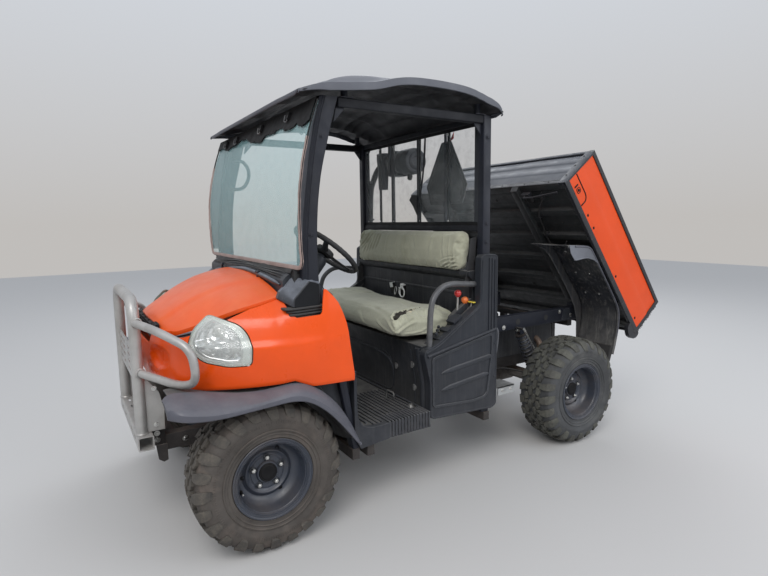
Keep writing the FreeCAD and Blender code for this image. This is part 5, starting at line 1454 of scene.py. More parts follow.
def build_sides():
    for s, tag in ((1, "left"), (-1, "right")):
        X = 0.655
        g = Geo()
        outline = rounded([(0.826, 0.372), (1.236, 0.350), (1.268, 0.366), (1.268, 1.160), (1.252, 1.172), (1.176, 1.176), (1.150, 1.160),
                           (1.1465, 1.060), (1.148, 0.920), (1.044, 0.855), (0.880, 0.752), (0.800, 0.722), (0.790, 0.700), (0.826, 0.560)],
                          [0.03, 0.02, 0.02, 0.02, 0.01, 0.012, 0.01, 0.03, 0.030, 0.08, 0.05, 0.012, 0.02, 0.03], 5)
        ob_g = Geo().prism("YZ", outline, *sorted((s * (X - 0.006), s * (X - 0.013))))
        g._join(ob_g)
        # turned edge along the outline
        inner = shrunk(outline, 0.010)
        frame_band(g, outline, inner, s * (X - 0.050), s * (X - 0.004))
        ob = make("cab_side_" + tag, g, "plastic", "vehicle", bevel=0.0035, seg=3)
        if s > 0:
            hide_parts("cab_sides")
        # recessed field: raised frame, two slanted ribs
        g = Geo()
        field = [(0.835, 0.684), (1.225, 0.762), (1.240, 0.745), (1.236, 0.640), (1.206, 0.440), (1.180, 0.418), (1.100, 0.410), (0.850, 0.428), (0.838, 0.445)]
        fo = rounded(field, 0.022, 4)
        fi = shrunk(fo, 0.013)
        frame_band(g, fo, fi, s * (X - 0.008), s * X)
        for ya, za, yb, zb in ((0.893, 0.596, 1.240, 0.638), (0.893, 0.509, 1.207, 0.545)):
            n = 10
            rr = []
            for k in range(n + 1):
                t = k / n
                y, z = ya + (yb - ya) * t, za + (zb - za) * t
                w = 0.0165 * min(1, math.sin(max(0.10, min(1, t * 6)) * math.pi / 2)) * min(1.0, (1 - t) * 8 + 0.35)
                h = 0.0075
                rr.append([(s * (X - 0.008), y, z - w), (s * (X - 0.001), y, z - w * 0.45), (s * X, y, z + w * 0.1), (s * (X - 0.001), y, z + w * 0.6), (s * (X - 0.008), y, z + w)])
            g.rings(rr, 0)
        # deep field behind the ribs
        make("side_frame_" + tag, g, "plastic_worn", "vehicle", bevel=0.0022)
        g = Geo().prism("YZ", shrunk(fo, 0.012), *sorted((s * (X - 0.0075), s * (X - 0.0065))))
        make("side_field_" + tag, g, "plastic_low", "vehicle")
        # upper panel: upright flutes beside the post and the step down along the slanted edge
        g = Geo()
        for y0, y1, zt in ((1.206, 1.214, 1.152), (1.226, 1.234, 1.150), (1.246, 1.252, 1.142)):
            g.prism("YZ", [(y0, 0.775), (y1, 0.777), (y1, zt), (y0, zt + 0.004)], *sorted((s * (X - 0.008), s * (X - 0.0015))))
        slope = smooth2([(0.800, 0.714), (0.881, 0.744), (0.965, 0.794), (1.044, 0.847), (1.120, 0.895), (1.151, 0.925), (1.156, 1.000), (1.157, 1.080), (1.160, 1.150)], 34)
        g.tube([(s * (X - 0.006), y + 0.003, z - 0.003) for y, z in slope], 0.0055, 8)
        g.tube([(s * (X - 0.006), y, z) for y, z in [(0.812, 0.692), (0.95, 0.720), (1.10, 0.748), (1.258, 0.778)]], 0.0085, 10)
        for y, z in ((1.252, 0.70), (1.252, 0.52), (0.838, 0.72)):
            g.bolt((s * (X - 0.006), y, z), (s, 0, 0), 0.005, 0.004, 0, dome=True)
        make("side_trim_" + tag, g, "plastic", "vehicle", bevel=0.0018)
        # console top behind the slanted edge: lever gates and ledge
        g = Geo()
        slope2 = smooth2([(0.800, 0.716), (0.880, 0.746), (0.940, 0.782), (1.000, 0.822), (1.060, 0.862), (1.120, 0.902), (1.148, 0.930)], 18)
        a, b = (s * 0.552, s * 0.647)
        rr = []
        for y, z in slope2:
            rr.append([(a, y + 0.006, z - 0.026), (a, y + 0.006, z - 0.008), (s * 0.600, y + 0.002, z - 0.003), (b, y + 0.004, z - 0.007), (b, y + 0.004, z - 0.024)])
        g.rings(rr, 2)
        # low ledge beside the levers
        g.prism("YZ", rounded([(1.000, 0.800), (1.010, 0.858), (1.060, 0.895), (1.148, 0.945), (1.148, 0.900), (1.080, 0.850)], 0.008, 3), *sorted((s * 0.556, s * 0.585)), 2)
        for k in range(4):
            y, z = 0.84 + 0.052 * k, 0.733 + 0.034 * k
            g.box(*sorted((s * 0.566, s * 0.632)), y, y + 0.026, z - 0.004, z + 0.007, 1, turn=Matrix.Rotation(math.radians(33), 3, "X"))
        make("side_console_" + tag, g, ["plastic_worn", "plastic", "plastic_low"], "vehicle", bevel=0.002)


def build_bench():
    g = Geo()
    face = [(0.838, 0.362), (0.838, 0.540), (0.805, 0.738), (1.176, 0.738), (1.176, 0.362)]
    g.prism("YZ", face, -0.604, 0.604)
    ob = make("bench_body", g, "plastic_low", "vehicle", bevel=0.006, seg=3)
    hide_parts("bench_base")
    g = Geo()

    def at(x, z, d=0.0):
        y = 0.838 if z < 0.54 else 0.838 - (z - 0.54) / 0.198 * 0.033
        return (x, y - 0.0008 - d, z)
    # rounded frames pressed into the front
    for xa, xb, za, zb in ((-0.555, -0.36, 0.425, 0.690), (-0.300, 0.300, 0.425, 0.636)):
        line = rounded([(xa, za), (xb, za), (xb, zb), (xa, zb)], 0.060, 7)
        g.tube([at(x, z, 0.0) for x, z in line] + [at(line[0][0], line[0][1], 0.0)], 0.0026, 8)
    # rounded edge of the pressed field and the upright seam near the corner
    edge = smooth_line([(-0.300, 0.640), (-0.145, 0.641), (0.060, 0.632), (0.200, 0.622), (0.262, 0.608), (0.296, 0.582), (0.304, 0.545), (0.304, 0.455)], 40)
    g.tube([at(p.x, p.y, 0.0010) for p in edge], lambda t: 0.0070 * min(1.0, 0.4 + t * 3, 0.35 + (1 - t) * 4), 10)
    g.tube([at(0.505, z, 0.0) for z in (0.42, 0.50, 0.54, 0.62, 0.70)], 0.0034, 8)
    # ledge at the foot with a rolled edge
    g.tube([(x, 0.829, 0.4085) for x in (-0.60, 0, 0.56)], 0.006, 10)
    for x in (-0.575, 0.575):
        g.tube([at(x, z, -0.004) for z in (0.41, 0.50, 0.54, 0.62, 0.725)], 0.020, 12)
    make("bench_trim", g, "plastic", "vehicle", bevel=0.0)
    # latches, screws, small loop on the floor, drain plug
    g = Geo()
    for x, z in ((0.347, 0.578), (0.505, 0.621), (0.505, 0.499), (-0.565, 0.64)):
        p = at(x, z, 0.0)
        g.bolt(p, (0, -1, 0), 0.0085, 0.006, 0, dome=True)
        g.box(p[0] - 0.006, p[0] + 0.006, p[1] - 0.010, p[1] - 0.003, p[2] - 0.016, p[2] + 0.016, 0)
    g.tube(soft([(0.335, 0.770, 0.402), (0.335, 0.770, 0.452), (0.405, 0.770, 0.452), (0.405, 0.770, 0.430)], 0.02), 0.0045, 10, 0)
    g.lathe([(0, 0.017), (0.006, 0.018), (0.012, 0.013), (0.020, 0.010), (0.0205, 0.0001)], (0.520, 0.800, 0.401), (0, 0, 1), 22, 0)
    make("bench_fittings", g, "latch", "vehicle", bevel=0.001)
    # panel behind the seat with its ledge and ribs
    g = Geo()
    g.prism("YZ", rounded([(1.150, 0.738), (1.172, 0.738), (1.172, 1.086), (1.128, 1.086), (1.128, 1.064), (1.136, 1.050), (1.150, 1.040)], 0.005), -0.586, 0.586)
    for z in (0.80, 0.95):
        g.prism("YZ", [(1.150, z), (1.1475, z + 0.005), (1.1475, z + 0.014), (1.150, z + 0.019)], -0.540, 0.540)
    ob = make("back_panel", g, "plastic_low", "vehicle", bevel=0.003)
    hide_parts("backrest_panel")


def build_belts():
    g = Geo()
    # buckle ends standing between the cushions, with webbing
    for x, lean, top in ((0.030, 0.22, 0.955), (-0.045, -0.18, 0.945)):
        base = Vector((x, 1.085, 0.862))
        d = Vector((lean, -0.12, 1)).normalized()
        side = Vector((1, 0, -lean)).normalized()
        n = d.cross(side).normalized()

        def slab(t0, t1, w, th, mat):
            a, b = base + d * t0, base + d * t1
            rr = []
            for p in (a, b):
                rr.append([p + side * w + n * th, p - side * w + n * th, p - side * w - n * th, p + side * w - n * th])
            g.rings(rr, mat)
        slab(0.0, 0.055, 0.011, 0.002, 2)
        slab(0.048, 0.112, 0.020, 0.010, 0)
        slab(0.084, 0.114, 0.0165, 0.0108, 1)
    ring = [Vector((0.060 + 0.025 * math.cos(a), 1.060, 0.925 + 0.028 * math.sin(a))) for a in [2 * math.pi * k / 24 for k in range(25)]]
    g.tube(ring, 0.0042, 8, 1)
    for dx, dz, rr_, hh, tilt in ((-0.030, -0.008, 0.016, 0.024, 0.35), (0.014, -0.006, 0.016, 0.022, -0.20)):
        loop = []
        for k in range(25):
            a = 2 * math.pi * k / 24
            u, v = rr_ * math.cos(a), hh * math.sin(a)
            loop.append((0.010 + dx + u * math.cos(tilt) + v * math.sin(tilt), 1.066 - 0.3 * u, 0.935 + dz - u * math.sin(tilt) + v * math.cos(tilt)))
        g.tube(loop, 0.0030, 8, 3)
    make("belt_buckles", g, ["seal", "white", "webbing", "galv"], "vehicle", bevel=0.0015)
    g = Geo()
    for s in (1, -1):
        pts = [(s * 0.575, 1.165, 1.26), (s * 0.565, 1.155, 1.12), (s * 0.560, 1.130, 0.98), (s * 0.565, 1.110, 0.80)]
        pts = [Vector(p) for p in smooth_line(pts, 26)]
        rr = []
        for p in pts:
            rr.append([p + Vector((0, 0.022, 0.004)), p + Vector((0.0012 * s, 0.022, 0.004)), p + Vector((0.0012 * s, -0.022, -0.004)), p + Vector((0, -0.022, -0.004))])
        g.rings(rr, 0)
    make("belt_webbing_runs", g, "webbing", "vehicle")


def build_grab_rails():
    g = Geo()
    for s in (1, -1):
        pts = [(s * 0.628, 0.836, 0.722), (s * 0.627, 0.841, 0.820), (s * 0.624, 0.849, 0.906), (s * 0.620, 0.870, 0.972), (s * 0.615, 0.922, 1.018), (s * 0.609, 0.986, 1.032), (s * 0.605, 1.075, 1.026), (s * 0.605, 1.168, 1.018)]
        g.tube(smooth_line(pts, 44), 0.0148, 22, 0)
        g.lathe([(0, 0.026), (0.004, 0.026), (0.010, 0.019), (0.016, 0.0155)], (s * 0.628, 0.836, 0.724), (0, 0, 1), 22, 1)
        g.lathe([(0, 0.028), (0.004, 0.028), (0.010, 0.019), (0.014, 0.0155)], (s * 0.605, 1.168, 1.018), (0, -1, 0), 22, 1)
    ob = make("grab_bars", g, ["worn_tube", "plastic"], "vehicle", angle=40)
    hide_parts("grab_rails")


def build_levers():
    g = Geo()
    for x, y, foot, top, mat in ((0.575, 1.060, 0.780, 0.975, 2), (0.575, 1.108, 0.800, 0.935, 3)):
        pts = [(x, y, foot), (x + 0.002, y - 0.004, foot + (top - foot) * 0.5), (x, y, top - 0.012)]
        g.tube(smooth_line(pts, 10), 0.0055, 12, 1)
        g.lathe([(-0.019, 0.007), (-0.014, 0.012), (-0.004, 0.0185), (0.006, 0.0190), (0.014, 0.0150), (0.0185, 0.008), (0.0190, 0.0001)], (x, y, top), (0, 0, 1), 30, mat)
        # bellows at the foot
        prof = [(0.0, 0.030)]
        for k in range(5):
            prof += [(0.004 + 0.009 * k, 0.029 - 0.004 * k), (0.0085 + 0.009 * k, 0.0245 - 0.004 * k)]
        prof += [(0.050, 0.007)]
        g.lathe(prof, (x, y, foot), (0, 0, 1), 26, 0)
    # third short lever with a pale tab, small knobs on the gate
    g.tube([(0.600, 1.120, 0.86), (0.604, 1.128, 0.925)], 0.004, 10, 1)
    g.box(0.586, 0.628, 1.118, 1.136, 0.925, 0.931, 4)
    g.box(0.570, 0.632, 0.985, 1.045, 0.842, 0.860, 5, turn=Matrix.Rotation(math.radians(35), 3, "X"))
    g.box(0.552, 0.604, 0.962, 1.128, 0.742, 0.800, 0)
    for k in range(3):
        g.lathe([(0, 0.008), (0.010, 0.008), (0.012, 0.006), (0.012, 0.0001)], (0.585 + 0.016 * k, 0.930 - 0.02 * k, 0.812 - 0.012 * k), (0, -0.5, 1), 16, 5)
    # pedals with ribbed pads
    for x, half in ((0.250, 0.060), (0.380, 0.046)):
        g.prism("YZ", [(0.317, 0.545), (0.342, 0.600), (0.350, 0.596), (0.325, 0.541)], x - half, x + half, 0)
        for k in range(4):
            t = 0.12 + 0.22 * k
            y, z = 0.325 + 0.025 * t, 0.541 + 0.055 * t
            g.prism("YZ", [(y, z), (y + 0.003, z + 0.007), (y + 0.006, z + 0.0055), (y + 0.003, z - 0.0015)], x - half + 0.006, x + half - 0.006, 0)
        g.tube([(x, 0.290, 0.650), (x, 0.300, 0.600), (x, 0.330, 0.572)], 0.008, 12, 1)
    ob = make("hand_levers", g, ["rubber", "steel", "knob_red", "knob_orange", "yellow", "plastic"], "vehicle", bevel=0.0012, weld=False)
    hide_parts("levers_and_pedals")


def build_dash():
    g = Geo()
    DASH = [(0.205, 0.700), (0.232, 0.700), (0.330, 0.790), (0.400, 0.930), (0.405, 1.020), (0.300, 1.070), (0.190, 1.095), (0.190, 1.040), (0.225, 0.960)]
    sm = rounded(DASH, [0.01, 0.02, 0.05, 0.05, 0.035, 0.05, 0.012, 0.02, 0.03], 6)
    rows = []
    for x, k in ((-0.575, 0.45), (-0.560, 0.72), (-0.535, 0.90), (-0.505, 1.0), (0.470, 1.0), (0.505, 0.90), (0.530, 0.72), (0.545, 0.45)):
        rows.append([Vector((x, 0.215 + (y - 0.215) * k, 0.985 + (z - 0.985) * (0.4 + 0.6 * k))) for y, z in sm])
    g.rings(rows, 0)
    ob = make("dash_body", g, "plastic", "vehicle", bevel=0.006, seg=3)
    c = Geo().prism("YZ", rounded([(0.300, 0.812), (0.470, 0.812), (0.470, 0.900), (0.300, 0.900)], 0.01), -0.500, -0.080)
    c2 = Geo()
    hub = Vector((0.330, 0.435, 1.215))
    ax = Vector((0, math.sin(math.radians(40)), math.cos(math.radians(40))))
    c2.tube([tuple(hub - ax * 0.33), tuple(hub - ax * 0.02)], 0.044, 32)
    ob.modifiers.clear()
    carved(ob, [cutter("cut_glove", c), cutter("cut_column", c2)])
    add_bevel(ob, 0.005, 35, 3)
    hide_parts("dashboard")
    g = Geo()
    # instrument hood, dial, switches, key, panel lines
    n = Vector((0, 0.90, 0.43)).normalized()
    for x, y, z, r in ((0.330, 0.395, 1.010, 0.044), (0.235, 0.402, 0.985, 0.020), (0.425, 0.402, 0.985, 0.020)):
        g.lathe([(0, r + 0.006), (0.010, r + 0.006), (0.012, r + 0.002), (0.009, r), (0.008, 0.0001)], (x, y, z), (0, 0.95, 0.3), 36, 0)
        g.lathe([(0.0085, r - 0.002), (0.0095, r - 0.002), (0.0095, 0.0001)], (x, y, z), (0, 0.95, 0.3), 36, 1)
        for k in range(11):
            a = math.radians(-120 + 24 * k)
            q = Vector((x + (r - 0.010) * math.sin(a), y + 0.0105, z + (r - 0.010) * math.cos(a) * 0.95))
            g.box(q.x - 0.0009, q.x + 0.0009, q.y - 0.001, q.y + 0.0004, q.z - 0.0035, q.z + 0.0035, 2)
    for k in range(5):
        x = 0.05 - 0.045 * k
        g.box(x - 0.014, x + 0.014, 0.398, 0.412, 0.955, 0.985, 0)
        g.box(x - 0.009, x + 0.009, 0.409, 0.416, 0.962, 0.978, 0)
    g.lathe([(0, 0.016), (0.012, 0.015), (0.013, 0.010), (0.020, 0.008), (0.0205, 0.0001)], (0.470, 0.392, 0.935), (0, 1, 0.1), 24, 3)
    g.prism("YZ", [(0.3935, 0.906), (0.4055, 0.912), (0.4075, 0.920), (0.397, 0.925)], -0.520, -0.060, 0)
    make("dash_fittings", g, ["plastic", "gauge", "white", "bright"], "vehicle", bevel=0.0015)


def build_steering():
    hub = Vector((0.330, 0.435, 1.215))
    lean = math.radians(40)
    ax = Vector((0, math.sin(lean), math.cos(lean)))
    fwd = Vector((0, math.cos(lean), -math.sin(lean)))
    g = Geo()
    R = 0.172
    ring = []
    rows = []
    for k in range(72):
        a = 2 * math.pi * k / 72
        d = Vector((1, 0, 0)) * math.cos(a) + fwd * math.sin(a)
        r = 0.0128 - 0.0008 * (0.5 + 0.5 * math.cos(a * 36))
        row = []
        for j in range(14):
            b = 2 * math.pi * j / 14
            row.append(hub + d * (R + r * math.cos(b)) + ax * r * math.sin(b))
        rows.append(row)
    g.rings(rows, 0, ends=False, loop=True)
    for deg in (90, 210, 330):
        a = math.radians(deg)
        d = Vector((1, 0, 0)) * math.cos(a) + fwd * math.sin(a)
        w = ax.cross(d)
        rr = []
        for t, wide, thick, drop in ((0.020, 0.024, 0.007, -0.012), (0.06, 0.018, 0.006, -0.011), (0.11, 0.014, 0.005, -0.006), (0.155, 0.013, 0.005, -0.001), (0.168, 0.016, 0.006, 0.0)):
            p = hub + d * t + ax * drop
            rr.append([p + w * wide + ax * 0.001, p + w * wide * 0.6 + ax * thick, p - w * wide * 0.6 + ax * thick, p - w * wide + ax * 0.001, p - w * wide * 0.6 - ax * thick, p + w * wide * 0.6 - ax * thick])
        g.rings(rr, 0)
    g.lathe([(-0.028, 0.030), (-0.020, 0.046), (-0.006, 0.048), (0.003, 0.044), (0.0065, 0.034), (0.0078, 0.0001)], hub, ax, 40, 0)
    g.lathe([(0.0065, 0.026), (0.0085, 0.026), (0.0082, 0.0001)], hub, ax, 32, 0)
    ob = make("steering_ring", g, "rubber", "steering_wheel", angle=36)
    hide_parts("steering_wheel")
    g = Geo()
    prof = [(-0.260, 0.022), (-0.200, 0.022), (-0.198, 0.040), (-0.150, 0.042), (-0.060, 0.039), (-0.044, 0.034), (-0.038, 0.022), (-0.032, 0.0215), (-0.032, 0.0001)]
    g.lathe(prof, hub, ax, 36, 0)
    stalk = hub - ax * 0.085
    g.tube([tuple(stalk + Vector((-0.03, 0, 0))), tuple(stalk + Vector((-0.09, -0.01, 0.01))), tuple(stalk + Vector((-0.135, -0.015, 0.02)))], 0.006, 12, 0)
    g.tube([tuple(stalk + Vector((-0.112, -0.012, 0.014))), tuple(stalk + Vector((-0.138, -0.015, 0.021)))], 0.009, 12, 0)
    ob = make("column_cover", g, "plastic", "vehicle", bevel=0.001)
    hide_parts("steering_column")


# ------------------------------------------------------------------ canvas covered cushions
def arr(me, what="co", n=3):
    out = np.empty(len(me.vertices) * n, dtype=np.float64)
    me.vertices.foreach_get(what, out)
    return out.reshape(-1, n)


def put(me, co):
    me.vertices.foreach_set("co", np.asarray(co, dtype=np.float32).ravel())
    me.update()


def remeshed(ob, voxel):
    m = ob.modifiers.new("voxels", "REMESH")
    m.mode = "VOXEL"
    m.voxel_size = voxel
    m.use_smooth_shade = True
    mats = [s for s in ob.data.materials]
    baked(ob)
    ob.data.materials.clear()
    for s in mats:
        ob.data.materials.append(s)
    ob.data.polygons.foreach_set("material_index", [0] * len(ob.data.polygons))
    return ob


def swollen(ob, cap, pressure=4.0, hold=None, frames=20):
    """Blows the cover up from inside and keeps each point within cap of where it began."""
    me = ob.data
    start = arr(me).copy()
    grp = ob.vertex_groups.new(name="held")
    if hold is not None:
        for i in np.nonzero(hold(start))[0]:
            grp.add([int(i)], 1.0, "REPLACE")
    c = ob.modifiers.new("cover", "CLOTH")
    s = c.settings
    s.quality = 5
    s.mass = 0.3
    s.tension_stiffness = 12
    s.compression_stiffness = 8
    s.shear_stiffness = 5
    s.bending_stiffness = 0.4
    s.use_pressure = True
    s.uniform_pressure_force = pressure
    s.effector_weights.gravity = 0.0
    if hold is not None:
        s.vertex_group_mass = "held"
    c.collision_settings.use_collision = False
    c.point_cache.frame_start = 1
    c.point_cache.frame_end = frames
    for f in range(1, frames + 1):
        scene.frame_set(f)
    deps = bpy.context.evaluated_depsgraph_get()
    got = bpy.data.meshes.new_from_object(ob.evaluated_get(deps), depsgraph=deps)
    end = arr(got).copy()
    bpy.data.meshes.remove(got)
    ob.modifiers.clear()
    ob.vertex_groups.clear()
    scene.frame_set(1)
    move = end - start
    far = np.linalg.norm(move, axis=1, keepdims=True)
    move *= np.minimum(1.0, cap / np.maximum(far, 1e-9))
    put(me, start + move)
    return ob


def finer(ob):
    m = ob.modifiers.new("finer", "SUBSURF")
    m.levels = m.render_levels = 1
    mats = [s for s in ob.data.materials]
    baked(ob)
    if not ob.data.materials:
        for s in mats:
            ob.data.materials.append(s)
    for p in ob.data.polygons:
        p.use_smooth = True
    return ob


def step(v):
    v = np.clip(v, 0.0, 1.0)
    return v * v * (3 - 2 * v)


def crease(u, v, a, b, w, h, side=1.0, deep=0.6):
    """Fold from a to b in the plane (u, v): a ridge with a valley beside it, fading at both ends."""
    dx, dy = b[0] - a[0], b[1] - a[1]
    L = math.hypot(dx, dy)
    t = ((u - a[0]) * dx + (v - a[1]) * dy) / (L * L)
    n = ((u - a[0]) * dy - (v - a[1]) * dx) / L
    bow = 0.05 * L * np.sin(np.clip(t, 0, 1) * math.pi) * side
    q = (n - bow) / w
    fade = step((t + 0.08) / 0.28) * step((1.08 - t) / 0.35)
    return h * fade * (np.exp(-q * q) - deep * np.exp(-((q - 1.5 * side) ** 2) / 0.9))


def waves(u, v, seed, size, parts=7):
    r = random.Random(seed)
    out = np.zeros_like(u)
    for k in range(parts):
        a, b, c = r.uniform(-1, 1), r.uniform(-1, 1), r.uniform(0, 6.28)
        f = size * r.uniform(0.6, 1.7)
        out += np.sin((u * a + v * b) * f + c) / parts
    return out


def seat_top(x, y):
    """Height of the seat cover's top: higher to the left and the front, sunk where people sit."""
    z = 0.884 - 0.006 * step((y - 0.80) / 0.30) + 0.020 * step((-0.12 - x) / 0.34) * (0.35 + 0.65 * step((y - 0.74) / 0.16))
    z = z + 0.008 * math.exp(-((x - 0.37) / 0.07) ** 2) * step((y - 0.95) / 0.12) - 0.016 * step((x - 0.40) / 0.10) * step((y - 1.00) / 0.10)
    z = z - 0.010 * math.exp(-((x - 0.27) / 0.16) ** 2 - ((y - 0.93) / 0.14) ** 2)
    z = z - 0.008 * math.exp(-((x + 0.27) / 0.18) ** 2 - ((y - 0.93) / 0.14) ** 2)
    z = z + 0.005 * math.exp(-(x / 0.12) ** 2) * (1 if y < 1.0 else 0.4)
    return float(z)


def build_seat():
    g = Geo()
    rows = []
    n = 56
    for k in range(n):
        x = -0.533 + 1.066 * k / (n - 1)
        e = min(1.0, (0.533 - abs(x)) / 0.055)
        e = math.sqrt(max(0.0, 1 - (1 - e) ** 2))          # 0 at the end, 1 inside
        pull = 0.010 * math.sin(math.pi * min(1.0, (0.533 - abs(x)) / 0.5))    # sides pull in between the corners
        y0, y1 = 0.698 + pull * 0.7, 1.122 - pull * 0.6
        drop = 0.034 * (1 - e)
        top = lambda y: min(0.908, seat_top(x, y)) - drop
        rear = 0.862 - drop
        sec = [(y0 + 0.004, 0.785 - 0.004 * e), (y0 - 0.004, 0.800), (y0 - 0.006, 0.824), (y0 + 0.002, 0.846 - drop * 0.5), (y0 + 0.020, 0.864 - drop), (y0 + 0.052, top(0.75) - 0.005),
               (y0 + 0.100, top(0.80)), (y0 + 0.170, top(0.87)), (y0 + 0.240, top(0.94)), (y0 + 0.310, top(1.01)), (y0 + 0.360, top(1.06) - 0.003), (y1 - 0.022, top(1.10) - 0.006),
               (y1 - 0.005, rear - 0.005), (y1, 0.806), (y1 - 0.006, 0.770), (y1 - 0.020, 0.760), (1.00, 0.7605), (0.88, 0.767), (0.76, 0.774), (y0 + 0.018, 0.779)]
        inset = 0.012 * (1 - e)
        yc, zc = 0.91, 0.82
        rows.append([Vector((x, yc + (y - yc) * (1 - inset), zc + (z - zc) * (1 - 0.25 * (1 - e)))) for y, z in sec])
    g.rings(rows, 0)
    ob = make("seat_cover", g, ["canvas", "tear_dark", "foam"], "vehicle", angle=180)
    remeshed(ob, 0.008)
    low = lambda co: co[:, 2] < 0.776
    swollen(ob, 0.012, 4.0, hold=low)
    finer(ob)
    me = ob.data
    co = arr(me)
    no = arr(me, "normal")
    x, y, z = co[:, 0].copy(), co[:, 1] + SH, co[:, 2].copy()
    up = step((no[:, 2] - 0.15) / 0.5)
    front = step((-no[:, 1] - 0.25) / 0.4)
    right = step((no[:, 0] - 0.25) / 0.4)
    d = np.zeros(len(x))
    # slow waves of slack canvas
    d += 0.0042 * waves(x, y, 3, 17.0) * (up + front * 0.6)
    d += 0.0020 * waves(x, y, 8, 45.0) * up
    # long folds over the top
    T = [((0.50, 0.735), (0.20, 0.80), 0.012, 0.0045), ((0.47, 0.70), (0.10, 0.745), 0.011, 0.0040), ((0.40, 0.97), (0.05, 1.04), 0.014, 0.0040),
         ((0.05, 0.86), (-0.30, 0.80), 0.016, 0.0035), ((-0.20, 1.05), (-0.50, 0.93), 0.016, 0.0045), ((-0.10, 0.72), (-0.45, 0.745), 0.014, 0.0040),
         ((0.52, 0.80), (0.44, 0.74), 0.007, 0.0045), ((0.53, 0.84), (0.47, 0.77), 0.006, 0.0040), ((0.515, 0.90), (0.44, 0.96), 0.008, 0.0040),
         ((0.30, 0.90), (0.12, 0.97), 0.012, 0.0030), ((0.46, 1.02), (0.30, 1.09), 0.012, 0.0040), ((-0.35, 0.80), (-0.52, 0.86), 0.010, 0.0045),
         ((0.535, 0.76), (0.455, 0.715), 0.006, 0.0045), ((0.40, 0.78), (0.30, 0.90), 0.010, 0.0030)]
    for i, (a, b, w, h) in enumerate(T):
        d += crease(x, y, a, b, w, h, 1.0 if i % 2 else -1.0) * up
    # folds of the front drape and the right end, pulled to the corner
    F = [((0.53, 0.790), (0.33, 0.842), 0.008, 0.0050), ((0.53, 0.800), (0.42, 0.862), 0.007, 0.0045), ((0.50, 0.786), (0.20, 0.806), 0.008, 0.0040),
         ((0.22, 0.790), (0.12, 0.860), 0.010, 0.0030), ((-0.05, 0.792), (-0.16, 0.862), 0.011, 0.0035), ((-0.33, 0.79), (-0.40, 0.86), 0.011, 0.0035)]
    for i, (a, b, w, h) in enumerate(F):
        d += crease(x, z, a, b, w, h, 1.0 if i % 2 else -1.0) * front
    R = [((0.70, 0.792), (0.86, 0.850), 0.007, 0.0045), ((0.71, 0.786), (0.95, 0.815), 0.007, 0.0045), ((0.78, 0.866), (0.98, 0.835), 0.008, 0.0040), ((1.10, 0.79), (0.98, 0.85), 0.008, 0.0040)]
    for i, (a, b, w, h) in enumerate(R):
        d += crease(y, z, a, b, w, h, 1.0 if i % 2 else -1.0) * right
    # hem line above the lower edge
    hem = np.exp(-((z - 0.797) / 0.0022) ** 2) * (front + right) * 0.0022
    d -= hem
    # tear: a slit that gapes at its front end, lips rolled up round it
    A, B = (0.500, 0.718), (0.405, 0.945)
    dx, dy = B[0] - A[0], B[1] - A[1]
    L = math.hypot(dx, dy)
    t = ((x - A[0]) * dx + (y - A[1]) * dy) / (L * L)
    s = ((x - A[0]) * dy - (y - A[1]) * dx) / L + 0.006 * np.sin(t * 9.0)
    tt = np.clip(t, 0, 1)
    half = 0.027 * np.sin(math.pi * tt ** 0.62) * (1.0 - 0.45 * tt) + 0.003 * np.sin(t * 31) * (tt > 0) * (tt < 1)
    half = np.where((t > 0) & (t < 1), np.maximum(half, 0.0015), -0.004)
    gap = np.abs(s) - half
    inside = step((0.003 - gap) / 0.006) * up
    lip = np.exp(-((gap - 0.006) / 0.006) ** 2) * up * np.where((t > -0.06) & (t < 1.06), 1.0, 0.0)
    far = step((0.004 - s) / 0.008)                                     # the side away from the seat's near end
    d += (0.0085 * far + 0.0012 * (1 - far)) * lip * (0.75 + 0.25 * np.sin(t * 12))
    d -= inside * (0.0075 - 0.004 * step((tt - 0.45) / 0.2) * step((0.95 - tt) / 0.2))
    # radiating puckers
    for k in range(9):
        a = (A[0] + dx * (0.05 + 0.11 * k), A[1] + dy * (0.05 + 0.11 * k))
        sgn = 1 if k % 2 else -1
        b = (a[0] + sgn * (0.055 + 0.012 * (k % 3)), a[1] + 0.028 * (1 if k % 3 else -1))
        d += crease(x, y, a, b, 0.005, 0.0028, sgn, 0.5) * up * (gap > 0.002)
    co = co + no * d[:, None]
    co[:, 2] = np.minimum(co[:, 2], 0.918)
    put(me, co)
    # materials: foam on the rear part of the opening, shadow at its mouth
    idx = np.zeros(len(me.polygons), dtype=np.int32)
    mid = np.empty(len(me.polygons) * 3)
    me.polygons.foreach_get("center", mid)
    mid = mid.reshape(-1, 3)
    px, py, pz = mid[:, 0], mid[:, 1] + SH, mid[:, 2]
    t = ((px - A[0]) * dx + (py - A[1]) * dy) / (L * L)
    s = ((px - A[0]) * dy - (py - A[1]) * dx) / L + 0.006 * np.sin(t * 9.0)
    tt = np.clip(t, 0, 1)
    half = 0.027 * np.sin(math.pi * tt ** 0.62) * (1.0 - 0.45 * tt) + 0.003 * np.sin(t * 31)
    hit = (t > 0) & (t < 1) & (np.abs(s) < np.maximum(half, 0.0025) - 0.001) & (pz > 0.82)
    idx[hit] = 1
    idx[hit & (tt >= 0.44) & (tt < 0.95) & (s > -half * 0.45)] = 2
    idx[hit & (tt >= 0.60) & (tt < 0.66) & (s > -half * 0.45)] = 1
    me.polygons.foreach_set("material_index", idx)
    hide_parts("seat_cushion")


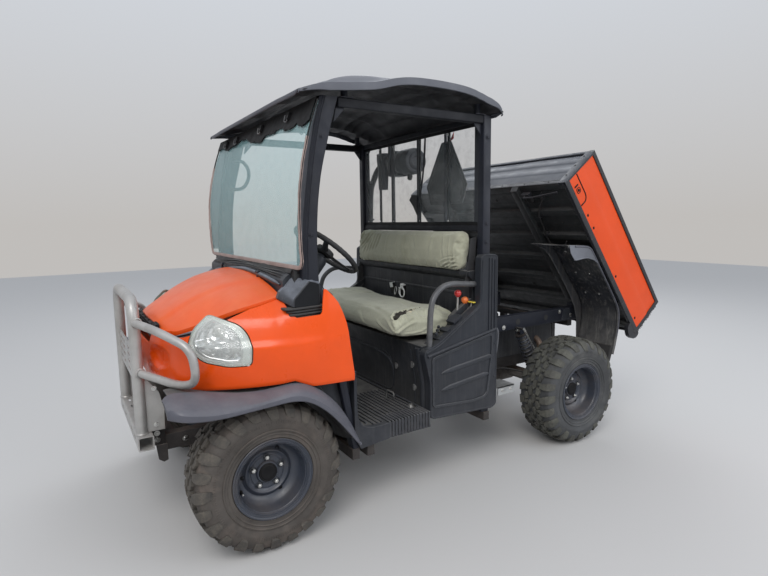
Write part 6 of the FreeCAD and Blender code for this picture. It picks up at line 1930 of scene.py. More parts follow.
def build_backrest():
    g = Geo()
    rows = []
    n = 60
    for k in range(n):
        x = -0.546 + 1.092 * k / (n - 1)
        a = abs(x)
        # rounded corners in the front view
        q = min(1.0, max(0.0, (a - 0.474) / 0.072))
        cut_top = 0.046 * (1 - math.sqrt(max(0.0, 1 - q * q)))
        cut_low = 0.034 * (1 - math.sqrt(max(0.0, 1 - q * q)))
        pull = 0.004 * math.sin(math.pi * min(1.0, (0.546 - a) / 0.45))
        z0, z1 = 1.076 + cut_low + pull * 0.5, 1.298 - cut_top - pull * 0.6
        zi = max(1.0905, z0 + 0.004)
        e = min(1.0, (0.546 - a) / 0.040)
        e = math.sqrt(max(0.0, 1 - (1 - e) ** 2))
        f0, f1 = 1.112 + 0.018 * (1 - e), 1.126 + 0.016 * (1 - e)       # front face, low and high
        b0, b1 = 1.168 - 0.012 * (1 - e), 1.177 - 0.012 * (1 - e)
        zm = (z0 + z1) / 2
        sec = [(1.1265, zi), (1.1255, z0 + 0.0035), (f0 + 0.008, z0), (f0 - 0.001, z0 + 0.004), (f0 - 0.004, z0 + 0.016), (f0 - 0.008, z0 + 0.050), (f0 - 0.007, zm), (f1 - 0.010, z1 - 0.050), (f1 - 0.004, z1 - 0.016), (f1 + 0.008, z1 - 0.001),
               ((f1 + b1) / 2, z1 + 0.001), (b1 - 0.006, z1 - 0.002), (b1, z1 - 0.016), (b1 - 0.001, zm + 0.03), (b0, zm - 0.03), (b0 - 0.001, zi + 0.012), (b0 - 0.010, zi + 0.001), (1.140, zi)]
        rows.append([Vector((x, y, z)) for y, z in sec])
    g.rings(rows, 0)
    ob = make("backrest_cover", g, ["canvas", "canvas_dark"], "vehicle", angle=180)
    remeshed(ob, 0.0068)
    swollen(ob, 0.009, 4.0, hold=lambda co: co[:, 1] + SH > 1.172)
    finer(ob)
    me = ob.data
    co = arr(me)
    no = arr(me, "normal")
    x, y, z = co[:, 0].copy(), co[:, 1] + SH, co[:, 2].copy()
    face = step((-no[:, 1] - 0.1) / 0.5)
    top = step((no[:, 2] - 0.3) / 0.4)
    d = 0.0030 * waves(x, z * 2, 5, 15.0) * (face + 0.6 * top)
    d += 0.0012 * waves(x, z, 12, 60.0) * face
    # fan of folds from the far top corner
    r = random.Random(21)
    for k in range(9):
        a = (-0.500 + 0.020 * k, 1.290)
        b = (-0.515 + 0.004 * k - 0.012 * (8 - k) * 0.3, 1.235 - 0.012 * abs(4 - k) - r.uniform(0.0, 0.03))
        d += crease(x, z, a, b, 0.0055, 0.0055, 1.0 if k % 2 else -1.0, 0.8) * face
    for k in range(5):
        a = (-0.380 + 0.030 * k, 1.285)
        b = (-0.470 + 0.042 * k, 1.135 + 0.010 * k)
        d += crease(x, z, a, b, 0.009, 0.0040, -1.0, 0.7) * face
    # upright folds near the middle and toward the near end
    for xa, xb, za, zb, w, h in ((0.020, 0.035, 1.285, 1.110, 0.006, 0.0045), (0.052, 0.060, 1.27, 1.12, 0.006, 0.0038), (0.085, 0.090, 1.24, 1.105, 0.005, 0.0035), (0.120, 0.150, 1.29, 1.20, 0.010, 0.0035),
                                 (-0.060, -0.040, 1.23, 1.11, 0.008, 0.0030), (-0.160, -0.175, 1.28, 1.15, 0.010, 0.0035), (0.300, 0.285, 1.28, 1.15, 0.012, 0.0035), (0.395, 0.420, 1.29, 1.13, 0.009, 0.0040),
                                 (0.450, 0.470, 1.26, 1.11, 0.007, 0.0045), (0.492, 0.500, 1.24, 1.12, 0.006, 0.0045)):
        d += crease(x, z, (xa, za), (xb, zb), w, h, 1.0, 0.7) * face
    # gathers at the near lower corner and along the lower hem
    for k in range(7):
        a = (0.535 - 0.004 * k, 1.100 + 0.011 * k)
        b = (0.430 - 0.012 * k, 1.094 + 0.006 * k * (k % 2))
        d += crease(x, z, a, b, 0.0045, 0.0038, 1.0 if k % 2 else -1.0, 0.7) * face
    for k in range(22):
        xa = -0.50 + 0.046 * k + r.uniform(-0.01, 0.01)
        d += crease(x, z, (xa, 1.080), (xa + r.uniform(-0.02, 0.02), 1.120 + r.uniform(0, 0.02)), 0.005, 0.0022, 1.0, 0.6) * face
    # seam along the top, hem along the lower edge and the far end
    d -= np.exp(-((z - 1.090) / 0.0020) ** 2) * face * 0.0020
    d -= np.exp(-((x + 0.505) / 0.0022) ** 2) * face * 0.0020 * step((1.27 - z) / 0.03)
    d -= np.exp(-((y - 1.150) / 0.0020) ** 2) * top * 0.0022
    co = co + no * d[:, None]
    put(me, co)
    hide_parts("backrest_cushion")


# ------------------------------------------------------------------ windshield
WS = smooth_line([(0.154, 1.160), (0.147, 1.300), (0.148, 1.427), (0.157, 1.520), (0.174, 1.615), (0.206, 1.735), (0.244, 1.838)], 61)


def ws_point(x, s, lift=0.0):
    """Place on the windshield, s from 0 at its foot to 60 at its head."""
    s = min(max(s, 0.0), 60.0)
    i = min(int(s), 59)
    p = WS[i].lerp(WS[i + 1], s - i)
    d = (WS[min(i + 1, 60)] - WS[max(i - 1, 0)]).normalized()
    out = Vector((-d.y, d.x))
    if out.x > 0:
        out = -out
    bow = -0.004 * (1 - (x / 0.703) ** 2) * math.sin(math.pi * s / 60)
    q = p + out * (lift - bow)
    return Vector((x, q.x, q.y))


def ws_half(s):
    length = 0.69
    a = s / 60.0 * length
    w = 0.703
    for r, d in ((0.045, a), (0.022, length - a)):
        if d < r:
            w = min(w, 0.703 - r + math.sqrt(max(0.0, r * r - (r - d) ** 2)))
    return w


def edge_path():
    """Outline of the windshield from its head on the left, round the foot, to its head on the right."""
    pts = []
    s_list = [60 - 1.0 * k for k in range(56)] + [4 - 0.4 * k for k in range(11)]
    for s in s_list:
        pts.append((ws_half(s), s))
    foot = [(0.62 - 0.04 * k, 0.0) for k in range(32)]
    pts += [(x, s) for x, s in foot]
    pts += [(-ws_half(s), s) for s in s_list[::-1]]
    return pts


def build_windshield():
    g = Geo()
    rows = []
    for k in range(61):
        s = float(k)
        if k < 5:
            s = k * 0.9 + 0.02 * (k == 0)
        w = ws_half(s)
        rows.append([ws_point(-w + 2 * w * j / 48.0, s) for j in range(49)])
    g.rings(rows, 0, close=False, ends=False)
    ob = make("windshield_sheet", g, "glass", "vehicle", solid=0.004)
    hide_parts("windshield")
    # black edge all the way round
    g = Geo()
    path = edge_path()
    line = [ws_point(x, s, 0.001) for x, s in path]
    g.tube(line, 0.0036, 8, 0)
    make("windshield_edge", g, "seal", "vehicle")
    # dusty trim along the foot and up both sides
    g = Geo()
    n = len(path)
    rows = []
    for i, (x, s) in enumerate(path):
        if s > 46:
            continue
        a, b = path[max(i - 1, 0)], path[min(i + 1, n - 1)]
        d = Vector(((b[0] - a[0]), (b[1] - a[1]) * 0.0115)).normalized()
        inn = Vector((-d.y, d.x))
        if inn.dot(Vector((-x, 0.35 - s * 0.0115))) < 0:
            inn = -inn
        fade = min(1.0, max(0.45, (20 - s) / 12.0 + 0.45))
        w = 0.016 * fade
        wob = 0.0006 * math.sin(i * 1.7) + 0.0005 * math.sin(i * 0.63)
        q = lambda t, lift: ws_point(x + inn.x * t, s + inn.y * t / 0.0115, lift + wob)
        rows.append([q(-0.002, -0.004), q(-0.003, 0.004), q(0.0, 0.0065), q(w * 0.6, 0.006), q(w, 0.0025), q(w, -0.001)])
    g.rings(rows, 0)
    make("windshield_trim", g, "trim_rubber", "vehicle", angle=50)
    # ragged seal along the head, with catches
    g = Geo()
    r = random.Random(4)
    top, low = [], []
    n = 90
    for k in range(n):
        x = -0.700 + 1.40 * k / (n - 1)
        drop = curve1([(-0.70, 0.060), (-0.58, 0.048), (-0.50, 0.082), (-0.42, 0.070), (-0.35, 0.068), (-0.24, 0.052), (-0.12, 0.058), (-0.04, 0.090), (0.06, 0.104), (0.13, 0.116), (0.19, 0.088),
                       (0.30, 0.094), (0.38, 0.078), (0.45, 0.108), (0.56, 0.092), (0.64, 0.112), (0.70, 0.100)], x) + r.uniform(-0.006, 0.006)
        s_low = 60 - drop / 0.0115
        top.append(ws_point(x, 60.0, 0.0085))
        low.append(ws_point(x, s_low, 0.0085 + 0.002 * math.sin(x * 31)))
    back_low = [p + Vector((0, 0.010, 0.001)) for p in low]
    back_top = [p + Vector((0, 0.012, 0.002)) for p in top]
    g.rings([top, low, back_low, back_top], 0, close=False, ends=False, loop=True)
    for x in (-0.50, -0.30, 0.10, 0.45):
        p = ws_point(x, 56.5, 0.010)
        g.box(p.x - 0.020, p.x + 0.020, p.y - 0.012, p.y + 0.010, p.z - 0.020, p.z + 0.014, 0, turn=Matrix.Rotation(math.radians(-20), 3, "X"))
        g.tube([p + Vector((-0.012, -0.012, 0.005)), p + Vector((-0.014, -0.018, -0.022)), p + Vector((0.010, -0.016, -0.026)), p + Vector((0.012, -0.010, 0.0))], 0.003, 8, 1, bend=0.008)
    make("windshield_head_seal", g, ["seal", "worn_tube"], "vehicle", angle=50)
    # rounded gasket between each side of the sheet and its post, small coil of cable near the head
    g = Geo()
    for sd in (1, -1):
        rows = []
        for k in range(48):
            s_at = 3.0 + 54.0 * k / 47.0
            p = ws_point(sd * 0.699, s_at, 0.0)
            f = curve1([(z, y) for y, z in A_FRONT], p.z)
            a = Vector((sd * 0.6985, p.y + 0.0045, p.z))
            b = Vector((sd * 0.6420, max(f + 0.003, p.y + 0.012), p.z))
            m = (a + b) / 2 + Vector((sd * 0.008, -0.004, 0))
            rows.append([a, a.lerp(m, 0.55) + Vector((sd * 0.002, -0.002, 0)), m, m.lerp(b, 0.5) + Vector((sd * 0.003, -0.003, 0)), b, b + Vector((-sd * 0.012, 0.004, 0)), a + Vector((-sd * 0.014, 0.004, 0))])
        g.rings(rows, 0)
    make("windshield_side_gaskets", g, "gasket", "vehicle", angle=70)
    g = Geo()
    coil = []
    for k in range(70):
        a = k * 0.55
        coil.append((0.555 - 0.0016 * k, 0.275 + 0.010 * math.cos(a), 1.800 - 0.0008 * k + 0.014 * math.sin(a)))
    g.tube(coil, 0.0028, 6, 0)
    make("head_cable", g, "worn_tube", "vehicle")


# ------------------------------------------------------------------ roof canopy
ROOF_E = [(0.170, 1.868), (0.256, 1.893), (0.386, 1.914), (0.514, 1.932), (0.620, 1.960), (0.693, 1.971), (0.769, 1.975), (0.887, 1.975), (1.012, 1.967), (1.100, 1.948),
          (1.190, 1.918), (1.262, 1.876)]
ROOF_C = [(0.170, 1.872), (0.256, 1.905), (0.353, 1.953), (0.422, 1.990), (0.514, 2.016), (0.600, 2.0235), (0.680, 2.0245), (0.835, 2.0245), (1.004, 2.019), (1.100, 2.002),
          (1.190, 1.955), (1.262, 1.880)]


def roof_z(x, y):
    e = eased(ROOF_E, y)
    c = eased(ROOF_C, y)
    d = c - e
    ax = abs(x)
    z = eased([(0.0, c), (0.30, c), (0.46, c - 0.06 * d), (0.50, e + 0.80 * d), (0.56, e + 0.34 * d), (0.62, e + 0.20 * d), (0.68, e + 0.07 * d), (0.705, e)], ax)
    # raised middle panel
    k = min(1.0, max(0.0, (0.372 - ax) / 0.030))
    k = k * k * (3 - 2 * k)
    m = min(1.0, max(0.0, (y - 0.290) / 0.10)) * min(1.0, max(0.0, (1.215 - y) / 0.08))
    z += 0.008 * (k - 0.5) * m
    # ribs across the rear slope
    rear = min(1.0, max(0.0, (y - 1.02) / 0.05)) * min(1.0, max(0.0, (1.245 - y) / 0.02))
    side = min(1.0, max(0.0, (ax - 0.40) / 0.05)) * min(1.0, max(0.12, (0.69 - ax) / 0.06))
    z += 0.0045 * rear * side * math.sin(y * 2 * math.pi / 0.052)
    return z


def build_roof():
    g = Geo()
    ys = [0.170 + (1.262 - 0.170) * k / 88.0 for k in range(89)]
    n = 69
    rows = []
    for y in ys:
        row = []
        # the front and rear edges are narrower
        w = 0.705 * eased([(0.170, 0.955), (0.21, 0.985), (0.28, 1.0), (1.18, 1.0), (1.235, 0.985), (1.262, 0.955)], y)
        for j in range(n):
            t = -1 + 2.0 * j / (n - 1)
            t = math.sin(t * math.pi / 2) * 0.35 + t * 0.65
            x = t * w
            row.append(Vector((x, y, roof_z(x * 0.705 / w, y))))
        rows.append(row)
    out = []
    for row in rows:
        a, b = row[0], row[-1]
        k = 0.35 + 0.65 * min(1.0, max(0.0, (a.y - 0.17) / 0.12), max(0.0, (1.262 - a.y) / 0.10))
        lo = [Vector((a.x + 0.007, a.y, a.z - 0.032 * k)), Vector((a.x + 0.0005, a.y, a.z - 0.030 * k)), Vector((a.x - 0.001, a.y, a.z - 0.016 * k)), Vector((a.x, a.y, a.z - 0.003))]
        hi = [Vector((b.x, b.y, b.z - 0.003)), Vector((b.x + 0.001, b.y, b.z - 0.016 * k)), Vector((b.x - 0.0005, b.y, b.z - 0.030 * k)), Vector((b.x - 0.007, b.y, b.z - 0.032 * k))]
        out.append(lo + row + hi)

    def lip(base, dy, dz):
        m = len(base)
        return [Vector((p.x * 0.9985, p.y + dy, p.z + dz * min(1.0, max(0.0, min(i, m - 1 - i) - 3) / 4.0))) for i, p in enumerate(base)]
    front, rear = out[0], out[-1]
    out = [lip(front, 0.004, -0.017), lip(front, 0.0, -0.012), lip(front, -0.0002, -0.004)] + out + [lip(rear, 0.0002, -0.004), lip(rear, 0.0, -0.012), lip(rear, -0.004, -0.017)]
    g.rings(out, 0, close=False, ends=False)
    ob = make("roof_shell", g, "roof", "vehicle", solid=0.0045, angle=60)
    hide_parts("roof_canopy")
    # ribbed lining under the shell
    g = Geo()
    rows = []
    ys = [0.185 + (1.250 - 0.185) * k / 84.0 for k in range(85)]
    for y in ys:
        row = []
        for j in range(51):
            x = -0.692 + 1.384 * j / 50.0
            rib = 0.0
            for yc in (0.46, 0.64, 0.82, 1.00, 1.14):
                u = abs(y - yc) / 0.022
                if u < 1.6:
                    rib = max(rib, min(1.0, 1.6 - u))
            for xc in (0.0, 0.36, 0.56):
                u = abs(abs(x) - xc) / 0.020
                if u < 1.6:
                    rib = max(rib, min(1.0, 1.6 - u))
            fade = min(1.0, (0.692 - abs(x)) / 0.06) * min(1.0, (y - 0.185) / 0.06) * min(1.0, (1.250 - y) / 0.06)
            row.append(Vector((x, y, roof_z(x, y) - 0.0075 - 0.016 * rib * fade)))
        rows.append(row)
    g.rings(rows, 0, close=False, ends=False)
    make("roof_lining", g, "roof_in", "vehicle", solid=0.002, angle=70)
    # pads on the frame with posts up to the roof
    g = Geo()
    for s in (1, -1):
        for y in (0.405, 1.150):
            x = s * 0.611
            zt = roof_z(x, y)
            g.lathe([(0, 0.024), (0.004, 0.024), (0.006, 0.015), (zt - 1.866 - 0.010, 0.015)], (x, y, 1.866), (0, 0, 1), 22, 0)
            g.box(x - 0.028, x + 0.028, y - 0.032, y + 0.032, 1.8655, 1.8695, 0)
    make("roof_mounts", g, ["frame", "bright", "roof"], "vehicle", bevel=0.001)


# ------------------------------------------------------------------ roll frame
A_FRONT = [(0.176, 1.100), (0.1765, 1.237), (0.183, 1.356), (0.197, 1.474), (0.218, 1.620), (0.242, 1.743), (0.276, 1.862)]
A_REAR = [(0.252, 1.096), (0.250, 1.234), (0.254, 1.355), (0.265, 1.475), (0.282, 1.571), (0.309, 1.678), (0.335, 1.774), (0.363, 1.866)]


def build_posts():
    refine("roll_frame_posts", "frame", "vehicle", bevel=0.0045, seg=3)
    refine("roll_frame_bars", "frame_dark", "vehicle", bevel=0.005, seg=3)
    F = smooth_line(A_FRONT, 40)
    R = smooth_line(A_REAR, 40)
    g = Geo()
    for s in (1, -1):
        rows = []
        for f, r in zip(F, R):
            e = (r - f)
            w = e.length
            e = e / w
            # section from the front: rounded nose, groove, flat box, rounded rear
            sec = [(-0.001, 0.0), (0.001, 0.010), (0.0065, 0.0185), (0.013, 0.0275), (0.020, 0.0295), (0.0225, 0.0275), (0.0255, 0.0275), (0.028, 0.0300),
                   (w - 0.010, 0.0298), (w - 0.003, 0.0275), (w + 0.0005, 0.021), (w + 0.001, 0.0)]
            full = sec + [(a, -b) for a, b in sec[-2:0:-1]]
            row = []
            for a, b in full:
                p = f + e * a
                row.append(Vector((s * (0.612 + b), p.x, p.y)))
            rows.append(row)
        g.rings(rows, 0)
        # gasket between post and windshield
        lf = [Vector((s * 0.612, f.x - 0.004, f.y)) for f in F[2:-2]]
        g.tube(lf, 0.0065, 8, 1)
    make("front_post_covers", g, ["frame", "seal"], "vehicle", angle=35)
    g = Geo()
    # bolts and gusset plates
    for s in (1, -1):
        for y, z in ((0.302, 1.700), (0.240, 1.300)):
            g.bolt((s * 0.6425, y - 0.02, z), (s, 0, 0), 0.007, 0.005, 0)
        for z in (1.235, 1.330, 1.760):
            g.bolt((s * 0.634, 1.200, z), (s, 0, 0), 0.008, 0.006, 0)
        g.prism("YZ", rounded([(1.176, 1.826), (1.126, 1.826), (1.176, 1.765)], 0.006), s * 0.607, s * 0.615, 1)
        g.prism("YZ", rounded([(0.362, 1.826), (0.405, 1.826), (0.350, 1.765)], 0.006), s * 0.607, s * 0.615, 1)
        xa, xb = sorted((s * 0.588, s * 0.530))
        g.prism("XZ", rounded([(s * 0.588, 1.840), (s * 0.540, 1.840), (s * 0.588, 1.785)], 0.006), 1.2135, 1.2195, 1)
    # grip on the right front post
    pts = [(-0.585, 0.262, 1.722), (-0.585, 0.330, 1.719), (-0.585, 0.364, 1.672), (-0.585, 0.360, 1.612), (-0.585, 0.320, 1.560), (-0.585, 0.236, 1.551)]
    g.tube(smooth_line(pts, 36), 0.0105, 16, 2)
    for p in (pts[0], pts[-1]):
        g.lathe([(0, 0.020), (0.004, 0.020), (0.008, 0.013), (0.012, 0.011)], (p[0], p[1] + 0.018, p[2]), (0, 1, 0), 18, 2)
    g.box(-0.606, -0.580, 0.240, 0.268, 1.535, 1.570, 1)
    g.box(-0.606, -0.580, 0.262, 0.290, 1.705, 1.740, 1)
    make("frame_fittings", g, ["frame", "frame", "worn_tube"], "vehicle", bevel=0.0012)


def build_cowl():
    g = Geo()
    prof = rounded([(0.112, 1.050), (0.112, 1.118), (0.126, 1.134), (0.150, 1.150), (0.185, 1.143), (0.192, 1.110), (0.185, 1.050)], 0.008, 4)
    n = 41
    rows = []
    for k in range(n):
        x = -0.578 + 1.156 * k / (n - 1)
        sag = -0.006 * (abs(x) / 0.578) ** 2
        rows.append([Vector((x, y, z + (sag if z > 1.10 else 0.0) - (0.0025 * math.sin(x * 14) if z > 1.12 else 0))) for y, z in prof])
    g.rings(rows, 0)
    ob = make("cowl_cover", g, "plastic_worn", "vehicle", bevel=0.0)
    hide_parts("cowl")
    # curved ridges and the rubber lip behind the hood, vents with their slats
    g = Geo()
    thick = smooth_line([(-0.540, 1.066), (-0.480, 1.080), (-0.400, 1.090), (-0.274, 1.100), (-0.100, 1.116), (0.067, 1.126), (0.200, 1.124), (0.330, 1.117), (0.450, 1.106), (0.552, 1.092)], 60)
    g.tube([(p.x, 0.1130 - 0.010 * (1 - min(1.0, (1.126 - p.y) / 0.05)) + 0.002 * math.sin(p.x * 11), p.y) for p in thick], lambda t: 0.0100 * (0.35 + 0.65 * min(1.0, t / 0.05, (1 - t) / 0.05)), 12, 2)
    for k, (y, z, r) in enumerate(((0.1145, 1.1375, 0.0036), (0.1260, 1.1440, 0.0034), (0.140, 1.1485, 0.0032))):
        pts = []
        for j in range(60):
            x = -0.552 + 1.104 * j / 59.0
            dip = 0.010 * math.exp(-((x - 0.16) / 0.10) ** 2) + 0.006 * math.exp(-((x + 0.22) / 0.14) ** 2)
            pts.append((x, y + 0.004 * math.sin(x * 6 + k) - dip * 0.5, z - 0.007 * (abs(x) / 0.56) ** 2 + 0.0035 * math.sin(x * 9 + 1.3 * k) + dip * 0.35))
        pts = [(x, y + 0.010 * max(0.0, (abs(x) - 0.50) / 0.052) ** 2, z - 0.014 * max(0.0, (abs(x) - 0.50) / 0.052) ** 2) for x, y, z in pts]
        g.tube(pts, lambda t, r=r: r * (0.35 + 0.65 * min(1.0, t / 0.06, (1 - t) / 0.06)), 9, 0 if k else 1)
    for s in (1, -1):
        for j in range(7):
            x = s * (0.245 + 0.034 * j)
            g.box(x - 0.011, x + 0.011, 0.1500, 0.1760, 1.1455 - 0.0008 * j, 1.1515 - 0.0008 * j, 0)
    # rubber mat that hangs from the windshield foot to the cowl
    rows = []
    for j in range(50):
        x = -0.600 + 1.2 * j / 49.0
        w = 0.0025 * math.sin(x * 17.0) + 0.0015 * math.sin(x * 41.0)
        rows.append([Vector((x, 0.152 + w * 0.5, 1.166)), Vector((x, 0.146 + w, 1.153)), Vector((x, 0.141 + w, 1.143)), Vector((x, 0.144 + w, 1.1425)), Vector((x, 0.150 + w, 1.153)), Vector((x, 0.156, 1.166))])
    g.rings(rows, 1)
    for s in (1, -1):
        g.box(*sorted((s * 0.540, s * 0.614)), 0.150, 0.176, 1.100, 1.166, 1)
    make("cowl_ridges", g, ["plastic_low", "rubber", "cover"], "vehicle", bevel=0.0)
    # faceted covers round the feet of the front posts, and their layered rubber boots
    g = Geo()
    for s in (1, -1):
        inner = [(0.082, 1.040), (0.093, 1.068), (0.112, 1.084), (0.155, 1.127), (0.205, 1.1275), (0.262, 1.1195), (0.2575, 1.044), (0.263, 0.986), (0.166, 0.966), (0.116, 1.003)]
        outer = [(0.124, 1.006), (0.1245, 1.030), (0.127, 1.042), (0.197, 1.113), (0.222, 1.107), (0.242, 1.098), (0.2430, 1.044), (0.243, 1.006), (0.200, 1.002), (0.150, 1.001)]
        rows = []
        for x, t, d in ((0.562, 0.0, 0.008), (0.566, 0.0, 0.001), (0.590, 0.02, 0.0), (0.662, 0.94, 0.0005), (0.6645, 1.0, 0.004)):
            line = [(a[0] + (b[0] - a[0]) * t, a[1] + (b[1] - a[1]) * t) for a, b in zip(inner, outer)]
            rows.append([Vector((s * x, y, z)) for y, z in shrunk(line, d)])
        g.rings(rows[::1], 0)
        # dark outer plate
        g.prism("YZ", shrunk(outer, 0.0035), *sorted((s * 0.6635, s * 0.6662)), 1)
    make("post_covers", g, ["cover", "plastic_dark"], "vehicle", bevel=0.0020, seg=2, angle=25)
    g = Geo()
    for s in (1, -1):
        for k in range(4):
            grow = 0.0045 + 0.0035 * (k % 2 == 0)
            x0, x1 = 0.566 - grow, 0.6635 + grow
            y0, y1 = 0.093 + 0.010 * k - grow, 0.2600 + grow
            line = rounded([(x0, y0), (x1 - 0.012, y0), (x1, y0 + 0.030), (x1, y1), (x0, y1)], 0.010, 3)
            rows = []
            for dz, shr in ((0.000, 0.003), (-0.003, 0.0), (-0.0075, 0.0), (-0.0105, 0.003)):
                rows.append([Vector((s * x, y, 1.0060 - 0.0125 * k + dz + 0.02 * (y - 0.124))) for x, y in shrunk(line, shr)])
            g.rings(rows, 0)
    make("post_boots", g, "rubber", "vehicle", angle=45)


# ------------------------------------------------------------------ rear screen, sign, air cleaner
def build_screen():
    g = Geo()
    rows = []
    for k in range(31):
        z = 1.325 + 0.509 * k / 30.0
        row = []
        for j in range(75):
            x = -0.580 + 1.16 * j / 74.0
            # the clear panels sag and wave between the bars
            w = 0.0035 * math.sin(x * 21.0 + z * 3.0) * math.sin((z - 1.325) * math.pi / 0.509) + 0.002 * math.sin(x * 47.0 - z * 11.0)
            row.append(Vector((x, 1.197 + w, z)))
        rows.append(row)
    g.rings(rows, 0, close=False, ends=False)
    ob = make("screen_sheets", g, "screen", "vehicle", solid=0.0012)
    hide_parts("rear_screen")
    g = Geo()
    for x, mat in ((-0.560, 0), (-0.400, 0), (-0.238, 1), (0.045, 0), (0.321, 0), (0.560, 0)):
        wide = 0.008
        bend = 0.0015 * math.sin(x * 31)
        rr = []
        for z in (1.321, 1.45, 1.62, 1.840):
            c = x + bend * math.sin((z - 1.32) * 6)
            rr.append([Vector((c - wide, 1.2015, z)), Vector((c + wide, 1.2015, z)), Vector((c + wide, 1.212, z)), Vector((c - wide, 1.212, z))])
        g.rings(rr, mat)
        for z in (1.345, 1.818):
            g.bolt((x, 1.2015, z), (0, -1, 0), 0.0045, 0.004, 2)
    for z0, z1 in ((1.317, 1.341), (1.824, 1.842)):
        g.box(-0.584, 0.584, 1.1925, 1.1995, z0, z1, 0)
    # hem tapes on the panels
    for x0, x1 in ((-0.578, -0.560), (0.548, 0.578), (-0.245, -0.231), (0.036, 0.055)):
        g.box(x0, x1, 1.1915, 1.1945, 1.340, 1.824, 3)
    make("screen_bars", g, ["seal", "worn_tube", "bright", "plastic_worn"], "vehicle", bevel=0.0012)
    # slack strap and torn strip beside the middle bar
    g = Geo()
    pts = smooth_line([(0.128, 1.186, 1.826), (0.120, 1.184, 1.700), (0.096, 1.184, 1.560), (0.064, 1.182, 1.440), (0.045, 1.184, 1.335)], 44)
    rr = []
    for i, p in enumerate(pts):
        t = i / 43.0
        w = 0.0068 - 0.002 * t
        tw = 0.9 * math.sin(t * 5.0)
        d = Vector((math.cos(tw), math.sin(tw) * 0.6, 0)) * w
        rr.append([p + d, p + d + Vector((0, 0.0016, 0)), p - d + Vector((0, 0.0016, 0)), p - d])
    g.rings(rr, 0)
    rr = []
    for p, w in (((0.018, 1.184, 1.500), 0.030), ((0.010, 1.178, 1.470), 0.040), ((0.030, 1.180, 1.430), 0.022), ((0.050, 1.184, 1.380), 0.012)):
        p = Vector(p)
        rr.append([p + Vector((-w, 0.003, 0.004)), p + Vector((w, 0, -0.004)), p + Vector((w, 0.0015, -0.004)), p + Vector((-w, 0.0045, 0.004))])
    g.rings(rr, 0)
    make("screen_strap", g, "webbing", "vehicle", angle=60)


def build_sign():
    out = [(0.215, 1.788), (0.300, 1.788), (0.438, 1.545), (0.398, 1.440), (0.112, 1.440), (0.072, 1.548)]
    line = rounded(out, 0.006, 3)
    g = Geo()
    rows = []
    for y, d in ((1.2385, 0.0012), (1.2380, 0.0), (1.2420, 0.0), (1.2415, 0.0012)):
        rows.append([Vector((x, y, z)) for x, z in shrunk(line, d)])
    g.rings(rows[:3], 0)
    # pressed border line on the back
    a = shrunk(line, 0.020)
    g.tube([(x, 1.2378, z) for x, z in a] + [(a[0][0], 1.2378, a[0][1])], 0.0016, 6, 0)
    # front: inner field and border of another colour, no lettering
    g.prism("XZ", shrunk(line, 0.001), 1.2422, 1.2430, 2)
    g.prism("XZ", shrunk(line, 0.030), 1.2431, 1.2438, 1)
    # stem, cross strap and bolts on the back
    g.box(0.2500, 0.2660, 1.2290, 1.2375, 1.335, 1.836, 3)
    g.box(0.2460, 0.2700, 1.2270, 1.2295, 1.40, 1.46, 3)
    g.box(0.228, 0.316, 1.2335, 1.2372, 1.640, 1.652, 3)
    for z in (1.470, 1.555, 1.640, 1.745):
        g.bolt((0.258, 1.2290, z), (0, -1, 0), 0.006, 0.005, 3)
    # bent tip at the head
    tip = [Vector((0.286, 1.236, 1.782)), Vector((0.330, 1.230, 1.796)), Vector((0.341, 1.222, 1.828))]
    g.add([tip[0], tip[1], tip[2], tip[0] + Vector((0, 0.003, 0)), tip[1] + Vector((0, 0.003, 0)), tip[2] + Vector((0, 0.003, 0))],
          [[0, 1, 2], [5, 4, 3], [0, 3, 4, 1], [1, 4, 5, 2], [2, 5, 3, 0]], 2)
    ob = make("sign_plate", g, ["sign", "sign_face", "sign_edge", "frame", "bright"], "vehicle", bevel=0.0006, seg=1, weld=False)
    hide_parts("warning_sign_plate")


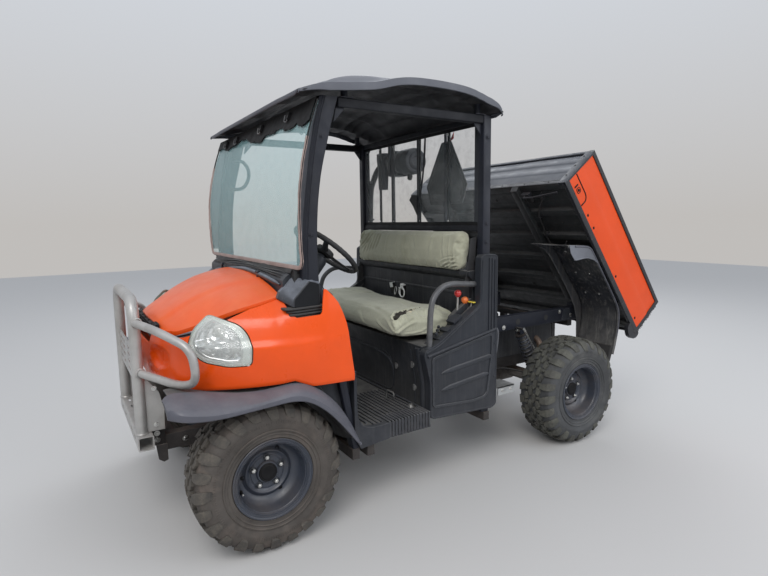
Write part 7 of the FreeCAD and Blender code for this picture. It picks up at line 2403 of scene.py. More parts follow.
def build_cleaner():
    g = Geo()
    y, z = 1.305, 1.725
    prof = [(-0.388, 0.0001), (-0.388, 0.030), (-0.384, 0.034), (-0.380, 0.070), (-0.374, 0.0755)]
    for k in range(5):
        t = -0.352 + 0.024 * k
        prof += [(t, 0.0755), (t + 0.003, 0.0785), (t + 0.009, 0.0785), (t + 0.012, 0.0755)]
    prof += [(-0.214, 0.0755), (-0.210, 0.083), (-0.200, 0.083), (-0.197, 0.079), (-0.192, 0.079), (-0.190, 0.0835), (-0.140, 0.0825), (-0.131, 0.079), (-0.127, 0.070),
             (-0.129, 0.056), (-0.124, 0.050), (-0.124, 0.030), (-0.128, 0.026), (-0.128, 0.0001)]
    g.lathe(prof, (0, y, z), (1, 0, 0), 56, 0)
    # clips over the joint and a drain valve under the end cap
    for a in (20, 140, 260):
        r = math.radians(a)
        d = Vector((0, math.cos(r), math.sin(r)))
        w = Vector((0, -math.sin(r), math.cos(r)))
        c = Vector((-0.200, y, z)) + d * 0.0855
        rr = []
        for t, h in ((-0.020, -0.002), (-0.012, 0.003), (0.0, 0.006), (0.014, 0.004), (0.024, -0.002)):
            p = c + Vector((t, 0, 0)) + d * h
            rr.append([p + w * 0.008, p - w * 0.008, p - w * 0.008 - d * 0.002, p + w * 0.008 - d * 0.002])
        g.rings(rr, 1)
    g.lathe([(0.070, 0.014), (0.090, 0.013), (0.092, 0.017), (0.112, 0.015), (0.120, 0.008), (0.1205, 0.0001)], (-0.170, y, z), (0, -0.2, -1), 22, 2)
    # strap round the canister, hanger and the plate above
    for x in (-0.345, -0.265):
        g.lathe([(-0.009, 0.0785), (-0.009, 0.081), (0.009, 0.081), (0.009, 0.0785)], (x, y, z), (1, 0, 0), 48, 1)
        g.bolt((x, y - 0.084, z + 0.01), (0, -1, 0), 0.005, 0.010, 1)
    g.prism("XZ", rounded([(-0.365, 1.640), (-0.250, 1.640), (-0.262, 1.668), (-0.352, 1.668)], 0.004), y - 0.050, y + 0.020, 3)
    g.box(-0.328, -0.302, 1.2215, 1.2300, 1.640, 1.852, 3)
    g.box(-0.328, -0.302, 1.2215, 1.300, 1.798, 1.804, 3)
    # outlet: neck, elbow piece and the resonator that hangs beside it
    g.lathe([(0, 0.034), (0.020, 0.034), (0.022, 0.040), (0.034, 0.040), (0.036, 0.034), (0.052, 0.031)], (-0.388, y, z), (-1, 0, 0), 30, 2)
    g.lathe([(0, 0.0365), (0.002, 0.0375), (0.010, 0.0375), (0.012, 0.0365)], (-0.414, y, z), (-1, 0, 0), 30, 1)
    rr = []
    for zz, hw, hd in ((1.800, 0.052, 0.030), (1.760, 0.050, 0.032), (1.700, 0.034, 0.030), (1.640, 0.036, 0.028), (1.600, 0.036, 0.026), (1.560, 0.034, 0.024)):
        c = Vector((-0.452, y - 0.045, zz))
        rr.append([c + Vector((math.copysign(abs(math.cos(a)) ** 0.6, math.cos(a)) * hw, math.copysign(abs(math.sin(a)) ** 0.6, math.sin(a)) * hd, 0)) for a in [2 * math.pi * k / 28 for k in range(28)]])
    g.rings(rr, 0)
    ob = make("cleaner_canister", g, ["plastic_worn", "worn_tube", "rubber", "frame"], "vehicle", bevel=0.0012, angle=40)
    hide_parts("air_cleaner")
    # ribbed hose down beside the post
    g = Geo()
    pts = smooth_line([(-0.436, 1.305, 1.725), (-0.520, 1.304, 1.724), (-0.580, 1.298, 1.705), (-0.606, 1.278, 1.640), (-0.617, 1.258, 1.560), (-0.623, 1.252, 1.380), (-0.624, 1.250, 1.190)], 190)
    rr = []
    side = Vector((0, 1, 0))
    for i, p in enumerate(pts):
        t = (pts[min(i + 1, 189)] - pts[max(i - 1, 0)]).normalized()
        side = (side - t * side.dot(t)).normalized()
        up = t.cross(side)
        r = 0.0205 + 0.0022 * math.cos(i * math.pi * 2 / 4.0)
        rr.append([p + side * math.cos(a) * r + up * math.sin(a) * r for a in [2 * math.pi * k / 18 for k in range(18)]])
    g.rings(rr, 0)
    for i, r in ((6, 0.0245), (180, 0.0245)):
        t = (pts[i + 1] - pts[i]).normalized()
        g.lathe([(-0.006, r - 0.002), (-0.006, r), (0.006, r), (0.006, r - 0.002)], pts[i], t, 26, 1)
    for z in (1.62, 1.36):
        p = Vector((-0.618, 1.256, z))
        g.lathe([(-0.004, 0.0225), (-0.004, 0.0245), (0.004, 0.0245), (0.004, 0.0225)], p, (0, 0.05, 1), 24, 1)
    make("cleaner_hose", g, ["rubber", "worn_tube"], "vehicle", angle=70)


# ------------------------------------------------------------------ load bed, drawn lowered
BEAMS = [1.290, 1.470, 1.650, 1.830, 2.010, 2.190, 2.372]


def build_bed_sides():
    panel = [(0.836, 0.7235), (0.842, 0.7240), (0.930, 0.7243), (0.955, 0.7240), (0.972, 0.7212), (0.984, 0.7196), (1.060, 0.7190), (1.082, 0.7190)]
    for s, tag in ((1, "left"), (-1, "right")):
        g = Geo()
        rows = []
        n = 60
        for k in range(n):
            y = 1.300 + (2.432 - 1.300) * k / (n - 1.0)
            row = []
            for z, x in panel:
                dent = 0.0012 * math.sin(y * 5.0 + 1.0) * math.sin((z - 0.83) * 11.0)
                d = math.hypot((y - 1.93) / 0.10, (z - 0.900) / 0.035)
                if d < 1:
                    dent -= 0.0022 * (1 - d * d) ** 2
                row.append(Vector((s * (x + dent), y, z)))
            rows.append(row + [Vector((s * 0.7145, y, 1.082)), Vector((s * 0.7145, y, 0.836))])
        g.rings(rows, 0)
        make("bed_panel_" + tag, g, "bed_orange", "bed", bed=True, angle=50)
        # frame round the panel: floor edge, rim with rounded top, end posts
        g = Geo()
        rim = rounded([(0.7265, 1.076), (0.7265, 1.1035), (0.6925, 1.1035), (0.6925, 1.081), (0.704, 1.081), (0.704, 1.076)], [0.004, 0.007, 0.007, 0.003, 0.001, 0.002], 3)
        g.prism("XZ", [(s * x, z) for x, z in rim], 1.284, 2.4505, 0)
        low = rounded([(0.7045, 0.800), (0.7255, 0.800), (0.7262, 0.8325), (0.7225, 0.8372), (0.7045, 0.8372)], 0.003, 2)
        g.prism("XZ", [(s * x, z) for x, z in low], 1.286, 2.450, 0)
        a, b = sorted((s * 0.676, s * 0.7262))
        g.prism("XY", rounded([(a, 1.283), (b, 1.283), (b, 1.299), (b - 0.004 if s > 0 else b, 1.301), (a + (0.004 if s < 0 else 0), 1.301), (a, 1.296)], 0.003, 2), 0.800, 1.084, 1)
        a, b = sorted((s * 0.698, s * 0.7262))
        g.prism("XY", [(a, 2.4255), (b, 2.4255), (b, 2.4505), (a, 2.4505)], 0.800, 1.084, 0)
        # inner sheet
        g.box(*sorted((s * 0.704, s * 0.7075)), 1.304, 2.430, 0.834, 1.080, 2)
        # upright stiffeners under the lower edge
        for y in (1.47, 1.65, 1.83, 2.01, 2.19):
            g.box(*sorted((s * 0.716, s * 0.7268)), y + 0.004, y + 0.036, 0.803, 0.826, 0)
        # rounded black foot at the lower rear corner
        foot = rounded([(2.352, 0.802), (2.440, 0.838), (2.474, 0.832), (2.480, 0.800), (2.462, 0.766), (2.420, 0.748), (2.366, 0.764)], 0.014, 4)
        g.prism("YZ", foot, *sorted((s * 0.6970, s * 0.7240)), 0)
        ob = make("bed_frame_" + tag, g, ["bed", "bed_edge", "bed_in"], "bed", bed=True, bevel=0.0016)
        if s > 0:
            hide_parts("bed_sides")
        # outline of the corner plate with its catch, small bolts along the lower edge
        g = Geo()
        plate = [(1.302, 0.902), (1.444, 0.902), (1.470, 0.884), (1.470, 0.838)]
        pts = [Vector((s * 0.7250, y, z)) for y, z in plate]
        g.tube(soft(pts, 0.022), 0.0036, 8, 0)
        ring = rounded([(1.372, 0.852), (1.402, 0.852), (1.402, 0.882), (1.372, 0.882)], 0.010, 4)
        g.tube([(s * 0.7250, y, z) for y, z in ring] + [(s * 0.7250, ring[0][0], ring[0][1])], 0.0018, 8, 0)
        g.lathe([(0, 0.0085), (0.004, 0.0080), (0.0055, 0.005), (0.0055, 0.0001)], (s * 0.7240, 1.387, 0.867), (s, 0, 0), 20, 0)
        g.box(*sorted((s * 0.7245, s * 0.7285)), 1.352, 1.359, 0.848, 0.878, 0)
        for y, z in ((1.640, 0.853), (2.010, 0.853), (2.360, 0.853), (1.55, 0.853)):
            g.bolt((s * 0.7240, y, z), (s, 0, 0), 0.0052, 0.0035, 0, dome=True)
        make("bed_plate_lines_" + tag, g, "seal", "bed", bed=True, angle=50)
    # ragged rubber strip at the edge of the tailgate
    g = Geo()
    r = random.Random(9)
    for s in (1, -1):
        z = 0.806
        while z < 1.06:
            w = r.uniform(0.004, 0.014)
            hang = r.uniform(0.001, 0.010)
            g.add([(s * 0.700, 2.4495, z), (s * 0.7268, 2.4490, z + 0.001), (s * (0.7268 + r.uniform(0, 0.002)), 2.4505 + hang, z + w * 0.4), (s * 0.7262, 2.449, z + w), (s * 0.700, 2.4500, z + w)],
                  [[0, 1, 2, 3, 4]], 0)
            z += w * r.uniform(0.9, 1.4)
        for k in range(5):
            z = 0.87 + 0.03 * k + r.uniform(-0.008, 0.008)
            pts = [Vector((s * 0.722, 2.449, z)), Vector((s * (0.727 + r.uniform(0, 0.003)), 2.456, z - r.uniform(0, 0.01))), Vector((s * 0.724, 2.459 + r.uniform(0, 0.004), z - r.uniform(0.004, 0.018)))]
            g.tube(pts, lambda t: 0.0022 * (1 - 0.7 * t), 6, 0)
    make("bed_rubber_rags", g, "rubber", "bed", bed=True, solid=0.0015, flat=True)


def build_bed_front():
    prof = [(0.834, 1.2895), (0.842, 1.2870), (0.895, 1.2868), (0.903, 1.2850), (0.908, 1.2832), (0.940, 1.2828), (0.946, 1.2850), (0.952, 1.2885), (0.985, 1.2880), (0.991, 1.2862),
            (0.996, 1.2840), (1.026, 1.2836), (1.032, 1.2862), (1.038, 1.2905), (1.060, 1.2915), (1.070, 1.2925), (1.074, 1.2940)]
    g = Geo()
    rows = []
    n = 47
    for k in range(n):
        x = -0.690 + 1.380 * k / (n - 1.0)
        w = 0.0008 * math.sin(x * 13.0)
        rows.append([Vector((x, y + w, z)) for z, y in prof] + [Vector((x, 1.3035, 1.074)), Vector((x, 1.3035, 0.834))])
    g.rings(rows, 0)
    ob = make("bed_front_sheet", g, "bed_sheet", "bed", bed=True, bevel=0.0012, angle=35)
    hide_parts("bed_front_panel")
    g = Geo()
    # top rail with its lit crown, flange below, bolts at the ends and along the flange
    rail = rounded([(1.286, 1.078), (1.284, 1.083), (1.2845, 1.1005), (1.290, 1.1040), (1.3065, 1.1040), (1.3065, 1.078)], 0.003, 3)
    g.prism("YZ", rail, -0.692, 0.692, 0)
    g.prism("YZ", rounded([(1.2855, 0.800), (1.2855, 0.8345), (1.292, 0.8365), (1.304, 0.8345), (1.304, 0.8300), (1.290, 0.8290), (1.290, 0.800)], 0.0015, 2), -0.700, 0.700, 1)
    for s in (1, -1):
        for z in (0.87, 0.96, 1.05):
            g.bolt((s * 0.688, 1.2835, z), (0, -1, 0), 0.0048, 0.004, 1, dome=True)
        for x in (0.60, 0.42, 0.24, 0.08):
            g.bolt((s * x, 1.2855, 0.817), (0, -1, 0), 0.0045, 0.003, 1, dome=True)
    make("bed_front_rail", g, ["bed_edge", "bed"], "bed", bed=True, bevel=0.0012)


def build_bed_floor():
    g = Geo()
    # floor sheet with shallow pressed lanes between the beams
    rows = []
    ys = [1.304 + (2.412 - 1.304) * k / 120.0 for k in range(121)]
    for y in ys:
        row = []
        lane = 0.0
        for b in BEAMS:
            if b + 0.048 < y < b + 0.132:
                u = min(1.0, (y - b - 0.048) / 0.012, (b + 0.132 - y) / 0.012)
                lane = max(lane, u)
        for j in range(41):
            x = -0.7035 + 1.407 * j / 40.0
            e = min(1.0, (0.7035 - abs(x)) / 0.05)
            row.append(Vector((x, y, 0.8275 - 0.004 * lane * e + 0.0008 * math.sin(x * 9) * math.sin(y * 13))))
        rows.append(row)
    g.rings(rows, 0, close=False, ends=False)
    make("bed_floor_underside", g, "bed_under", "bed", bed=True, angle=50)
    g = Geo()
    rows = []
    for y in ys:
        row = []
        for j in range(93):
            x = -0.7035 + 1.407 * j / 92.0
            rib = 0.5 + 0.5 * math.cos(x * 2 * math.pi / 0.115)
            rib = min(1.0, max(0.0, (rib - 0.42) * 6)) * min(1.0, (0.7035 - abs(x)) / 0.02)
            row.append(Vector((x, y, 0.8335 + 0.0035 * rib)))
        rows.append(row)
    g.rings(rows, 0, close=False, ends=False)
    ob = make("bed_floor_top", g, "bed_in", "bed", bed=True, angle=50)
    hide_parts("bed_floor")
    g = Geo()
    for y in BEAMS:
        w = 0.040
        sec = rounded([(y - 0.007, 0.8285), (y - 0.002, 0.8240), (y + 0.002, 0.8000), (y + w - 0.002, 0.8000), (y + w + 0.002, 0.8240), (y + w + 0.007, 0.8285)], 0.0035, 3)
        g.prism("YZ", sec, -0.702, 0.702, 0)
    for x0, x1 in ((0.335, 0.385), (-0.385, -0.335)):
        g.prism("XZ", rounded([(x0, 0.771), (x1, 0.771), (x1, 0.801), (x0, 0.801)], 0.004, 2), 1.300, 2.180, 0)
        g.prism("YZ", [(1.300, 0.771), (1.282 + 0.006, 0.801), (1.300, 0.801)], x0, x1, 0)
    # eye lugs of the lift cylinder, hinge lugs with their holes ringed
    ey, ez = 1.935, 0.775
    for x0 in (-0.330, -0.268):
        g.prism("YZ", rounded([(1.909, 0.800), (1.915, 0.750), (1.955, 0.750), (1.961, 0.800), (1.995, 0.829), (1.875, 0.829)], 0.010, 4), x0, x0 + 0.008, 0)
    for s in (1, -1):
        a, b = sorted((s * 0.390, s * 0.404))
        g.prism("YZ", rounded([(2.205, 0.7725), (2.203, 0.815), (2.267, 0.815), (2.265, 0.7725), (2.252, 0.750), (2.235, 0.7435), (2.218, 0.750)], 0.006, 4), a, b, 0)
        g.lathe([(0, 0.0215), (0, 0.027), (0.004, 0.027), (0.004, 0.0215)], (s * 0.404, 2.235, 0.772), (s, 0, 0), 30, 0)
    make("bed_beams", g, "bed_under", "bed", bed=True, bevel=0.0018)
    g = Geo()
    # bolt heads, cable with clips, stay, drain hole rings, catch
    for x, y in ((0.47, 1.388), (0.56, 1.575), (0.30, 1.575), (0.12, 1.395), (-0.30, 1.395), (-0.52, 1.575), (0.05, 2.13)):
        g.bolt((x, y, 0.8235), (0, 0, -1), 0.0070, 0.006, 1)
    cable = smooth_line([(0.520, 1.345, 0.816), (0.505, 1.400, 0.806), (0.470, 1.440, 0.800), (0.440, 1.500, 0.793), (0.425, 1.580, 0.797), (0.420, 1.650, 0.792), (0.415, 1.760, 0.795)], 60)
    g.tube(cable, 0.0055, 10, 1)
    for i in (6, 26, 44):
        p = cable[i]
        g.box(p.x - 0.008, p.x + 0.008, p.y - 0.006, p.y + 0.006, p.z - 0.006, 0.8235, 0)
    g.tube([(0.545, 1.700, 0.800), (0.500, 1.775, 0.770), (0.485, 1.790, 0.770)], 0.004, 10, 2)
    g.lathe([(0, 0.030), (0.004, 0.030), (0.012, 0.018), (0.012, 0.0001)], (0.400, 1.400, 0.8240), (0, 0, -1), 26, 1)
    # latch that holds the lowered bed
    g.box(0.40, 0.46, 1.330, 1.352, 0.770, 0.802, 0)
    g.tube([(0.43, 1.341, 0.775), (0.43, 1.341, 0.755), (0.50, 1.341, 0.755), (0.66, 1.335, 0.785)], 0.006, 12, 0, bend=0.012)
    make("bed_under_fittings", g, ["bed", "rubber", "bed"], "bed", bed=True, bevel=0.001, weld=False)


GUARD_LINE = [(1.598, 0.652), (1.640, 0.700), (1.675, 0.742), (1.703, 0.772), (1.724, 0.789), (1.752, 0.799), (1.85, 0.800), (2.05, 0.800), (2.150, 0.7995), (2.200, 0.795),
              (2.240, 0.784), (2.272, 0.766), (2.302, 0.742), (2.335, 0.710), (2.366, 0.674), (2.400, 0.632), (2.430, 0.590)]


def build_bed_guards():
    line = smooth_line(GUARD_LINE, 110)
    g = Geo()
    gi = Geo()
    for s in (1, -1):
        rows, rin = [], []
        for i, p in enumerate(line):
            a, b = line[max(i - 1, 0)], line[min(i + 1, len(line) - 1)]
            d = (b - a).normalized()
            nrm = Vector((-d.y, d.x))
            if nrm.y < 0:
                nrm = -nrm
            row = []
            front = max(0.0, 1 - i / 34.0)
            for j in range(25):
                t = j / 24.0
                x = 0.4265 + (0.702 - 0.4265) * t
                # pressed steps across the guard and a bead beside the outer lip
                h = -0.0015 * (0.5 + 0.5 * math.cos(t * math.pi * 6)) + 0.0018 * math.exp(-((t - 0.94) / 0.02) ** 2)
                h += 0.0025 * front * math.sin(t * 9.0) - 0.004 * front * t
                q = p + nrm * (h - 0.001)
                row.append(Vector((s * x, q.x, q.y)))
            # lip turned down at the outer edge
            for dx, dn in ((0.0015, -0.004), (0.001, -0.012 - 0.004 * front), (-0.003, -0.018 - 0.006 * front)):
                q = p + nrm * dn
                row.append(Vector((s * (0.702 + dx), q.x, q.y)))
            rows.append(row)
            q = p - nrm * 0.0030
            rin.append((i, q, nrm))
        g.rings(rows, 0, close=False, ends=False)
        # inner wall down to its shaped lower edge
        top = [(q.x, q.y) for i, q, nrm in rin]
        rows = []
        for (yy, zz) in top:
            base = curve1([(1.60, 0.650), (1.655, 0.690), (1.705, 0.722), (1.78, 0.735), (2.0, 0.738), (2.10, 0.735), (2.20, 0.722), (2.28, 0.690), (2.35, 0.640), (2.43, 0.588)], yy)
            base = min(zz - 0.002, base)
            rows.append([Vector((s * 0.4285, yy, zz + (base - zz) * k / 6.0)) for k in range(7)])
        gi.rings(rows, 0, close=False, ends=False)
    ob = make("bed_guard_arches", g, "guard_face", "bed", bed=True, solid=0.004, angle=60)
    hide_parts("bed_wheel_guards")
    make("bed_guard_walls", gi, "guards_rear", "bed", bed=True, solid=0.004, angle=60)
    g = Geo()
    for s in (1, -1):
        # bolts under the bed, hanging flap at the rear
        for y in (1.78, 1.95, 2.12):
            g.bolt((s * 0.60, y, 0.7985), (0, 0, -1), 0.008, 0.006, 1)
            g.bolt((s * 0.50, y, 0.7985), (0, 0, -1), 0.008, 0.006, 1)
        rows = []
        for k in range(16):
            t = k / 15.0
            yy, zz = 2.402 + 0.050 * t, 0.626 - 0.085 * t
            row = []
            for j in range(12):
                x = 0.434 + 0.262 * j / 11.0
                wv = 0.004 * math.sin(j * 1.1 + t * 3) * t
                row.append(Vector((s * x, yy + wv - 0.010, zz + (0.006 * math.sin(j * 2.3) if k == 15 else 0))))
            rows.append(row)
        g.rings(rows, 0, close=False, ends=False)
    make("bed_guard_fittings", g, ["rubber", "bright"], "bed", bed=True, solid=0.0035, angle=50)
    # lit outer lip
    g = Geo()
    for s in (1, -1):
        lip = []
        for i, p in enumerate(line):
            if i < 6 or i > 96:
                continue
            a, b = line[max(i - 1, 0)], line[min(i + 1, len(line) - 1)]
            d = (b - a).normalized()
            nrm = Vector((-d.y, d.x))
            if nrm.y < 0:
                nrm = -nrm
            q = p - nrm * 0.0095
            lip.append(Vector((s * 0.7045, q.x, q.y)))
        g.tube(lip, lambda t: 0.0050 - 0.0022 * t, 8, 0)
        # skirt that hangs beside the guard's front half, in a grey painted lighter to look lit
        arc = [(q.x, q.y - 0.004) for q in line if 1.602 < q.x < 1.862]
        back = [(1.838, 0.785), (1.812, 0.773), (1.790, 0.757), (1.770, 0.740), (1.754, 0.721), (1.738, 0.697), (1.725, 0.675), (1.712, 0.654), (1.699, 0.640), (1.650, 0.638)]
        g.prism("YZ", arc + back, *sorted((s * 0.7015, s * 0.7045)), 1)
        g.tube([(s * 0.7040, y, z) for y, z in smooth2([(1.846, 0.790)] + back[:-1], 40)], 0.0042, 8, 1)
    make("bed_guard_caps", g, ["flare", "guard_skirt_painted_lit"], "bed", bed=True, angle=50)


def build_tailgate():
    g = Geo()
    prof = [(0.826, 2.4495), (0.870, 2.4500), (0.880, 2.4460), (0.940, 2.4460), (0.950, 2.4500), (0.985, 2.4500), (0.995, 2.4460), (1.055, 2.4460), (1.065, 2.4500), (1.100, 2.4500), (1.1030, 2.4470),
            (1.1030, 2.4290), (1.1000, 2.4260), (0.827, 2.4260)]
    rows = []
    for k in range(31):
        x = -0.6895 + 1.379 * k / 30.0
        rows.append([Vector((x, y, z)) for z, y in prof])
    g.rings(rows, 0)
    ob = make("tailgate_sheet", g, "bed", "tailgate", bed=True, bevel=0.002, angle=25)
    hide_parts("tailgate")
    g = Geo()
    g.lathe([(-0.690, 0.0001), (-0.690, 0.0088), (0.690, 0.0088), (0.690, 0.0001)], (0, 2.438, 0.818), (1, 0, 0), 24, 1)
    for s in (1, -1):
        for x in (0.30, 0.62):
            g.lathe([(-0.03, 0.0092), (-0.03, 0.0125), (0.03, 0.0125), (0.03, 0.0092)], (s * x, 2.438, 0.818), (1, 0, 0), 22, 0)
        # catch with its plate and pull rod
        g.box(*sorted((s * 0.610, s * 0.680)), 2.4500, 2.4535, 1.010, 1.080, 0)
        g.tube([(s * 0.648, 2.456, 1.045), (s * 0.400, 2.456, 1.045), (s * 0.10, 2.456, 1.045)], 0.0045, 10, 1)
        g.bolt((s * 0.625, 2.4535, 1.066), (0, 1, 0), 0.006, 0.004, 1)
    g.prism("XZ", rounded([(-0.085, 1.012), (0.085, 1.012), (0.085, 1.078), (-0.085, 1.078)], 0.012, 4), 2.4500, 2.4540, 0)
    g.tube(soft([(-0.060, 2.454, 1.045), (-0.060, 2.470, 1.040), (0.060, 2.470, 1.040), (0.060, 2.454, 1.045)], 0.012), 0.006, 12, 1)
    make("tailgate_fittings", g, ["bed", "worn_tube"], "tailgate", bed=True, bevel=0.001)


# ------------------------------------------------------------------ chassis, drive and suspension
def spring(g, a, b, r, wire, turns, t0=0.0, t1=1.0, mat=0):
    a, b = Vector(a), Vector(b)
    ax = (b - a)
    side = ax.orthogonal().normalized()
    up = ax.normalized().cross(side)
    n = int(turns * 20)
    pts = []
    for k in range(n + 1):
        t = k / n
        w = 2 * math.pi * turns * t
        flat = min(1.0, t / 0.06, (1 - t) / 0.06)
        pts.append(a + ax * (t0 + (t1 - t0) * (0.03 + 0.94 * (t * (0.75 + 0.25 * flat) if t < 0.5 else 1 - (1 - t) * (0.75 + 0.25 * flat)))) + side * math.cos(w) * r + up * math.sin(w) * r)
    g.tube(pts, wire, 8, mat)


def build_chassis():
    refine("chassis_rails", "chassis", "vehicle", bevel=0.003)
    refine("chassis_crossmembers", "chassis", "vehicle", bevel=0.003)
    refine("bed_support_rails", "frame", "vehicle", bevel=0.003)
    refine("subframe_uprights", "chassis", "vehicle", bevel=0.003)
    refine("front_suspension", "chassis", "vehicle", bevel=0.0018)
    refine("front_differential", "cast", "vehicle", bevel=0.004, seg=3)
    refine("rear_axle", "cast", "vehicle", bevel=0.003)
    refine("knuckle_left", "cast", "left_knuckle", bevel=0.002)
    refine("knuckle_right", "cast", "right_knuckle", bevel=0.002)
    refine("tie_rod", "worn_tube", "tie_rod", bevel=0.0006)
    refine("engine_block", "cast", "vehicle", bevel=0.005, seg=3)
    refine("exhaust_muffler", "exhaust", "vehicle", bevel=0.002)
    refine("lift_cylinder", "chassis", "lift_barrel", bevel=0.0015)
    refine("lift_rod", "chrome", "lift_rod", bevel=0.0006)
    # springs, caps and bolts of the dampers
    g = Geo()
    for s in (1, -1):
        for lo, hi, r in (((s * 0.415, 0.0, 0.444), (s * 0.340, 0.0, 0.690), 0.036), ((s * 0.372, 1.872, 0.372), (s * 0.360, 1.745, 0.662), 0.032)):
            spring(g, lo, hi, r, 0.0052, 7.0, 0.30, 0.90, 0)
            ax = (Vector(hi) - Vector(lo))
            for t in (0.29, 0.90):
                g.lathe([(-0.004, 0.020), (-0.004, r + 0.006), (0.004, r + 0.006), (0.004, 0.020)], Vector(lo) + ax * t, ax, 28, 1)
            for t in (0.0, 1.0):
                p = Vector(lo) + ax * t
                g.lathe([(-0.026, 0.0001), (-0.026, 0.007), (0.026, 0.007), (0.026, 0.0001)], p, (0, 1, 0), 14, 2)
                g.bolt(p + Vector((0, -0.026, 0)), (0, -1, 0), 0.008, 0.006, 2)
    make("damper_springs", g, ["rim", "chassis", "bright"], "vehicle", angle=45)
    # engine: head, ribbed covers, clutch housing, belt cover, fan, hoses, wiring
    g = Geo()
    g.prism("XZ", rounded([(-0.150, 0.636), (0.140, 0.636), (0.120, 0.690), (-0.130, 0.690)], 0.012, 3), 1.40, 1.62, 1)
    for k in range(8):
        g.box(-0.145, 0.135, 1.405 + 0.027 * k, 1.411 + 0.027 * k, 0.640, 0.698, 1)
    g.lathe([(0, 0.0001), (0, 0.120), (0.006, 0.126), (0.030, 0.126), (0.036, 0.118), (0.040, 0.100), (0.040, 0.050), (0.048, 0.044), (0.048, 0.0001)], (0.196, 1.450, 0.560), (1, 0, 0), 48, 0)
    g.lathe([(0, 0.0001), (0, 0.096), (0.006, 0.102), (0.030, 0.102), (0.036, 0.094), (0.040, 0.080), (0.040, 0.040), (0.048, 0.034), (0.048, 0.0001)], (0.196, 1.690, 0.545), (1, 0, 0), 44, 0)
    g.prism("YZ", rounded([(1.450, 0.455), (1.690, 0.462), (1.690, 0.628), (1.450, 0.668)], 0.020, 3), 0.198, 0.226, 0)
    for k in range(12):
        a = 2 * math.pi * k / 12
        g.bolt((0.230, 1.450 + 0.112 * math.cos(a), 0.560 + 0.112 * math.sin(a)), (1, 0, 0), 0.005, 0.005, 2)
    for k in range(10):
        a = 2 * math.pi * k / 10
        g.bolt((0.230, 1.690 + 0.090 * math.cos(a), 0.545 + 0.090 * math.sin(a)), (1, 0, 0), 0.005, 0.005, 2)
    g.tube([(0.10, 1.350, 0.640), (0.16, 1.320, 0.655), (0.26, 1.318, 0.640), (0.300, 1.340, 0.560), (0.270, 1.400, 0.500)], 0.024, 18, 3, bend=0.05)
    g.tube([(-0.12, 1.360, 0.620), (-0.20, 1.340, 0.640), (-0.28, 1.335, 0.610), (-0.30, 1.360, 0.520), (-0.24, 1.42, 0.48)], 0.018, 16, 3, bend=0.04)
    g.tube([(0.08, 1.80, 0.640), (0.10, 1.86, 0.668), (0.05, 1.93, 0.665), (0.04, 1.98, 0.622)], 0.017, 16, 4, bend=0.04)
    for k in range(3):
        g.tube([(-0.16 + 0.03 * k, 1.42, 0.690), (-0.18 + 0.03 * k, 1.36, 0.720), (-0.10 + 0.05 * k, 1.315, 0.700), (-0.06 + 0.05 * k, 1.310, 0.520)], 0.0065, 10, 3, bend=0.03)
    make("engine_covers", g, ["chassis", "cast", "bright", "rubber", "exhaust"], "vehicle", bevel=0.001, weld=False)
    # splash panels and boxes between the cab and the rear wheels, fuel tank, battery tray
    g = Geo()
    for s in (1, -1):
        g.prism("XZ", rounded([(s * 0.262, 0.400), (s * 0.560, 0.380), (s * 0.590, 0.440), (s * 0.590, 0.640), (s * 0.540, 0.668), (s * 0.262, 0.668)], 0.015, 3), 1.276, 1.283, 0)
        g.prism("XY", rounded([(s * 0.262, 1.283), (s * 0.430, 1.283), (s * 0.430, 1.460), (s * 0.400, 1.500), (s * 0.262, 1.500)], 0.014, 3), 0.432, 0.600, 0)
        for k in range(5):
            g.box(*sorted((s * 0.4305, s * 0.436)), 1.300 + 0.034 * k, 1.314 + 0.034 * k, 0.445, 0.588, 0)
        for k in range(4):
            g.box(*sorted((s * 0.445, s * 0.575)), 1.283, 1.294, 0.430 + 0.050 * k, 0.444 + 0.050 * k, 0)
        # lit channel behind the foot of the cab side
        g.box(*sorted((s * 0.470, s * 0.590)), 1.340, 1.465, 0.418, 0.424, 1)
        g.box(*sorted((s * 0.584, s * 0.590)), 1.340, 1.465, 0.378, 0.424, 1)
        g.box(*sorted((s * 0.470, s * 0.510)), 1.283, 1.345, 0.400, 0.418, 0)
        g.bolt((s * 0.590, 1.372, 0.402), (s, 0, 0), 0.006, 0.005, 2)
        g.bolt((s * 0.590, 1.435, 0.402), (s, 0, 0), 0.006, 0.005, 2)
        # inner splash skirt above the rear axle
        g.prism("YZ", rounded([(1.520, 0.470), (2.160, 0.470), (2.160, 0.640), (2.050, 0.660), (1.520, 0.640)], 0.02, 3), s * 0.252, s * 0.256, 0)
    make("splash_panels", g, ["plastic_low", "galv", "bright"], "vehicle", bevel=0.0012, weld=False)
    # hoses and cables between cab and engine bay, all fixed at both ends
    g = Geo()
    g.tube([(0.600, 1.270, 0.768), (0.600, 1.300, 0.776), (0.600, 1.322, 0.750), (0.592, 1.326, 0.690), (0.584, 1.322, 0.620), (0.550, 1.292, 0.560)], 0.0075, 12, 0, bend=0.02)
    g.tube([(0.570, 1.270, 0.700), (0.570, 1.312, 0.712), (0.570, 1.336, 0.690), (0.552, 1.330, 0.620), (0.530, 1.292, 0.570)], 0.0070, 12, 0, bend=0.02)
    g.tube([(0.500, 1.270, 0.760), (0.500, 1.306, 0.766), (0.495, 1.316, 0.700), (0.470, 1.292, 0.620)], 0.0055, 10, 1, bend=0.02)
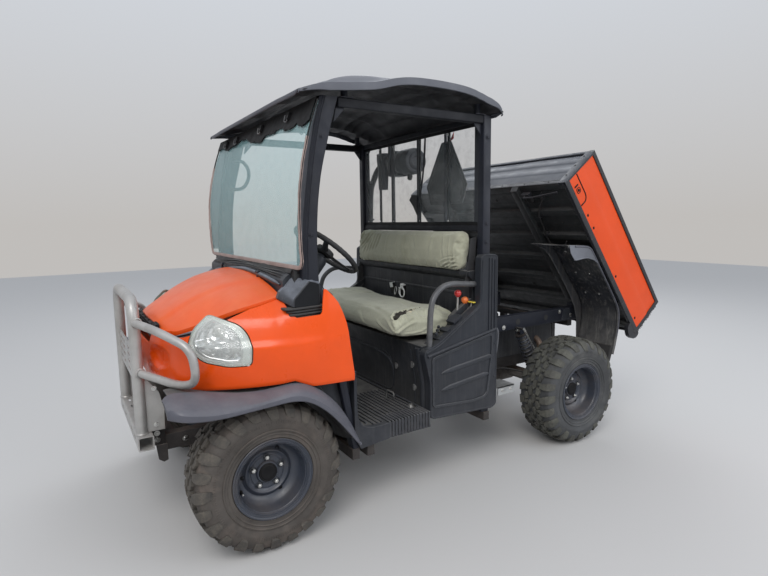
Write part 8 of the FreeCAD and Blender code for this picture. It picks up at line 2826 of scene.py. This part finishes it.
    # thin rod and its eye beside the rear damper
    g.tube([(0.450, 1.689, 0.683), (0.450, 1.776, 0.559), (0.446, 1.830, 0.470)], 0.0042, 10, 2)
    g.box(0.384, 0.452, 1.676, 1.696, 0.684, 0.692, 1)
    g.lathe([(-0.010, 0.0001), (-0.010, 0.008), (0.010, 0.008), (0.010, 0.0001)], (0.450, 1.687, 0.684), (0, -0.6, 0.8), 16, 2)
    for s in (1, -1):
        g.tube([(s * 0.300, 0.34, 0.470), (s * 0.330, 0.10, 0.480), (s * 0.420, 0.02, 0.430), (s * 0.490, 0.0, 0.380)], 0.0055, 10, 1, bend=0.05)
        g.tube([(s * 0.245, 1.50, 0.420), (s * 0.300, 1.70, 0.410), (s * 0.400, 1.80, 0.380), (s * 0.480, 1.85, 0.350)], 0.0055, 10, 1, bend=0.05)
    make("fixed_hoses", g, ["gasket", "rubber", "bright"], "vehicle", angle=60)
    # holes, welds and bolt heads on the rails and the subframe
    g = Geo()
    for s in (1, -1):
        for y, z in ((1.45, 0.722), (1.70, 0.722), (1.95, 0.722)):
            g.lathe([(0, 0.0001), (0, 0.016), (0.0012, 0.018), (0.0012, 0.0001)], (s * 0.3852, y, z), (s, 0, 0), 20, 1)
        for y, z in ((1.308, 0.712), (2.188, 0.712), (1.58, 0.700), (2.08, 0.745)):
            g.bolt((s * 0.3852, y, z), (s, 0, 0), 0.009, 0.007, 0)
        g.prism("YZ", rounded([(2.100, 0.690), (2.175, 0.690), (2.175, 0.760), (2.120, 0.760)], 0.008, 3), s * 0.3852, s * 0.3890, 2)
        for y, z in ((-0.250, 0.395), (0.05, 0.395), (0.60, 0.300), (1.10, 0.300), (1.60, 0.440), (2.10, 0.440)):
            g.bolt((s * 0.2502, y, z), (s, 0, 0), 0.009, 0.007, 0)
    # hitch pin and safety chain loop plate at the rear
    g.lathe([(-0.030, 0.0001), (-0.030, 0.0080), (0.0, 0.0080), (0.002, 0.015), (0.012, 0.015), (0.014, 0.0001)], (0, 2.312, 0.437), (0, 0, 1), 22, 0)
    for s in (1, -1):
        g.lathe([(-0.002, 0.010), (-0.002, 0.018), (0.002, 0.018), (0.002, 0.010)], (s * 0.045, 2.270, 0.4375), (0, 0, 1), 20, 0)
    make("chassis_bolts", g, ["bright", "rubber", "bed_edge"], "vehicle", angle=40)
    # muffler bands, end caps and heat plate
    g = Geo()
    for x in (-0.13, 0.0, 0.13):
        g.lathe([(-0.010, 0.0622), (-0.010, 0.0655), (0.010, 0.0655), (0.010, 0.0622)], (x, 2.010, 0.560), (1, 0, 0), 40, 0)
    for s in (1, -1):
        g.lathe([(0, 0.0001), (0.0, 0.058), (0.006, 0.052), (0.010, 0.020), (0.010, 0.0001)], (s * 0.190, 2.010, 0.560), (s, 0, 0), 36, 1)
    rows = []
    for k in range(13):
        a = math.radians(20 + 140 * k / 12.0)
        rows.append([Vector((x, 2.010 + 0.078 * math.cos(a), 0.560 + 0.078 * math.sin(a))) for x in (-0.15, -0.05, 0.05, 0.15)])
    g.rings(rows, 0, close=False, ends=False)
    make("muffler_fittings", g, ["galv", "exhaust"], "vehicle", solid=0.0015, angle=50)


def paint_rest():
    """Materials for every CAD node that is still shown."""
    done = {"front_guard": "guard", "warning_sign_plate": "sign"}
    for ob in list(bpy.data.objects):
        if ob.type == "MESH" and ob.name in frame["nodes"]:
            if not ob.material_slots or ob.name in done:
                paint(ob.name, done.get(ob.name, "chassis"))

LATER = [build_floor, build_sides, build_bench, build_belts, build_grab_rails, build_levers, build_dash, build_steering,
         build_seat, build_backrest,
         build_windshield, build_roof, build_posts, build_cowl, build_screen, build_sign, build_cleaner,
         build_bed_sides, build_bed_front, build_bed_floor, build_bed_guards, build_tailgate, build_chassis]


# ------------------------------------------------------------------ build
def build_all():
    M.update(materials())
    M["rim_dark"] = surface("rim_inside", (0.022, 0.026, 0.034), rough=0.45, var=0.2, dust_and_sky_light=0.3, dust_and_sky_light_col=(0.16, 0.12, 0.10))
    M["lamp_rim"] = surface("lamp_rim_band", (0.42, 0.46, 0.42), rough=0.3, metal=0.2, var=0.1, dust_and_sky_light=0.2, coat=0.4)
    place_camera()
    light_stage()
    build_wheels()
    build_shell()
    build_lamps()
    build_hood()
    build_grille()
    build_flares()
    build_guard_all()
    for work in LATER:
        work()
    paint_rest()


def finish_sizes():
    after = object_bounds()
    flat = lambda b: [[round(float(c), 5) for c in p] for p in b]
    {"cad": flat(CAD_BOX), "visual": flat(after)}


build_all()
finish_sizes()
